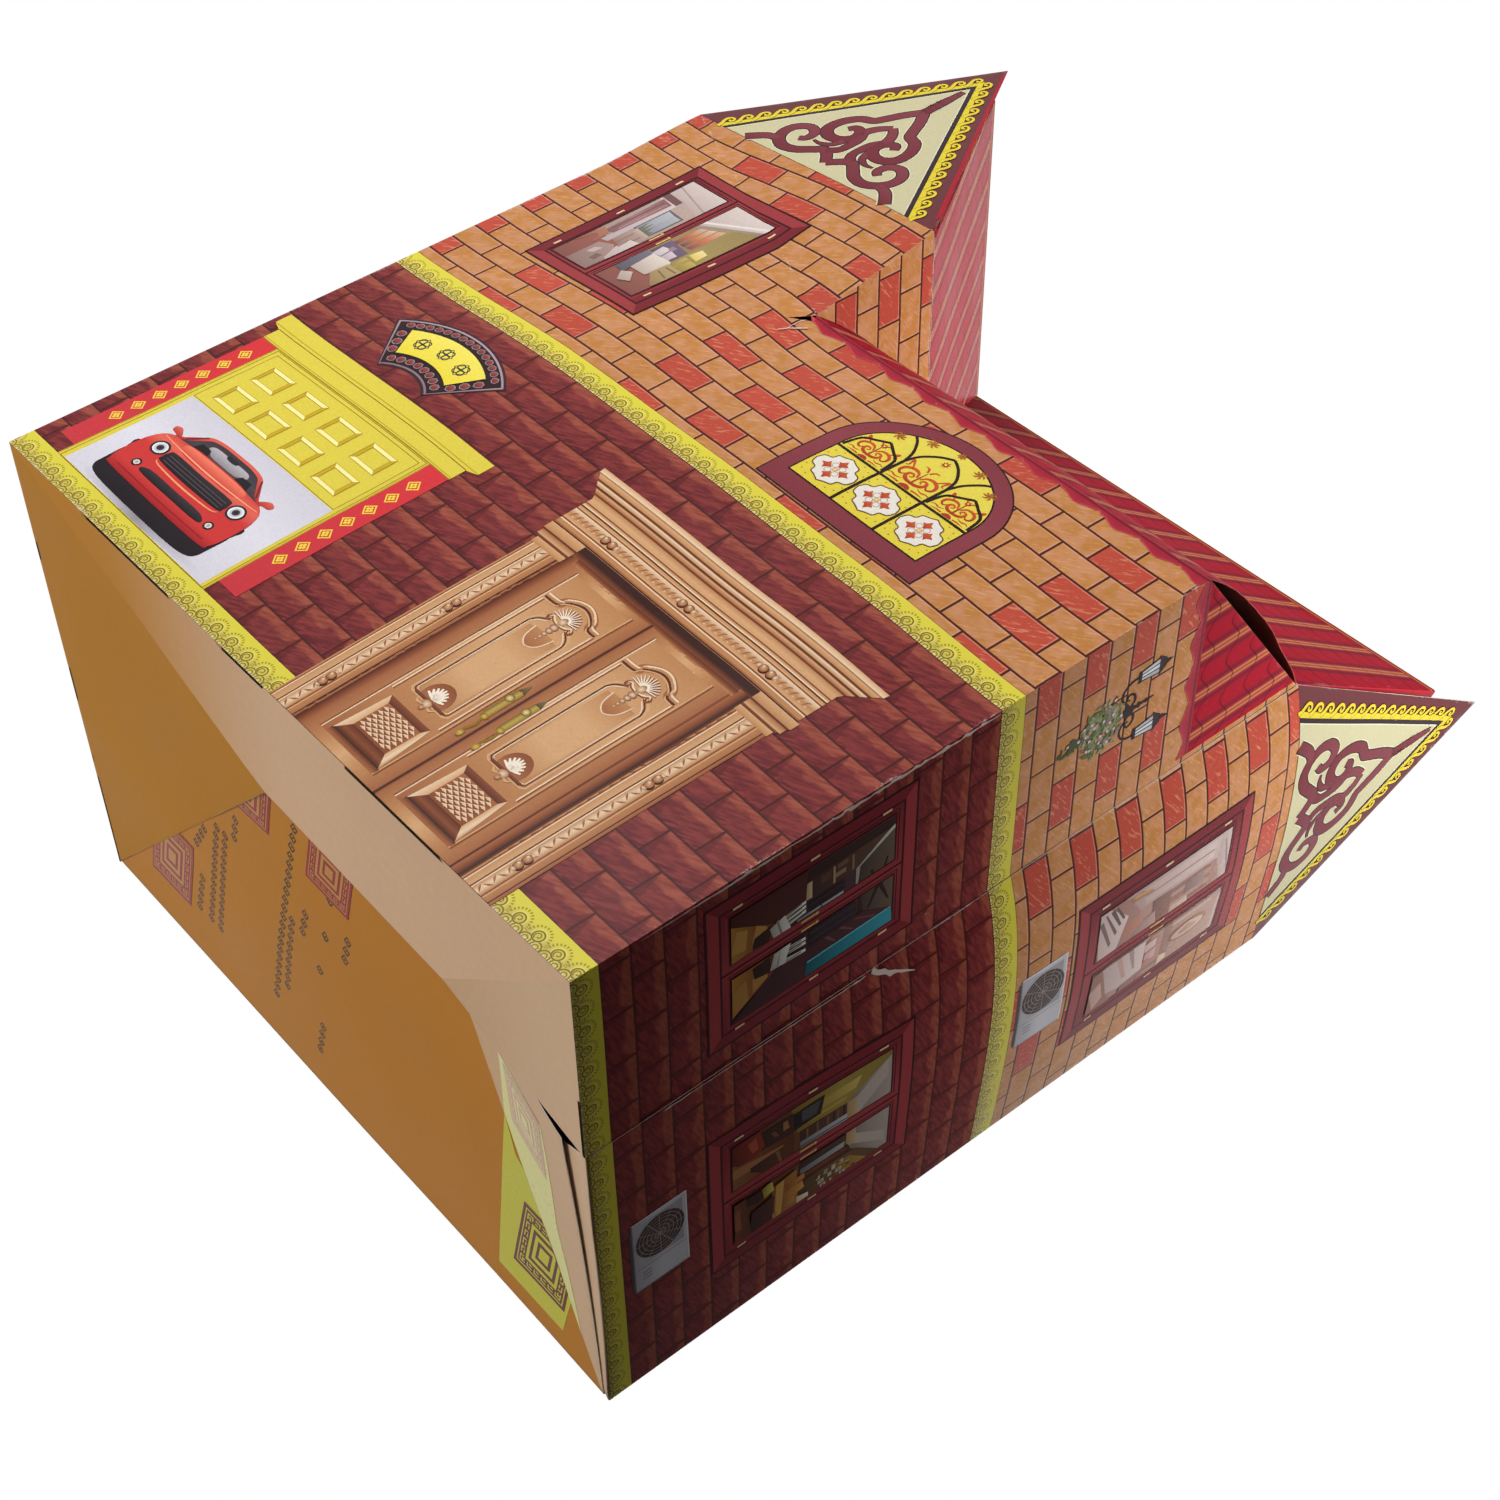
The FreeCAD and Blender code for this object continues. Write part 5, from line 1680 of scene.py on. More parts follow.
# Fields of each room in whole percents of the window: outlines as x, z, x, z ... or the low left and high
# right corners of a rectangle, each with its inks from below upwards.
ROOMS: dict[Room, tuple] = {
    Room.BEDROOM: (
        ((6, 5, 88, 2, 88, 92, 6, 96), "#947b70", "#bca69d"),
        ((6, 5, 88, 2, 88, 19, 71, 29, 50, 32, 6, 34), "#7f4f48", "#975e52"),
        ((6, 96, 44, 94, 44, 71, 23, 76, 6, 76), "#b5a29d", "#cfbfba"),
        ((8, 84, 44, 76, 44, 75, 8, 83), "#a6928d"), ((10, 72, 24, 71, 24, 75, 10, 76), "#725251"),
        ((9, 70, 25, 71), "#ccbebb"),
        ((13, 71, 23, 70, 21, 50, 22, 38, 15, 35, 14, 50), "#7f5958", "#9b7372", "#886161"),
        ((16, 39, 17, 69), "#745051"), ((19, 41, 20, 69), "#aa8483"),
        ((22, 71, 25, 70, 26, 31, 21, 30), "#b3a1a1", "#cfbfbe"),
        ((25, 46, 39, 45, 39, 66, 25, 67), "#675c5f"),
        ((26, 47, 32, 46, 32, 65, 26, 66), "#8f9299", "#b2b3b7"), ((32, 46, 38, 65), "#85878c", "#abacb1"),
        ((27, 46, 27, 55, 29, 49, 30, 55, 32, 48, 33, 53, 35, 48, 37, 50, 38, 45), "#656359", "#80806f"),
        ((27, 43, 40, 43, 40, 46, 27, 47), "#a78e85", "#c0aba1"),
        ((26, 44, 41, 44, 41, 34, 26, 33), "#95786e", "#ad9287"), ((30, 33, 31, 43), "#886d63"),
        ((36, 34, 37, 43), "#886d63"),
        ((12, 38, 19, 36, 21, 26, 20, 26, 18, 31, 14, 32, 12, 22, 11, 22), "#945e4e", "#a9745f"),
        ((23, 28, 32, 31, 41, 25, 41, 8, 23, 9), "#8b706a", "#a38b83"),
        ((26, 24, 30, 26, 30, 21, 26, 19), "#bca69d"), ((32, 21, 36, 22, 37, 17, 33, 16), "#79615c"),
        ((33, 38, 44, 40, 44, 20, 39, 21, 34, 31), "#b5a29d", "#d1c1bb"),
        ((33, 38, 35, 38, 36, 31, 34, 31), "#94807c"),
        ((88, 92, 49, 94, 49, 65, 68, 75, 88, 86), "#b8a8a1", "#d3c5be"),
        ((49, 71, 88, 90, 88, 88, 49, 69), "#dfd4cd"), ((49, 67, 68, 76, 88, 86, 88, 84, 49, 64), "#9b887d"),
        ((49, 64, 70, 75, 70, 33, 49, 34), "#8a704e", "#a38a5f"),
        ((70, 75, 88, 84, 88, 15, 70, 33), "#7f6a48", "#9f8a58", "#948054"),
        ((54, 66, 58, 68, 58, 50, 54, 50), "#714a4e", "#c06d51", "#ccb29e"),
        ((59, 68, 63, 70, 63, 51, 59, 51), "#654751", "#c67e54", "#d1bcaa"),
        ((64, 70, 68, 72, 68, 52, 64, 51), "#774d51", "#cc7351", "#ccac93"),
        ((52, 51, 70, 49, 70, 39, 52, 38), "#5d4d5f", "#726176"),
        ((54, 45, 60, 46, 61, 39, 55, 38), "#c0b1b3", "#d7caca"),
        ((61, 45, 68, 44, 68, 37, 62, 38), "#af9ea3", "#cfc0c2"), ((58, 45, 62, 48), "#947e87"),
        ((51, 38, 70, 39, 73, 37, 71, 24, 54, 24, 50, 30), "#b5a499", "#daccc2"),
        ((50, 38, 56, 38, 58, 25, 60, 19, 51, 20), "#5b565f", "#726e79"),
        ((71, 37, 88, 37, 88, 21, 82, 20, 71, 27), "#917852", "#af986e"), ((73, 34, 82, 35), "#7c694b"),
        ((73, 31, 82, 29, 82, 28, 73, 30), "#7c694b"),
        ((72, 46, 88, 45, 88, 37, 72, 37), "#958048", "#bca65c"),
        ((73, 55, 79, 54, 80, 47, 72, 48), "#d4bb59", "#e8d799"),
        ((75, 37, 77, 37, 77, 47, 75, 48), "#a38d51"),
        ((58, 19, 64, 22, 71, 16, 64, 13), "#a99489", "#c2afa4")),
    Room.DINING: (
        ((13, 10, 87, 91), "#2e1614", "#38201e", "#33201e"),
        ((20, 90, 78, 90, 67, 74, 34, 71), "#43342c", "#665648"),
        ((39, 86, 54, 83, 69, 87, 69, 86, 55, 81, 39, 85), "#2c1e1a"),
        ((41, 78, 53, 82, 56, 82, 68, 77, 67, 76, 55, 80, 42, 77), "#2c1e1a"),
        ((34, 45, 67, 71), "#3c262a", "#4a3236"),
        ((20, 89, 22, 90, 34, 72, 46, 71, 46, 70, 33, 70), "#98988e", "#c8c8bc"),
        ((13, 91, 20, 90, 21, 47, 20, 14, 13, 10), "#241210", "#3a2420"), ((14, 11, 15, 89), "#4a2c28"),
        ((18, 30, 18, 30, 18, 89, 18, 89), "#4a2c28"),
        ((21, 87, 34, 70, 34, 46, 22, 47), "#3a2420", "#5e4438"), ((23, 68, 33, 69), "#8a6a50"),
        ((23, 59, 34, 60), "#a88a68"), ((23, 61, 26, 66), "#6e5440"), ((28, 60, 31, 65), "#8c7458"),
        ((24, 53, 29, 58), "#5a3c30"), ((23, 49, 34, 49, 34, 46, 23, 45), "#a08464", "#c8b090"),
        ((35, 64, 42, 65, 43, 48, 36, 47), "#1e1416", "#2e2022"), ((38, 48, 39, 64), "#3e2c30"),
        ((43, 42, 46, 64), "#7c8488", "#b4bcc0"), ((43, 53, 46, 54), "#5a6064"),
        ((55, 70, 66, 71, 67, 48, 55, 47), "#201618", "#31242a"), ((58, 48, 59, 70), "#40303a"),
        ((63, 48, 64, 70), "#40303a"), ((67, 74, 78, 90, 87, 90, 87, 45, 67, 48), "#3e2226", "#4e2e32"),
        ((68, 70, 75, 81, 75, 79, 68, 69), "#6a464a"), ((68, 64, 75, 70, 75, 69, 68, 62), "#6a464a"),
        ((68, 57, 75, 61, 75, 60, 68, 55), "#6a464a"),
        ((76, 88, 87, 89, 87, 46, 77, 47), "#1c5460", "#2f8090", "#3f96a4"),
        ((76, 88, 77, 88, 78, 47, 77, 47), "#6cb4be"),
        ((67, 48, 87, 45, 87, 10, 68, 30), "#331a1e", "#432428"),
        ((13, 47, 34, 46, 36, 31, 19, 10, 13, 10), "#38160f", "#4a2420"),
        ((19, 10, 36, 32, 67, 32, 84, 10), "#a87838", "#8a5428", "#5a3018"),
        ((29, 23, 34, 28, 41, 28, 39, 21), "#b8844a"), ((62, 28, 69, 28, 74, 21, 64, 21), "#b07c44"),
        ((25, 14, 28, 19, 41, 18, 39, 11), "#b48848"), ((62, 18, 76, 19, 80, 13, 66, 11), "#a87c40"),
        ((35, 30, 45, 29, 44, 21, 37, 22), "#1e0e0a", "#331a12"),
        ((56, 29, 67, 30, 65, 22, 57, 21), "#1e0e0a", "#331a12"),
        ((33, 46, 35, 46, 37, 36, 35, 35), "#a8a296", "#e8e4da"),
        ((33, 44, 34, 44, 36, 37, 35, 37), "#7c766c"),
        ((36, 46, 38, 46, 40, 36, 38, 35), "#a8a296", "#e8e4da"),
        ((36, 44, 37, 44, 38, 37, 38, 37), "#7c766c"),
        ((39, 46, 41, 46, 43, 36, 41, 35), "#a8a296", "#e8e4da"),
        ((39, 44, 40, 44, 41, 37, 41, 37), "#7c766c"),
        ((58, 46, 60, 46, 59, 35, 57, 36), "#a8a296", "#e8e4da"), ((58, 37, 59, 44), "#7c766c"),
        ((61, 46, 63, 46, 62, 35, 60, 36), "#a8a296", "#e8e4da"), ((61, 37, 62, 44), "#7c766c"),
        ((66, 46, 68, 46, 67, 35, 64, 36), "#a8a296", "#e8e4da"), ((66, 37, 67, 44), "#7c766c"),
        ((34, 36, 45, 39, 46, 31, 37, 29), "#a09a90", "#e4e0d8"),
        ((34, 33, 45, 35, 45, 34, 35, 32), "#8a847a"),
        ((55, 39, 67, 36, 66, 29, 56, 31), "#a09a90", "#e4e0d8"),
        ((55, 34, 66, 33, 66, 32, 55, 34), "#8a847a")),
    Room.LOUNGE: (
        ((14, 8, 91, 89), "#492514", "#653f23", "#74553a"),
        ((14, 89, 91, 89, 69, 67, 33, 67), "#75655c", "#988982", "#a89a92"),
        ((19, 87, 31, 87, 47, 72, 34, 71), "#b2a49a"), ((60, 70, 74, 87, 82, 87, 68, 70), "#b2a49a"),
        ((33, 72, 69, 72, 68, 67, 33, 67), "#a1835c", "#bda174"),
        ((14, 89, 17, 89, 33, 67, 33, 43, 27, 41, 14, 40), "#765f25", "#9a8542", "#826f36"),
        ((19, 74, 26, 71, 26, 50, 20, 52), "#9a7d30", "#c4ad60"),
        ((28, 67, 30, 66, 30, 45, 28, 45), "#af964e"), ((33, 44, 41, 67), "#3c2317", "#5b3d2c"),
        ((34, 65, 41, 66), "#301b12"), ((34, 62, 41, 63), "#73523a"), ((34, 60, 41, 61), "#301b12"),
        ((34, 57, 41, 58), "#73523a"), ((34, 55, 41, 55, 41, 55, 34, 55), "#301b12"),
        ((34, 52, 41, 53), "#73523a"), ((34, 50, 41, 50, 41, 50, 34, 50), "#301b12"),
        ((34, 47, 41, 48), "#73523a"), ((34, 45, 41, 45, 41, 45, 34, 45), "#301b12"),
        ((41, 44, 48, 67), "#747678", "#b2b4b7"), ((44, 44, 45, 67), "#594c48"),
        ((17, 56, 29, 54, 30, 41, 18, 40), "#180d0a", "#2e1b16"),
        ((19, 54, 27, 52, 27, 45, 19, 45), "#494448"), ((18, 43, 29, 43, 29, 43, 18, 43), "#735230"),
        ((17, 41, 31, 41, 31, 25, 21, 23, 17, 23), "#24100b", "#3c2017"),
        ((19, 38, 25, 39, 25, 36, 19, 36), "#936536"), ((21, 32, 26, 34, 26, 32, 21, 30), "#653f22"),
        ((31, 41, 47, 41, 48, 8, 27, 8), "#805230", "#683a1e", "#512a17"),
        ((35, 36, 39, 36, 38, 11, 31, 11), "#9a6842"),
        ((36, 37, 47, 39, 47, 27, 40, 20, 37, 20), "#30170f", "#57311e"),
        ((37, 34, 46, 35, 46, 34, 37, 32), "#805333"),
        ((14, 25, 27, 27, 31, 22, 30, 14, 21, 8, 14, 8), "#521911", "#822d1e"),
        ((17, 23, 26, 24, 27, 21, 19, 19), "#a14935"), ((56, 44, 62, 67), "#301c16", "#493127"),
        ((62, 44, 66, 66), "#67686a", "#a1a2a4"),
        ((66, 68, 73, 70, 73, 43, 66, 44), "#3a150d", "#602d1b", "#492014"), ((68, 44, 69, 67), "#733f25"),
        ((71, 44, 72, 68), "#2e100a"), ((73, 72, 91, 89, 91, 41, 73, 42), "#3d2a17", "#674c2c", "#573f23"),
        ((76, 69, 87, 79, 87, 68, 76, 61), "#805f29", "#a8833d"), ((75, 64, 78, 66), "#b6a990"),
        ((76, 64, 77, 65), "#594633"), ((79, 67, 82, 69), "#b6a990"), ((80, 67, 82, 69), "#594633"),
        ((84, 70, 87, 72), "#b6a990"), ((84, 70, 86, 72), "#594633"), ((75, 60, 79, 62), "#b6a990"),
        ((76, 61, 78, 61, 78, 61, 76, 61), "#594633"), ((80, 62, 83, 65), "#b6a990"),
        ((81, 63, 82, 64), "#594633"), ((84, 64, 87, 67), "#b6a990"), ((85, 65, 86, 66), "#594633"),
        ((75, 56, 78, 58), "#b6a990"), ((76, 56, 77, 58), "#594633"), ((79, 58, 82, 60), "#b6a990"),
        ((79, 59, 82, 59, 82, 59, 79, 59), "#594633"), ((84, 59, 87, 61), "#b6a990"),
        ((84, 60, 86, 61), "#594633"), ((76, 52, 79, 54), "#b6a990"), ((76, 52, 78, 53), "#594633"),
        ((80, 53, 83, 56), "#b6a990"), ((81, 54, 82, 55), "#594633"), ((84, 54, 87, 57), "#b6a990"),
        ((85, 55, 86, 56), "#594633"), ((59, 42, 91, 43, 91, 29, 62, 30), "#74461e", "#a16b35"),
        ((66, 46, 70, 46, 72, 37, 66, 36), "#82491e", "#b97d3a"),
        ((71, 45, 77, 46, 79, 36, 72, 35), "#905725", "#c78e48"),
        ((78, 41, 91, 42, 91, 35, 80, 34), "#805229", "#b68348"),
        ((61, 36, 91, 34, 91, 31, 62, 32), "#bd8e4e"),
        ((68, 31, 91, 30, 91, 18, 71, 20), "#25100b", "#442119"),
        ((82, 32, 88, 32, 89, 30, 82, 30), "#a17941"),
        ((56, 30, 64, 31, 66, 26, 58, 25), "#806b25", "#c4b055"),
        ((58, 25, 66, 25, 64, 17, 58, 17), "#1b0d0a", "#301912"),
        ((56, 17, 91, 20, 91, 8, 56, 8), "#653620", "#492316"), ((62, 14, 78, 15, 78, 12, 62, 10), "#804c31"),
        ((83, 48, 86, 48, 88, 42, 81, 42), "#c8b78c", "#e5d9c0"), ((84, 37, 85, 42), "#80683d")),
    # The kitchen's inks are blended toward a pale pink-brown: a painted veil of reflection from the glossy
    # film.
    Room.KITCHEN: (
        ((14, 10, 92, 92), "#9e776c", "#b59289", "#bda199"),
        ((14, 92, 50, 92, 50, 84, 27, 80, 14, 82), "#b59f9a", "#c9b5b0"),
        ((19, 85, 50, 89, 50, 88, 20, 84), "#9f8781"),
        ((14, 82, 29, 80, 29, 36, 14, 29), "#ab908a", "#c7afaa"),
        ((16, 79, 27, 78, 27, 39, 16, 36), "#bca19b", "#d1bbb5"), ((21, 38, 22, 78), "#9f837e"),
        ((29, 80, 50, 84, 50, 48, 29, 48), "#9f786c", "#b08b80"), ((30, 54, 32, 77), "#967166"),
        ((33, 54, 35, 77), "#ba968a"), ((37, 54, 38, 77), "#967166"), ((40, 54, 42, 77), "#ba968a"),
        ((43, 54, 45, 76), "#967166"), ((47, 54, 48, 76), "#ba968a"),
        ((31, 73, 39, 74, 39, 62, 31, 62), "#8a6d66", "#a48d8a"),
        ((42, 64, 47, 65, 47, 54, 42, 54), "#c4a193", "#d6baae"),
        ((29, 54, 50, 54, 50, 45, 29, 43), "#815e55", "#957166"),
        ((16, 36, 20, 43, 21, 42, 20, 32, 23, 23, 20, 22, 17, 29), "#8a6352", "#b08366"),
        ((16, 32, 18, 41, 19, 40, 18, 31), "#c49a66"),
        ((14, 27, 29, 36, 50, 32, 50, 10, 14, 10), "#956d62", "#a47e76"),
        ((37, 45, 50, 47, 50, 32, 39, 34), "#9a776d", "#b8988f"),
        ((32, 36, 39, 39, 43, 30, 37, 23, 31, 27), "#9e6b5c", "#ba8675"),
        ((14, 18, 27, 29, 50, 23, 50, 14, 31, 12, 14, 10), "#bea6a0", "#d1bcb7"),
        ((15, 22, 26, 27, 27, 26, 16, 21), "#634e4c"), ((15, 20, 29, 25, 30, 24, 16, 18), "#634e4c"),
        ((16, 16, 33, 23, 35, 22, 16, 15), "#6d5755"), ((19, 14, 39, 20, 41, 19, 20, 12), "#77615f"),
        ((57, 92, 92, 92, 92, 84, 60, 86), "#baa29b", "#ccb6af"),
        ((57, 86, 92, 84, 92, 43, 57, 46), "#ab877b", "#bd9b8e"), ((59, 48, 61, 82), "#c6a99d"),
        ((87, 48, 89, 82), "#9e7b6f"), ((57, 59, 92, 60, 92, 54, 57, 54), "#967165", "#a68276"),
        ((59, 54, 80, 54, 82, 45, 60, 44), "#9f7167", "#b88c84"),
        ((61, 50, 67, 50, 68, 44, 62, 43), "#c4a19a", "#d6b7b2"),
        ((69, 51, 76, 51, 77, 45, 70, 44), "#b89089", "#ceaba4"),
        ((74, 48, 81, 48, 81, 42, 75, 42), "#9e675f", "#ba7e75"),
        ((57, 43, 80, 44, 84, 36, 80, 23, 57, 18), "#b09893", "#d1bbb5"),
        ((57, 36, 74, 39, 75, 38, 57, 33), "#a08781"), ((57, 29, 76, 34, 77, 32, 57, 26), "#ba928a"),
        ((80, 45, 92, 46, 92, 30, 82, 32), "#8a6358", "#9f776b"), ((83, 41, 91, 42), "#805c51"),
        ((81, 59, 85, 59, 87, 54, 79, 54), "#d3b59a", "#e6cfba"), ((82, 45, 84, 54), "#9e7e70"),
        ((57, 18, 80, 23, 92, 29, 92, 10, 57, 10), "#8b6257", "#9e7266"),
        ((66, 18, 80, 21, 86, 16, 70, 12), "#ae8b80", "#bf9f94"),
        ((77, 70, 76, 65, 75, 62, 73, 59, 71, 59, 68, 59, 66, 62, 65, 65, 65, 70, 65, 74, 66, 77, 68, 80, 71,
          81, 73, 80, 75, 77, 76, 74), "#956b5c", "#b08670"),
        ((75, 70, 75, 66, 74, 63, 73, 61, 71, 60, 69, 61, 68, 63, 67, 66, 66, 70, 67, 73, 68, 76, 69, 78, 71,
          79, 73, 78, 74, 76, 75, 73), "#c4a18e", "#d6baa9"),
        ((73, 70, 73, 67, 72, 65, 71, 64, 70, 65, 69, 67, 68, 70, 69, 72, 70, 74, 71, 75, 72, 74, 73, 72),
         "#ab8675", "#c49f8c")),
    }


@dataclass(frozen=True)
class CasementWindow(Picture):
    """Two-light window in a red-brown frame, with a room behind it.

    Attributes:
        room: The room that is seen.
        width: Width over the frame, in millimetres.
        height: Height over the frame.
        panes: Left and right edges of the two panes, in shares of the width.
        rise: Lower and upper edges of the panes, in shares of the height.
    """

    room: Room
    width: float = 83.0
    height: float = 102.5
    panes: tuple[float, float, float, float] = (0.158, 0.462, 0.552, 0.852)
    rise: Point = (0.115, 0.887)
    frame: str = "#74242b"
    light: str = "#96383c"
    dark: str = "#3a0f16"

    def draw(self, on: Print) -> None:
        """Draws the frame, the lights and their fittings; see Picture.draw."""
        wide, high = self.width, self.height
        middle = wide * (self.panes[1] + self.panes[2]) / 2
        base, top = (share * high for share in self.rise)
        left, right = wide * self.panes[0], wide * self.panes[3]
        on.bar((0, 0), (wide, high), "#2b0b10", level=1)
        on.frame((1.0, 1.0), (wide - 1.0, high - 1.0), 5.6, self.light, self.frame, self.light, self.frame,
                 level=2)
        on.frame((6.4, 6.4), (wide - 6.4, high - 6.4), 1.0, self.dark, level=3)
        on.bar((7.2, 7.2), (wide - 7.2, high - 7.2), self.frame, self.light, self.frame, along="u", level=2)
        for x0, x1 in (self.panes[:2], self.panes[2:]):
            low, tall = Vector((x0 * wide, base)), Vector((x1 * wide, top))
            edge = Vector((0.9, 0.9))
            on.frame(low - 2.4 * edge, tall + 2.4 * edge, 0.5, self.dark, self.light, self.light, self.dark,
                     level=3)
            on.bar(low - edge, tall + edge, self.dark, level=3)
            self.look_in(on, (*low, *tall))
        on.bar((middle - 0.6, 7.2), (middle + 0.5, high - 7.2), self.dark, level=4)
        for x in (left - 4.4, right + 3.4):
            for share in (0.15, 0.505, 0.845):
                on.bar((x, high * share - 2.2), (x + 1.1, high * share + 2.2), "#c8a468", "#efdcb4",
                       along="u", level=6)
        for x in (middle - 2.9, middle + 1.9):
            on.bar((x, high * 0.44), (x + 1.0, high * 0.52), "#b98a3c", "#f0d590", along="u", level=7)
            on.disc((x + 0.5, high * 0.515), 0.9, "#f3dc9c", "#a87a30", level=8, parts=9)

    def look_in(self, on: Print, pane: tuple) -> None:
        """Draws what is seen of the room through one pane, given as left, base, right and top."""
        x0, z0, x1, z1 = pane
        for number, (outline, *inks) in enumerate(ROOMS[self.room]):
            if len(outline) == 4:
                a, b, c, d = outline
                outline = (a, b, c, b, c, d, a, d)
            spots = [(x * self.width / 100, z * self.height / 100)
                     for x, z in zip(outline[::2], outline[1::2])]
            for axis, edge, keep in ((0, x0, 1), (0, x1, -1), (1, z0, 1), (1, z1, -1)):
                spots = self.cut(spots, axis, edge, keep)
            if len(spots) > 2:
                on.shape(spots, *inks, level=4 + number * 0.22)

    @staticmethod
    def cut(spots: list[Point], axis: int, edge: float, keep: int) -> list[Point]:
        """Cuts an outline off at a straight edge; keep says on which side it stays."""
        kept = []
        for here, after in zip(spots, spots[1:] + spots[:1]):
            inside, next_in = ((point[axis] - edge) * keep > 1e-6 for point in (here, after))
            if inside:
                kept.append(here)
            if inside != next_in:
                share = (edge - here[axis]) / (after[axis] - here[axis])
                kept.append(tuple(here[i] + (after[i] - here[i]) * share for i in (0, 1)))
        return kept


@dataclass(frozen=True)
class ArchedWindow(Picture):
    """Arched window of painted glass: flower tiles below, pointed lights with scrolls above."""

    frame: str = "#7d363f"
    lead: str = "#2c1a18"
    glass: str = "#dcc943"
    red: str = "#a8392a"
    fit: Point = (0.96, 1.03)

    def draw(self, on: Print) -> None:
        """Draws the window and fits it to its place; see Picture.draw."""
        self.drawn(on)
        bmesh.ops.transform(on.mesh, matrix=Matrix.Diagonal((*self.fit, 1, 1)), verts=on.mesh.verts,
                            space=Matrix.Translation((-270.5, -221.4, 0)))

    def drawn(self, on: Print) -> None:
        """Draws frame, glass, leads and ornaments."""
        for level, (half, base, rise, *inks) in enumerate((
                (47.2, 221.4, 38.6, self.lead), (46.5, 222.1, 37.9, self.frame, "#884048", self.frame),
                (39.0, 231.4, 31.4, self.lead), (38.2, 232.2, 30.6, self.glass, "#e0cf55")), start=1):
            on.shape([(270.5 - half, base), (270.5 + half, base),
                      *arc((270.5, 261), (half, rise), 0, 180, 30)], *inks, level=level)
        for x in (257.8, 283.4):
            on.bar((x - 0.75, 232), (x + 0.75, 270.5), self.lead, level=8)
        on.bar((232.3, 256.8), (308.7, 258.1), self.lead, level=8)
        for x in (245.0, 270.6, 296.2):
            self.tile(on, (x, 245.0))
            self.scroll(on, (x, 258), 1.16 if x == 270.6 else 0.98)
        self.pointed(on, 270.6, 12.8, 270.4, 286.6, 258)
        for x in (245.0, 296.2):
            self.pointed(on, x, 12.0, 262.5, 274.6, 258)
        on.flip = 270.6
        on.stroke(curve([(257.8, 270.4), (255.8, 277), (251.5, 283), (247.8, 286)], 4), 1.3, self.lead,
                  level=8)
        for x, z in ((256.5, 287.2), (243.5, 280.5)):
            self.spray(on, (x, z), 0.75)
        on.flip = None
        self.spray(on, (270.6, 290.2), 0.5)
        for x, z in ((270.6, 281.6), (245.2, 270.9), (296.0, 270.9)):
            self.star(on, (x, z), 2.1 if x == 270.6 else 1.6)

    def pointed(self, on: Print, x: float, half: float, spring: float, top: float, base: float) -> None:
        """Lead of one pointed light."""
        foot = base + 1 if spring < 265 else spring
        line = curve([(x - half, foot), (x - half * 0.86, spring + (top - spring) * 0.42),
                      (x - half * 0.45, top - 3.4), (x, top)], 4)
        on.flip = x
        on.stroke(line, 1.35, self.lead, level=8)
        on.flip = None

    def tile(self, on: Print, centre: Point) -> None:
        """White four-lobed tile with a red floret, on a dotted ground."""
        x, z = centre
        lobes = [(11.4, 0), (10.2, 3.4), (7.0, 4.6), (6.2, 7.4), (3.2, 8.4), (0, 9.9)]
        quarter = curve([(x + a, z + b) for a, b in lobes], 3)
        top = quarter + [(2 * x - a, b) for a, b in reversed(quarter[:-1])]
        loop = top + [(a, 2 * z - b) for a, b in reversed(top[1:-1])]
        on.shape(loop, "#e2dcd2", level=6)
        on.stroke([*loop, loop[0]], 0.6, "#6d4a34", level=7)
        petal = ((-2.7, 0), (-0.9, 1.4), (0.2, 2.8), (0.9, 1.2), (3.0, 0), (0.9, -1.2), (0.2, -2.8),
                 (-0.9, -1.4))
        for angle in (0, 90, 180, 270):
            spot, turn = Vector(ring(centre, (4.9, 4.5), angle)), Matrix.Rotation(math.radians(angle), 2)
            on.shape([tuple(spot + turn @ Vector(corner)) for corner in petal], self.red, "#c9603a", level=7)
            on.stroke(arc(ring(centre, 3.0, angle + 45), 1.5, 0, 360, 10), 0.35, "#b59a84", level=7)
        on.disc(centre, 1.3, "#f2dfb0", "#c98a4a", level=8, parts=10)
        for a, b in ((10, 9), (6.2, 10.4), (11, 5.6)):
            for right, up in ((-a, b), (a, b), (-a, -b), (a, -b)):
                on.disc((x + right, z + up), 0.42, "#a8862a", level=5, parts=6)

    def scroll(self, on: Print, base: Point, size: float) -> None:
        """Red scrolls rising from a half flower, mirrored about the middle of a light."""
        x, z = base
        on.shape(arc((x, z + 0.4), (2.7 * size, 2.2 * size), 180, 0, 10), self.red, level=6)
        on.flip = x
        for points, widths in (
                ([(0.5, 4), (2.4, 4.2), (4.4, 5.4), (4.6, 7.6), (2.8, 8.2), (2.0, 6.8), (3.2, 6.2)],
                 (1.3, 1.6, 1.3, 0.8, 0.5)),
                ([(0.8, 7.6), (2.2, 10), (5.2, 10.6), (8.0, 9.0), (8.4, 6.4), (6.6, 5.2), (5.4, 6.6)],
                 (0.6, 1.4, 1.5, 1.0, 0.4)),
                ([(5.6, 9.8), (7.4, 12.4), (9.2, 14.2), (8.6, 11.0), (9.8, 10.4)], (0.4, 1.1, 0.2)),
                ([(0.6, 12.4), (1.8, 14.4), (3.6, 14.6)], (0.8, 0.8, 0.2)),
                ([(4.2, 3.6), (6.6, 2.8), (9.0, 3.4), (10.8, 2.6)], (0.2, 0.7, 0.2)),
                ([(3.4, 1.2), (6.0, 1.4), (9.6, 1.0)], (0.8, 0.7, 0.1))):
            on.stroke(curve([(x + a * size, z + b * size) for a, b in points], 4), [w * size for w in widths],
                      self.red, "#c8592b", level=6)
        on.flip = None
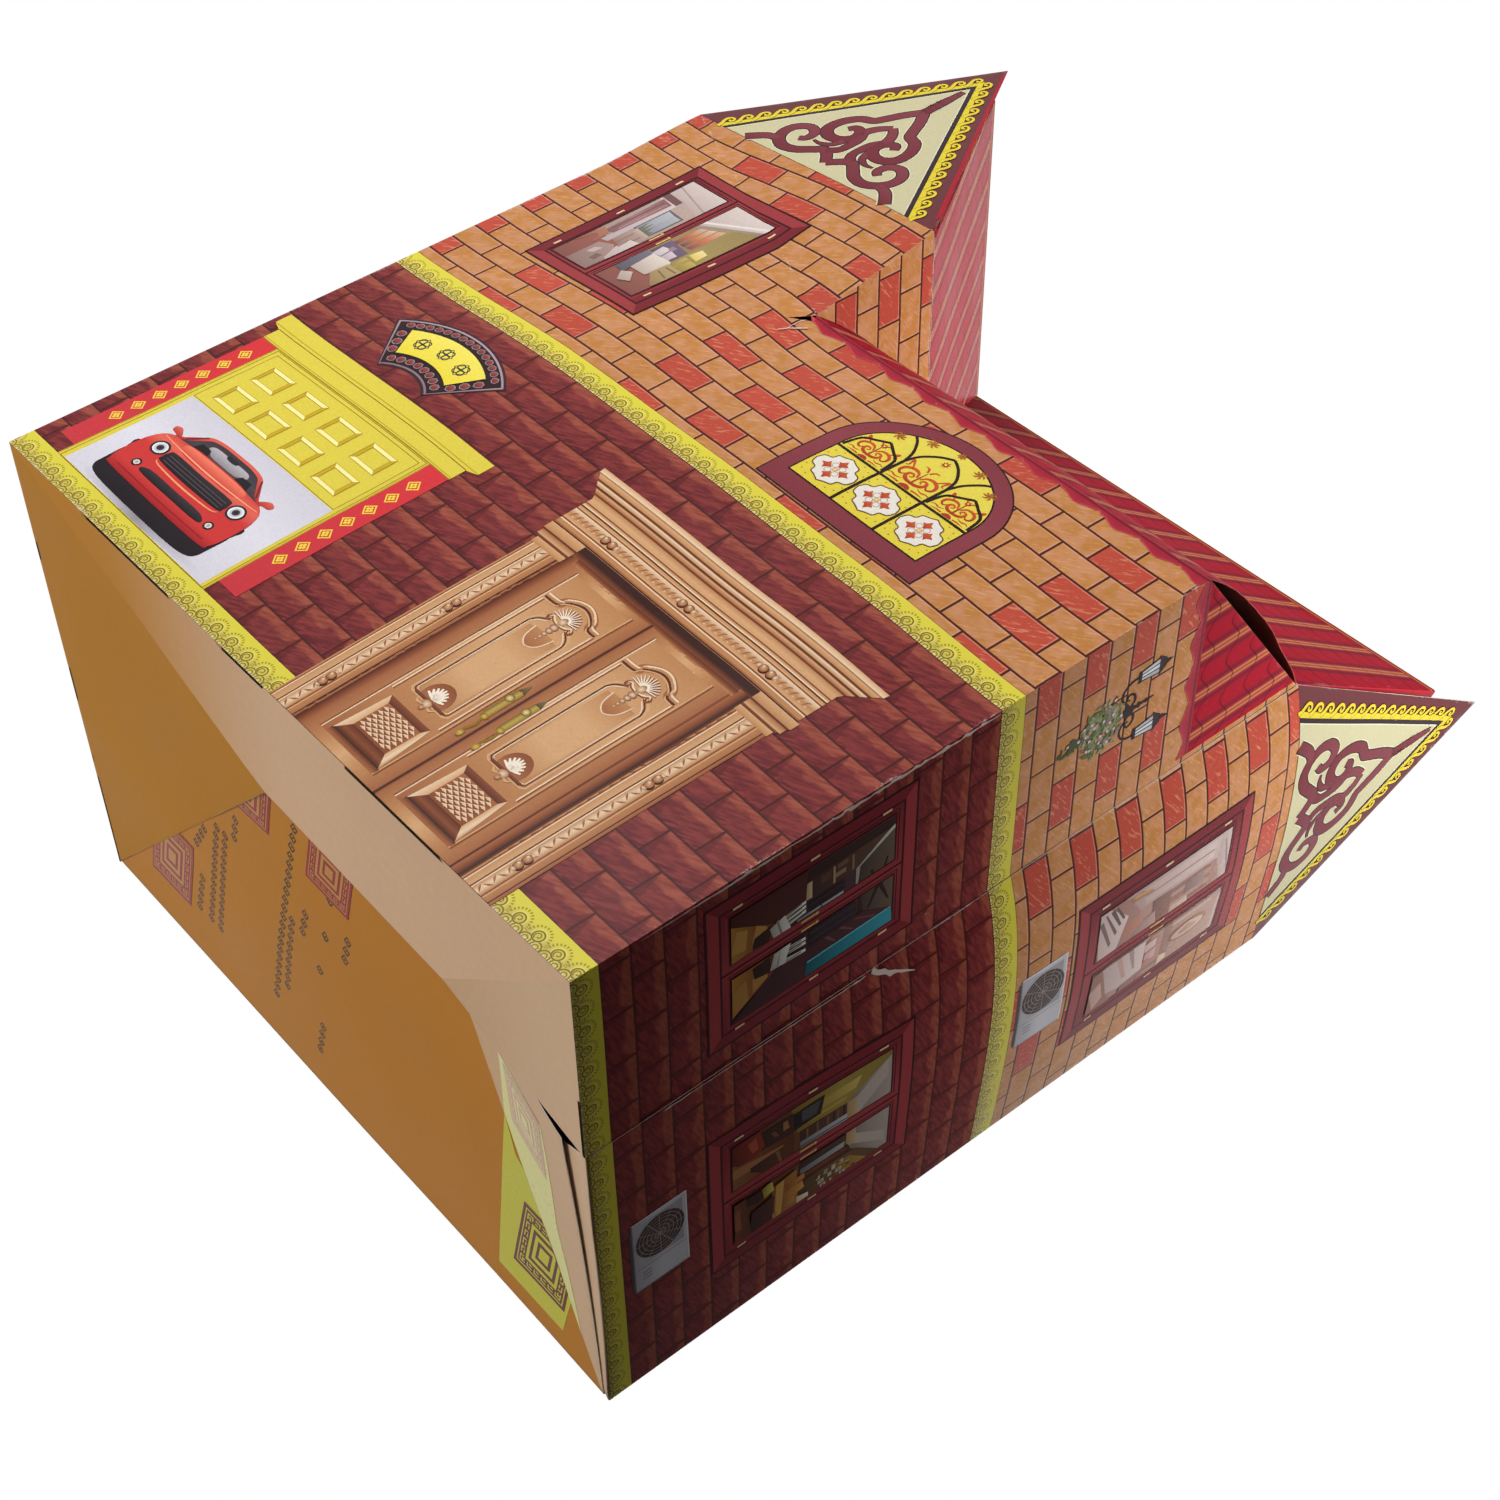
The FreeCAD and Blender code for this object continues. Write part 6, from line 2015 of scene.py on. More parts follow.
        on.stroke([(x, z + 3.2 * size), (x, z + 12 * size)], (1.2, 0.4), self.red, level=6)

    def spray(self, on: Print, spot: Point, size: float) -> None:
        """Small spray of leaves."""
        x, z = spot
        for angle in range(20, 340, 53):
            turn = math.radians(angle)
            on.stroke(curve([(x, z), (x + 2.6 * size * math.cos(turn), z + 2.6 * size * math.sin(turn) + 0.5),
                             (x + 4.6 * size * math.cos(turn + 0.4), z + 3.4 * size * math.sin(turn + 0.4))],
                            3), (0.5, 1.1, 0.1), "#a5642c", level=6)

    def star(self, on: Print, spot: Point, size: float) -> None:
        """Many-pointed red flower."""
        on.shape([ring(spot, (1.15 if i % 2 else 0.5) * size, i * 22.5) for i in range(16)], self.red,
                 level=7)
        on.disc(spot, size * 0.3, "#f2d95a", level=8, parts=8)


@dataclass(frozen=True)
class GableOrnament(Picture):
    """Cream gable with cloud scrolls inside a running-wave border.

    Attributes:
        width: Width of the gable at its foot, in millimetres.
        height: Height of its point over the foot.
        verge: Ink along its right slope, if that has an edge of its own.
    """

    width: float = 163.0
    height: float = 125.0
    verge: str = ""
    ground: str = "#c5be98"
    scroll: str = "#6c2630"
    edge: str = "#33262a"
    yellow: str = "#dcc738"
    shadow: str = "#4c2018"
    pitch: float = 8.7

    def draw(self, on: Print) -> None:
        """Draws the field, the border and the scrolls; see Picture.draw."""
        middle, wide = self.width / 2, self.width
        for half, tone, level in ((67.8, self.yellow, 1), (64.6, self.edge, 2), (61.9, "#dcd7b8", 3),
                                  (61.2, self.ground, 4)):
            on.shape([(middle - half, 0), (middle + half, 0), (middle, half * 1.62)], tone, level=level)
        on.flip = middle
        foot, run = Vector((middle - 67.5, 0.0)), Vector((67.5, 67.5 * 1.62))
        count = round(run.length / self.pitch)
        along = run.normalized()
        out = Vector((-along.y, along.x))
        wave = ((-3.6, -1.2), (-1.4, 0.2), (0.0, 2.2), (1.8, 3.9), (4.2, 3.9), (5.2, 2.2), (4.2, 0.9),
                (2.7, 1.3), (3.0, 2.5))
        for number in range(count):
            start = foot + run * ((number + 0.35) / count)
            hook = curve([tuple(start + along * a + out * b) for a, b in wave], 3)
            on.stroke(hook, (2.6, 2.3, 1.9, 1.9, 1.7), self.shadow, level=2)
            on.stroke(hook, (2.2, 1.8, 1.3, 1.3, 1.1), self.yellow, level=3)
        for level, (rim, *inks) in enumerate(((2.2, "#dcd6b4"), (1.2, self.edge),
                                              (0.0, self.scroll, "#7c3a42")), start=5):
            for points, widths in self.scrolls(middle):
                on.stroke(points, [w * 1.04 + rim for w in widths], *inks, level=level)
        on.flip = None
        if self.verge:
            on.stroke([(wide - 1.8, 2.2), (middle + 1.6, self.height - 3.0)], (3.4, 2.2), self.verge, level=1)

    def scrolls(self, middle: float) -> list[tuple[list[Point], list[float]]]:
        """Middle lines and widths of the left half of the scrollwork."""
        lines = [
            ([(0, 96), (0, 84), (0, 70)], [2.0, 4.6, 5.0]),
            ([(0, 70.5), (-5.5, 62.5), (-9.8, 54), (-12.6, 49.6), (-19, 46.6), (-23.4, 39.4), (-23.6, 31),
              (-18.4, 26.2), (-11.8, 26.8), (-7.6, 31.6), (-8.6, 37.6), (-13.2, 39.8), (-15.8, 36.4)],
             [5.0, 5.0, 4.9, 5.4, 5.6, 5.2, 4.6, 3.4]),
            ([(0, 50.5), (-4.8, 45.6), (-7.2, 39), (-4.4, 33.4), (-3.6, 27), (-4.2, 20.4), (-8.4, 15.8)],
             [3.6, 4.6, 4.6, 4.0, 4.6]),
            ([(0, 8.2), (-5.2, 13.6), (-9.6, 15.8), (-15.4, 11.4), (-20.6, 7.4), (-27.6, 6.0), (-34, 9.2),
              (-37.6, 15.4), (-36.6, 22.2), (-31.2, 26.4), (-25.4, 24.2), (-24.2, 18.4), (-27.4, 15.6)],
             [4.6, 5.0, 5.2, 5.4, 5.2, 4.8, 4.4, 3.2]),
            ([(-34.6, 9.4), (-40.5, 8.0), (-45.6, 3.6), (-48.5, 0.4)], [4.0, 5.0, 5.2]),
            ([(-8.6, 27.4), (-10.6, 21.4), (-15.6, 18.6), (-20.4, 19.0)], [3.6, 2.6, 0.6])]
        return [(curve([(middle + x, z) for x, z in points], 5), widths) for points, widths in lines]


@dataclass(frozen=True)
class WallLanterns(Picture):
    """Two lanterns on a scrolled bracket over a hanging basket of flowers."""

    iron: str = "#2b1d20"
    reach: float = 15.2

    def draw(self, on: Print) -> None:
        """Draws the bracket, both lanterns and the basket; see Picture.draw."""
        on.stroke([(0, 0), (0, 16)], (2.6, 1.0, 0.6), self.iron, level=2)
        for z, size in ((3.5, 2.4), (7.5, 1.7), (11.5, 1.3), (1.0, 3.4)):
            on.disc((0, z), (size, size * 0.7), self.iron, level=2, parts=10)
        on.flip = 0.0
        on.stroke(curve([(0.6, 2), (4, 5), (7.4, 4.4), (8.6, 1.6), (6.4, 0.4), (5.6, 2.2)], 4),
                  (1.4, 1.1, 0.7), self.iron, level=2)
        on.stroke(curve([(3, 1.5), (8, -2.2), (12.6, -1.4), (self.reach, 2.6), (self.reach, 6)], 4),
                  (1.0, 1.1, 1.1), self.iron, level=2)
        x = self.reach
        on.shape([(x - 2.4, 7.2), (x + 2.4, 7.2), (x + 4.0, 17.2), (x - 4.0, 17.2)], "#8f9396", "#dfe3e4",
                 "#aeb2b6", along="u", level=3)
        for side in (-1, -0.33, 0.33, 1):
            on.stroke([(x + side * 2.4, 7.0), (x + side * 4.0, 17.4)], 0.6, self.iron, level=4)
        on.shape([(x - 5.4, 17.0), (x + 5.4, 17.0), (x + 2.2, 21.0), (x - 2.2, 21.0)], "#3b2b2e", self.iron,
                 level=4)
        on.shape([(x - 1.6, 21), (x + 1.6, 21), (x, 25)], self.iron, level=4)
        on.bar((x - 3.0, 5.6), (x + 3.0, 7.4), self.iron, level=4)
        on.flip = None
        on.stroke([(0, 0), (0, -6)], 0.7, self.iron, level=1)
        self.basket(on)

    def basket(self, on: Print) -> None:
        """Leaves and small flowers, thick above and trailing below."""
        greens = ("#46532f", "#5d6c3c", "#78855a", "#8e9566", "#5a5648", "#a5a37c", "#857a6c")
        for number in range(230):
            seed = Vector((number * 1.37, number * 0.71, 5.0))
            angle, far = number * 2.4, math.sqrt((number + 0.5) / 230)
            spot = Vector((math.cos(angle) * 12.0 * far, -13.5 + math.sin(angle) * 10.5 * far))
            spot += Vector((noise.noise(seed), noise.noise(seed * 1.9))) * 4.0
            if number % 7 == 0:
                spot = Vector((spot.x * 0.25, spot.y * 0.4 - 20 - 14 * abs(noise.noise(seed * 1.3))))
            turn, size = noise.noise(seed * 2.7) * 6, 1.5 + noise.noise(seed * 3.1)
            tip = Vector((math.cos(turn), math.sin(turn))) * size * 1.5
            side = Vector((-tip.y, tip.x)) * 0.4
            on.shape([tuple(spot - tip), tuple(spot - side), tuple(spot + tip), tuple(spot + side)],
                     greens[number % len(greens)], level=3 + number % 4)
            if number % 12 == 5:
                on.disc(tuple(spot), 0.9, "#f3e6ea", "#c79ab0", level=8, parts=6)


@dataclass(frozen=True)
class CoolingUnit(Picture):
    """Plain outdoor cooling unit with a round grille."""

    width: float = 44.0
    height: float = 28.0

    def draw(self, on: Print) -> None:
        """Draws the case, the grille and a bare corner panel; see Picture.draw."""
        wide, high = self.width, self.height
        on.bar((2, -1.2), (wide - 2, 0.4), "#4b4346", level=1)
        on.bar((0, 0), (wide, high), "#a9a6ac", "#c9c7cc", "#bfbcc2", level=2)
        on.frame((0, 0), (wide, high), 0.6, "#dddbe0", "#8b888e", "#77747a", "#e6e4e8", level=3)
        on.bar((2.6, 2.2), (28.6, high - 2.2), "#b5b1b6", "#9b979c", level=3)
        on.disc((15.6, high / 2), (12.2, 12.0), "#4e3a36", "#5f4742", "#3c2c2a", level=4, parts=32)
        for radius in (2.6, 4.6, 6.6, 8.6, 10.4, 12.0):
            on.stroke(arc((15.6, high / 2), radius, 0, 360, 28), 0.3, "#9a8f8e", level=5)
        for angle in range(0, 180, 30):
            on.stroke([ring((15.6, high / 2), 11.9, angle + half) for half in (180, 0)], 0.3, "#9a8f8e",
                      level=5)
        on.bar((30.2, 1.6), (30.6, high - 1.6), "#8b888e", level=4)
        for x in (33.4, 35.4, 37.4):
            on.bar((x, 4), (x + 0.6, 8.5), "#8a7f8e", level=4)


@dataclass(frozen=True)
class BareCard(Picture):
    """Pale raw card where a fold is rubbed or the print has torn; some strips are also painted highlights, on
    a rounded fold or a curled edge.

    Attributes:
        tears: Middle line and widths of each bare strip.
        tone: Colour of the raw card.
    """

    tears: tuple[tuple[tuple[Point, ...], tuple[float, ...]], ...]
    tone: str = "#cdbbb3"

    def draw(self, on: Print) -> None:
        """Draws the bare strips with frayed sides; see Picture.draw."""
        for points, widths in self.tears:
            line, frayed = [], []
            for (a, b), (c, d) in zip(points, points[1:]):
                parts = max(2, round(math.hypot(c - a, d - b) / 2.2))
                line += [(a + (c - a) * i / parts, b + (d - b) * i / parts) for i in range(parts)]
            for number, (x, z) in enumerate(line):
                wide = blended(widths, number / len(line))
                drift = noise.noise(Vector((x * 0.9, z * 0.9, 7.0)))
                line[number] = (x + drift * wide * 0.7, z)
                frayed.append(wide * (1 + 1.1 * noise.noise(Vector((x, z * 0.7, 2.0)))))
            on.stroke(line, frayed, self.tone, level=12)


@dataclass(frozen=True)
class EaveScallops(Picture):
    """Row of small red scallops hanging below a roof's edge.

    Attributes:
        length: Length of the row, in millimetres.
        drop: How far it hangs down.
    """

    length: float
    drop: float = 5.2
    pitch: float = 21.4

    def draw(self, on: Print) -> None:
        """Draws the scallops and their dark rim; see Picture.draw."""
        start, rim = 0.0, []
        while start < self.length - 0.1:
            wide = min(self.pitch, self.length - start)
            dip = [(0.0, -0.3), (0.07, -0.5), (0.14, -0.52), (0.26, -0.66), (0.4, -0.9), (0.5, -1.0),
                   (0.6, -0.92), (0.74, -0.68), (0.86, -0.54), (0.93, -0.5), (1.0, -0.3)]
            rim += [(start + x * self.pitch, z * self.drop) for x, z in dip if x * self.pitch <= wide + 0.01]
            start += self.pitch
        on.shape([(0, 1.2), *rim, (rim[-1][0], 1.2)], "#a8283a", "#b0303e", "#8c2434", level=1)
        on.stroke(rim, 0.5, "#c04a52", level=2)
        on.bar((0, -0.5), (rim[-1][0], 0.1), "#6a1a24", level=2)


@dataclass(frozen=True)
class Seal(Picture):
    """Red square seal: a ring of frets round a field of plain fretwork.

    Attributes:
        corners: Its four corners, anticlockwise.
        red: Its ink.
        ground: Colour of the card that shows between.
    """

    corners: tuple[Point, Point, Point, Point]
    red: str = "#8f1414"
    ground: str = "#bc8236"

    def spot(self, a: float, b: float) -> Point:
        """Finds a point by its shares along the seal's two directions."""
        p, q, r, s = (Vector(corner) for corner in self.corners)
        place = p * (1 - a) * (1 - b) + q * a * (1 - b) + r * a * b + s * (1 - a) * b
        return (place.x, place.y)

    def patch(self, on: Print, a0: float, b0: float, a1: float, b1: float, tone: str, level: int) -> None:
        """Draws one block of the seal."""
        on.shape([self.spot(a0, b0), self.spot(a1, b0), self.spot(a1, b1), self.spot(a0, b1)], tone,
                 level=level)

    def draw(self, on: Print) -> None:
        """Draws the ring and the frets; see Picture.draw."""
        self.patch(on, 0, 0, 1, 1, self.red, 2)
        self.patch(on, 0.05, 0.05, 0.95, 0.95, self.ground, 3)
        self.patch(on, 0.07, 0.07, 0.93, 0.93, self.red, 4)
        self.patch(on, 0.2, 0.2, 0.8, 0.8, self.ground, 5)
        for side in range(4):
            for number in range(6):
                low = 0.1 + number * 0.138
                for a0, b0, a1, b1 in ((low, 0.1, low + 0.1, 0.12), (low, 0.12, low + 0.02, 0.17),
                                       (low + 0.04, 0.15, low + 0.1, 0.17)):
                    turned = [(a0, b0, a1, b1), (1 - b1, a0, 1 - b0, a1), (1 - a1, 1 - b1, 1 - a0, 1 - b0),
                              (b0, 1 - a1, b1, 1 - a0)][side]
                    self.patch(on, *turned, self.ground, 5)
        for number, inset in enumerate((0.25, 0.3, 0.36, 0.41)):
            self.patch(on, inset, inset, 1 - inset, 1 - inset, (self.red, self.ground)[number % 2],
                       6 + number)


@dataclass(frozen=True)
class Label(Picture):
    """Plain label printed aslant on the bottom, with a fret frame."""

    corners: tuple[Point, ...]
    seal: Seal
    tone: str = "#c4bd1c"

    def draw(self, on: Print) -> None:
        """Draws the label's field and its frame; see Picture.draw."""
        on.shape(list(self.corners), self.tone, level=0)
        self.seal.draw(on)


@dataclass(frozen=True)
class LozengeColumns(Picture):
    """Columns of small dark lozenges, each with a dot in it."""

    columns: tuple[tuple[Point, Point], ...]
    tone: str = "#3a2616"
    size: float = 2.6
    pitch: float = 7.4

    def draw(self, on: Print) -> None:
        """Draws the columns from their upper ends; see Picture.draw."""
        for start, end in self.columns:
            run = Vector(end) - Vector(start)
            for number in range(int(run.length / self.pitch) + 1):
                spot = Vector(start) + run.normalized() * (number + 0.4) * self.pitch
                ring = [(spot.x + self.size * x, spot.y + self.size * 1.1 * y)
                        for x, y in ((0, 1), (-0.8, 0), (0, -1), (0.8, 0), (0, 1))]
                on.stroke(ring, 0.85, self.tone, level=1)
                on.disc(tuple(spot), 0.6, self.tone, level=1, parts=6)


# ---------------------------------------------------------------- studio
@dataclass(frozen=True)
class Lamp:
    """A soft square lamp.

    Attributes:
        name: The lamp's name.
        direction: Where it stands, seen from the house.
        distance: How far away, in metres.
        size: Its side, in metres.
        strength: Share of full light that it gives a card facing it.
        height: Height of the spot on the house that it is aimed at, in metres.
        spread: Angle of its beam, in degrees.
    """

    name: str
    direction: tuple[float, float, float]
    distance: float
    size: float
    strength: float
    height: float = 0.22
    spread: float = 180.0

    def hang(self) -> None:
        """Adds the lamp to the scene."""
        light = bpy.data.lights.new(self.name, "AREA")
        light.shape = "SQUARE"
        light.size = self.size
        light.spread = math.radians(self.spread)
        light.energy = self.strength * math.pi * math.pi * self.distance * self.distance
        lamp = bpy.data.objects.new(self.name, light)
        direction = Vector(self.direction)
        lamp.location = Vector((0.0, 0.0, self.height)) + direction.normalized() * self.distance
        lamp.rotation_mode = "QUATERNION"
        lamp.rotation_quaternion = direction.to_track_quat("Z", "Y")
        bpy.context.scene.collection.objects.link(lamp)


BACKGROUND_RAYS = ("Is Camera Ray", "Is Glossy Ray", "Is Transmission Ray")     # these see plain white
LAMPS = (Lamp("key", (-0.35, -1.0, 0.12), 2.4, 0.9, 0.95),
         Lamp("side", (0.95, -0.1, 0.4), 0.9, 0.3, 0.11, height=0.42, spread=50.0),
         Lamp("back", (-0.5, 1.0, 0.35), 2.2, 1.2, 0.75),
         Lamp("low", (-0.3, -0.5, -1.0), 2.2, 1.6, 0.6))


@dataclass(frozen=True)
class Studio:
    """Pale floor, soft lamps and the camera.

    Attributes:
        house: The house's sizes.
        camera_place: Where the camera stands, in millimetres from the house's front left corner.
        azimuth: Direction from which the camera looks, in degrees; 0 looks along +Y.
        elevation: Its height over the horizon, in degrees.
        roll: How far the camera is turned about its own axis, in degrees.
        lens: Its focal length, in millimetres.
        framing: How far the lens is shifted to frame the whole house.
        floor_size: Side of the square floor, in metres.
        ambient: Strength of the light from all round.
    """

    house: House
    camera_place: tuple[float, float, float] = (857.0, -657.4, -307.8)
    azimuth: float = 40.812
    elevation: float = -24.674
    roll: float = 60.113
    lens: float = 61.98
    framing: Point = (0.1, -0.033)
    floor_size: float = 6.0
    ambient: float = 0.13

    def floor(self) -> None:
        """Lays a pale floor with an opening under the house, which doesn't hide the house from below."""
        mesh = bmesh.new()
        bmesh.ops.create_grid(mesh, x_segments=1, y_segments=1, size=self.floor_size / 2)
        low, high = self.house.at(2, 2, 0), self.house.at(self.house.width - 2, self.house.depth - 2, 0)
        for place, direction in ((low, (1, 0, 0)), (high, (1, 0, 0)), (low, (0, 1, 0)), (high, (0, 1, 0))):
            bmesh.ops.bisect_plane(mesh, geom=[*mesh.verts, *mesh.edges, *mesh.faces], plane_co=place,
                                   plane_no=direction)
        under = [face for face in mesh.faces if low.x < face.calc_center_median().x < high.x
                 and low.y < face.calc_center_median().y < high.y]
        bmesh.ops.delete(mesh, geom=under, context="FACES")
        floor = add_object("floor", mesh)
        material = bpy.data.materials.new("pale_floor")
        material.use_nodes = True
        material.node_tree.nodes.clear()
        w = Wiring(material.node_tree)
        path = w.add("LightPath").outputs
        grey = w.mix(path["Is Diffuse Ray"], ink("#e9e9e9"), ink("#606060"))
        paper = w.add("BsdfPrincipled", {"Base Color": grey, "Roughness": 0.8, "Specular IOR Level": 0.1})
        away = w.add("VectorMath", {0: w.add("TexCoord").outputs["Object"]},
                     operation="LENGTH").outputs["Value"]
        seen = w.any_of(*(path[name] for name in BACKGROUND_RAYS))
        white = w.add("Emission", {"Color": (1.0, 1.0, 1.0, 1.0), "Strength": 1.0})
        share = w.times(seen, w.spread(away, 0.4, 2.0, 0.6, 1.0))
        pale = w.add("MixShader", {0: share, 1: paper.outputs[0], 2: white.outputs[0]})
        clear = w.add("BsdfTransparent")
        hidden = w.both(path["Is Camera Ray"], w.add("NewGeometry").outputs["Backfacing"])
        shown = w.add("MixShader", {0: hidden, 1: pale.outputs[0], 2: clear.outputs[0]})
        w.add("OutputMaterial", {"Surface": shown.outputs[0]})
        floor.data.materials.append(material)

    def world(self) -> None:
        """White surroundings for the camera and for gloss, and a softer white for light."""
        world = bpy.data.worlds.new("studio")
        bpy.context.scene.world = world
        world.use_nodes = True
        world.node_tree.nodes.clear()
        w = Wiring(world.node_tree)
        path = w.add("LightPath").outputs
        seen = w.any_of(*(path[name] for name in BACKGROUND_RAYS))
        light = w.add("Background", {"Color": (1.0, 0.99, 0.975, 1.0), "Strength": self.ambient})
        white = w.add("Background", {"Color": (1.0, 1.0, 1.0, 1.0), "Strength": 1.0})
        shown = w.add("MixShader", {0: seen, 1: light.outputs[0], 2: white.outputs[0]})
        w.add("OutputWorld", {"Surface": shown.outputs[0]})

    def camera(self) -> None:
        """Sets up the camera, low at the right front corner and turned on its side."""
        data = bpy.data.cameras.new("camera")
        data.sensor_width = 36.0
        data.lens = self.lens
        data.shift_x, data.shift_y = self.framing
        camera = bpy.data.objects.new("camera", data)
        bpy.context.scene.collection.objects.link(camera)
        side, up = math.radians(self.azimuth), math.radians(self.elevation)
        back = Vector((math.sin(side) * math.cos(up), -math.cos(side) * math.cos(up), math.sin(up)))
        level = (-back).to_track_quat("-Z", "Y").to_matrix()
        roll = Matrix.Rotation(math.radians(self.roll), 3, "Z")
        camera.rotation_mode = "QUATERNION"
        camera.rotation_quaternion = (level @ roll).to_quaternion()
        camera.location = self.house.at(*self.camera_place)
        bpy.context.scene.camera = camera

    def build(self) -> None:
        """Builds the floor, the world, the lamps and the camera."""
        self.floor()
        self.world()
        for lamp in LAMPS:
            lamp.hang()
        self.camera()
        bpy.context.scene.view_settings.view_transform = "Standard"


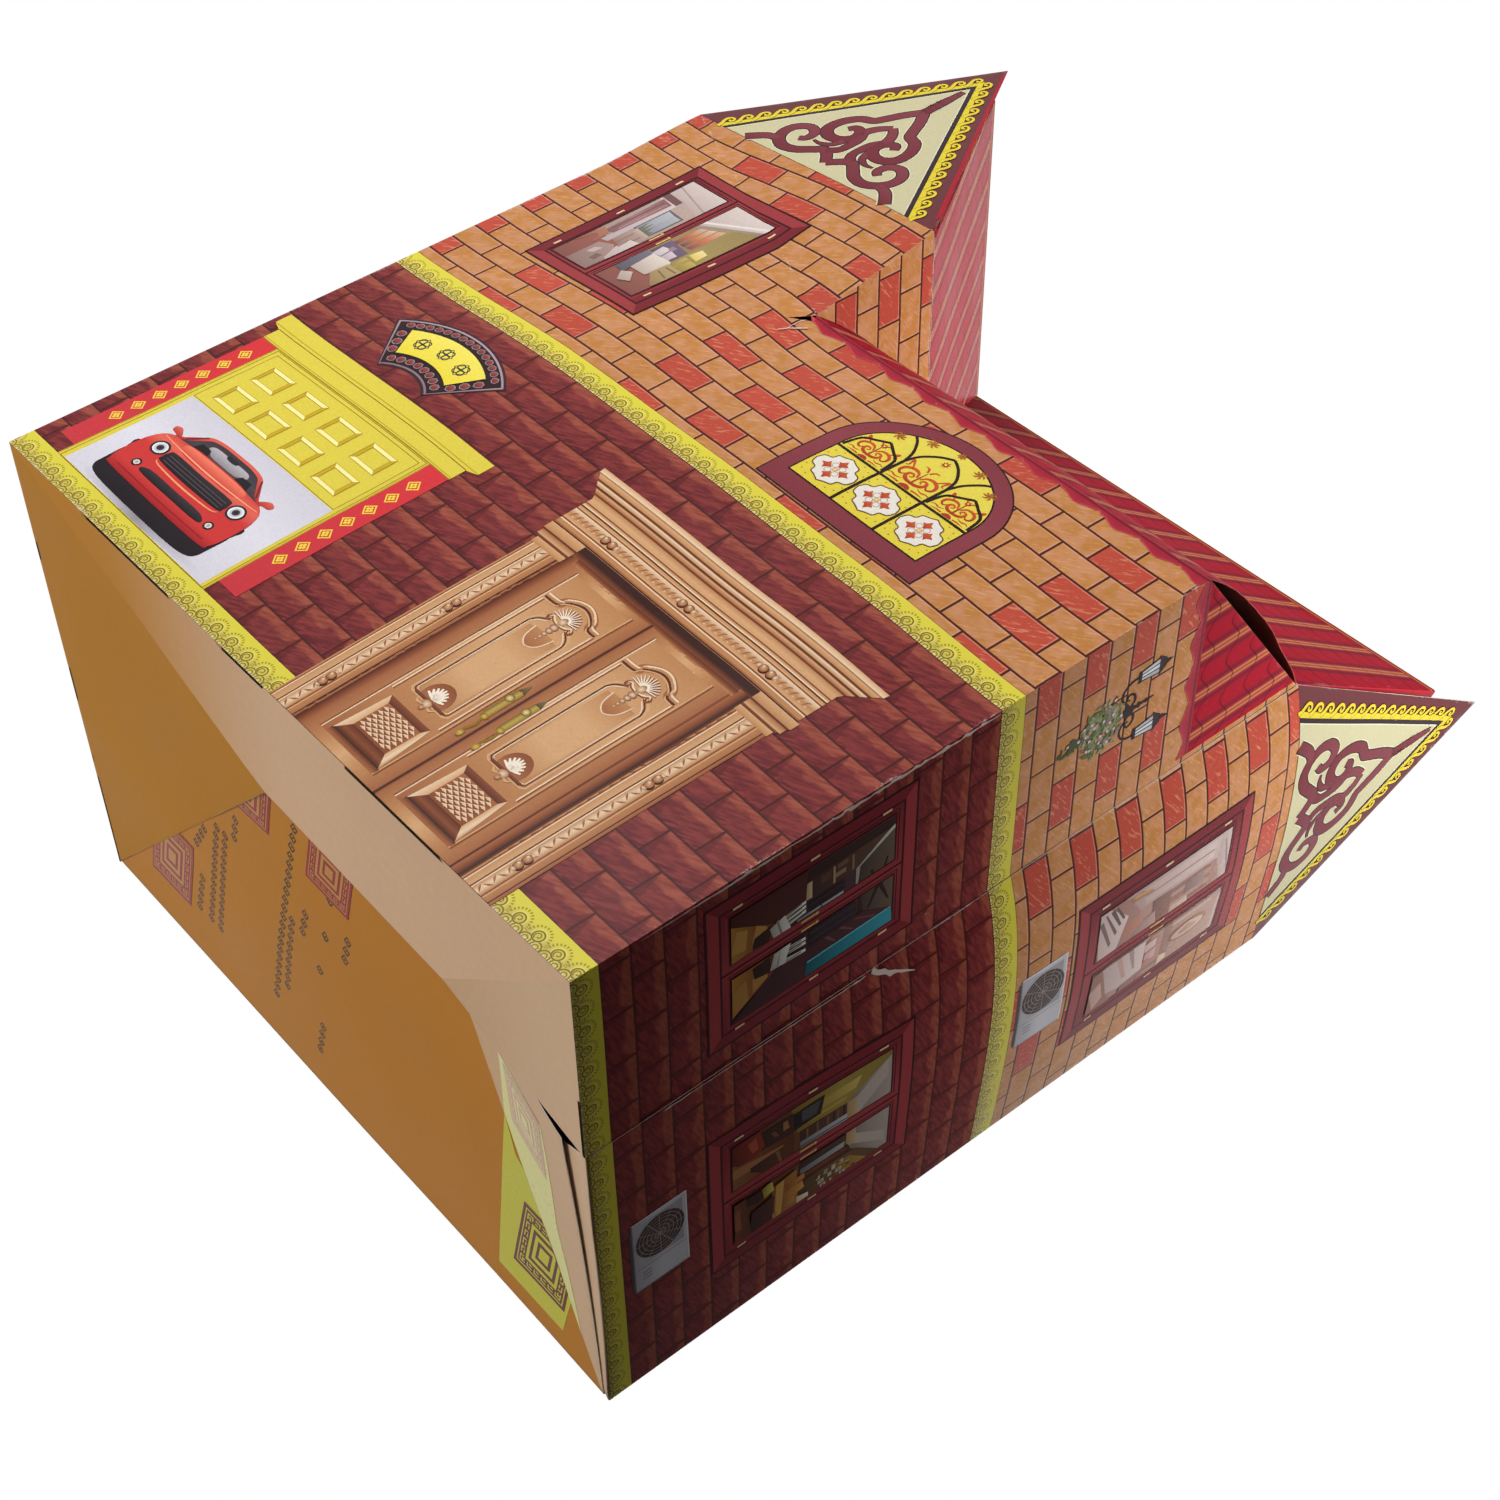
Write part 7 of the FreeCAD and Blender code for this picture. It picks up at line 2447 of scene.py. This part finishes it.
# ---------------------------------------------------------------- the whole house
class PaperHouse:
    """The house: its four sheets and the prints pressed onto them."""

    MATT_PRINTS = ("dining_window", "lounge_window", "right_low_cooler", "right_bare_card_and_highlight")

    def __init__(self) -> None:
        """Reads the sizes and prepares the finishes."""
        self.house = House.from_frame()
        self.effects = Effects()
        finishes = {
            Panel.WALL: PrintedWalls(),
            Panel.GABLE: PlainCard("gable_ground", colour="#5c1a20", roughness=0.32, wear=0.3, fibre=0.03),
            Panel.TILE: PrintedTiles(),
            Panel.BACK_FLAP: GoldenCard("golden_back_flap", start="#c4843a", end="#c08034"),
            Panel.LEFT_FLAP: GoldenCard("golden_left_flap", start="#bc802c", end="#b87c2c"),
            # The front flap's and the free corner's pale tan is painted reflection of the glossy film.
            Panel.FRONT_FLAP: GoldenCard("golden_front_flap_painted_sheen", start="#c2842e", end="#dcb592", span=(60, 215)),
            Panel.FREE_FLAP: GoldenCard("pale_free_flap_painted_sheen", start="#cfa983", end="#d8b694", span=(300, 380)),
            Panel.FLANGE: PlainCard("red_flange", colour="#b41a2a", roughness=0.3, wear=0.12,
                                    sheen_level=0.06, fibre=0.02),
            Panel.MATT_WALL: PrintedWalls("matt_walls", roughness=0.42, sheen_level=0.008),
            # Darker, matt tiles for the slopes that face the front: the darkening is painted shade.
            Panel.MATT_TILE: PrintedTiles("matt_shaded_roof", roughness=0.4, sheen_level=0.002, depth=0.76),
            Panel.RED_INNER: PlainCard("red_inner_card", colour="#c0443c", roughness=0.5),
            Panel.INNER: PlainCard("inner_card", colour="#cfc6bd", roughness=0.75)}
        self.materials = [finishes[kind].make(self.effects) for kind in Panel]
        self.drawn = DrawnPrint().make(self.effects)
        self.matt_drawn = DrawnPrint("matt_drawn_print", roughness=0.42, sheen_level=0.01).make(self.effects)

    def panel(self, sheet: CardSheet, middle: Vector, normal: Vector) -> Panel:
        """Tells the kind of a panel.

        Args:
            sheet: The sheet that the panel belongs to.
            middle: The panel's middle, in millimetres from the house's corner.
            normal: Direction in which it faces.

        Returns:
            Its kind, which gives its material.
        """
        house = self.house
        if "roof" in sheet.node:
            if normal.z < 0.3:
                return Panel.FLANGE
            # Roof slopes that face the front take the darker tiles: painted shade.
            return Panel.MATT_TILE if normal.y < -0.3 else Panel.TILE
        if normal.z < -0.6:
            scores = BOTTOM_SCORES[sheet.node]
            if "back" in sheet.node:
                return Panel.FREE_FLAP if right_of(scores[0], middle) or middle.z > 3 else Panel.BACK_FLAP
            if middle.x < scores[0][1][0] and not right_of(scores[0], middle):
                return Panel.LEFT_FLAP
            return Panel.FRONT_FLAP if right_of(scores[1], middle) else Panel.FREE_FLAP
        # The lean-to roof takes the darker tiles too: painted shade.
        if normal.z > 0.2 and middle.z > house.eave - 1 and middle.x > house.block_width + 1:
            return Panel.MATT_TILE
        if normal.x > 0.7 and middle.z < PrintedWalls.storey:
            return Panel.MATT_WALL
        if normal.x > 0.9 and sheet.is_cheek(middle):
            return Panel.TILE
        return Panel.GABLE if middle.z > house.wall_top else Panel.WALL

    def build(self) -> None:
        """Builds every piece of the house."""
        insides = {"front_wall_sheet": (81.5, 49.0, 154.5), "back_wall_sheet": (195.0, 179.0, 189.0),
                   "main_roof_sheet": (195.0, 179.0, 378.0), "cross_roof_sheet": (81.5, 89.5, 378.0)}
        self.sheets = {}
        for node, inside in insides.items():
            sheet = CardSheet(self.house, node, inside, self.materials, self.panel)
            sheet.build()
            self.sheets[node] = sheet
        self.dress()

    def dress(self) -> None:
        """Presses every drawn picture onto the card."""
        walls = [self.sheets["front_wall_sheet"], self.sheets["back_wall_sheet"]]
        house = self.house
        front, right, left = Side.FRONT, Side.RIGHT, Side.LEFT
        casements = (
            ("bedroom_window", CasementWindow(Room.BEDROOM, 80.0, 103.0, (0.107, 0.414, 0.504, 0.833),
                                              (0.094, 0.896)), front, (34.0, 246.5)),
            ("dining_window", CasementWindow(Room.DINING, 79.6, 101.0, (0.141, 0.446, 0.554, 0.866)), right,
             (7.6, 57.4)),
            ("lounge_window", CasementWindow(Room.LOUNGE, 86.0, 103.0, (0.139, 0.458, 0.569, 0.861)), right,
             (136.5, 54.6)),
            ("kitchen_window", CasementWindow(Room.KITCHEN, 90.3, 105.0, (0.135, 0.462, 0.563, 0.872),
                                              (0.124, 0.876)), right, (136.4, 245.2)),
            ("left_lounge_window", CasementWindow(Room.LOUNGE, 83.0, 102.0), left, (25.0, 58.0)),
            ("left_dining_window", CasementWindow(Room.DINING, 84.0, 102.0), left, (160.0, 58.0)),
            ("left_kitchen_window", CasementWindow(Room.KITCHEN, 83.0, 104.0), left, (25.0, 248.0)),
            ("left_bedroom_window", CasementWindow(Room.BEDROOM, 84.0, 104.0), left, (160.0, 248.0)))
        side_gable = GableOrnament(house.depth - house.front_depth)
        gable_foot = (house.front_depth, house.wall_top)
        others = (
            ("carved_door", CarvedDoor(), front, (3.3, 0.0)), ("garage", Garage(), front, (0.0, 0.0)),
            ("fan_sign", FanSign(), front, (0.0, 0.0)), ("arched_window", ArchedWindow(), front, (4.8, -4.3)),
            ("right_low_cooler", CoolingUnit(44.0, 27.0), right, (155.4, 17.2)),
            ("right_high_cooler", CoolingUnit(44.5, 26.0), right, (157.4, 214.4)),
            ("left_low_cooler", CoolingUnit(43.0), left, (114.0, 17.7)),
            ("left_high_cooler", CoolingUnit(43.0), left, (114.0, 215.0)),
            ("right_lanterns", WallLanterns(), right, (45.7, 268.6)),
            ("left_high_lanterns", WallLanterns(), left, (137.0, 306.0)),
            ("left_low_lanterns", WallLanterns(), left, (131.0, 112.0)),
            ("front_eave", EaveScallops(house.width - house.block_width), front, (house.block_width, 308.0)),
            ("right_eave", EaveScallops(97.0, 6.3, 21.8), right, (-1.3, 309.4)),
            ("right_bare_card_and_highlight", BareCard((
                # Along the front right fold: worn card and a painted highlight of the rounded fold.
                (((1.0, 30), (0.7, 200)), (0.1, 0.7, 1.3, 0.6, 1.5, 1.1, 1.4, 0.5)),
                (((98.4, 137.6), (103.4, 144.4), (107.6, 151.6), (112.2, 160)), (2.8, 2.0, 1.0, 0.2)),
                (((98.9, 36), (98.6, 136)), (0.7, 0.3, 0.4, 0.3, 0.6)))), right, (0.0, 0.0)),
            ("front_bare_card_and_highlight", BareCard((
                (((162.4, 293), (165.5, 296.8), (168.5, 301.5)), (0.5, 0.9, 0.3)),
                # The curled edge of the torn strip: painted highlight.
                (((160.6, 289), (162.4, 293), (161.8, 299), (163, 306)), (0.7, 0.5, 0.3, 0.3)))),
             front, (0.0, 0.0)),
            ("front_gable", GableOrnament(house.block_width, verge="#a3202f"), front, (0.0, house.wall_top)),
            ("right_gable", side_gable, right, gable_foot), ("left_gable", side_gable, left, gable_foot))
        for name, picture, side, origin in (*casements, *others):
            sheet = Print(name, side, origin, 2.5 if isinstance(picture, CasementWindow) else 5.0)
            picture.draw(sheet)
            sheet.press(walls, self.matt_drawn if name in self.MATT_PRINTS else self.drawn)
        self.dress_bottom()

    def dress_bottom(self) -> None:
        """Presses seals, label and columns of lozenges onto the back flap, each cut at its edge."""
        edge, beyond = (88.0, 160.0), (-190.0, -183.0)
        crease, end = BOTTOM_SCORES["back_wall_sheet"][0]
        free = (end[1] - crease[1], crease[0] - end[0])
        seals = [Seal(corners) for corners in (((42, 228.6), (77, 227.6), (96, 173), (61, 172)),
                                               ((139, 103), (175, 102), (185, 68), (149, 69)),
                                               ((200.6, 105.4), (229, 109.6), (240, 72), (211, 68)))]
        columns = LozengeColumns((
            ((86, 222), (98, 190)), ((99, 168), (112, 148)), ((96, 222), (127, 134)),
            ((104, 222), (133, 136)), ((141, 132), (147, 114)), ((151, 225), (199, 76)),
            ((164, 208), (182, 148)), ((189, 151), (196, 130)), ((185, 232), (192, 210)),
            ((199, 167), (200, 163)), ((208, 139), (209, 134)), ((216, 111), (217, 107)),
            ((221, 142), (227, 122))))
        label = Label(((316, 245.6), (360, 245), (374, 190), (336, 154), (330, 134)),
                      Seal(((327.6, 230.6), (362, 229.6), (372, 181), (339, 180.4)), "#5e0c08", "#c4bd1c"))
        # The label's part on the free corner is drawn in paler inks: painted reflection, as on that flap's
        # card.
        pale = Label(((374, 234), (330, 134), (332, 94), (359, 111), (362, 174)),
                     Seal(((336, 132), (358, 146), (358, 110), (334.4, 98)), "#cfa08c", "#dcd596"), "#ddd78c")
        kept = (("seals", seals, edge, beyond), ("lozenges", (columns,), edge, beyond),
                ("label", (label,), crease, free), ("free_label_painted_sheen", (pale,), crease, (-free[0], -free[1])))
        for name, pictures, place, direction in kept:
            sheet = Print(f"bottom_{name}", Side.BOTTOM)
            for picture in pictures:
                picture.draw(sheet)
            sheet.trim(place, direction)
            sheet.press([self.sheets["back_wall_sheet"]], self.drawn)


def main() -> None:
    """Builds the house and the studio."""
    logging.basicConfig(level=logging.INFO, format="%(name)s %(message)s")
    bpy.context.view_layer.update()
    house = PaperHouse()
    house.build()
    Studio(house.house).build()
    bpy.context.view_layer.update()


if __name__ == "__main__":
    main()
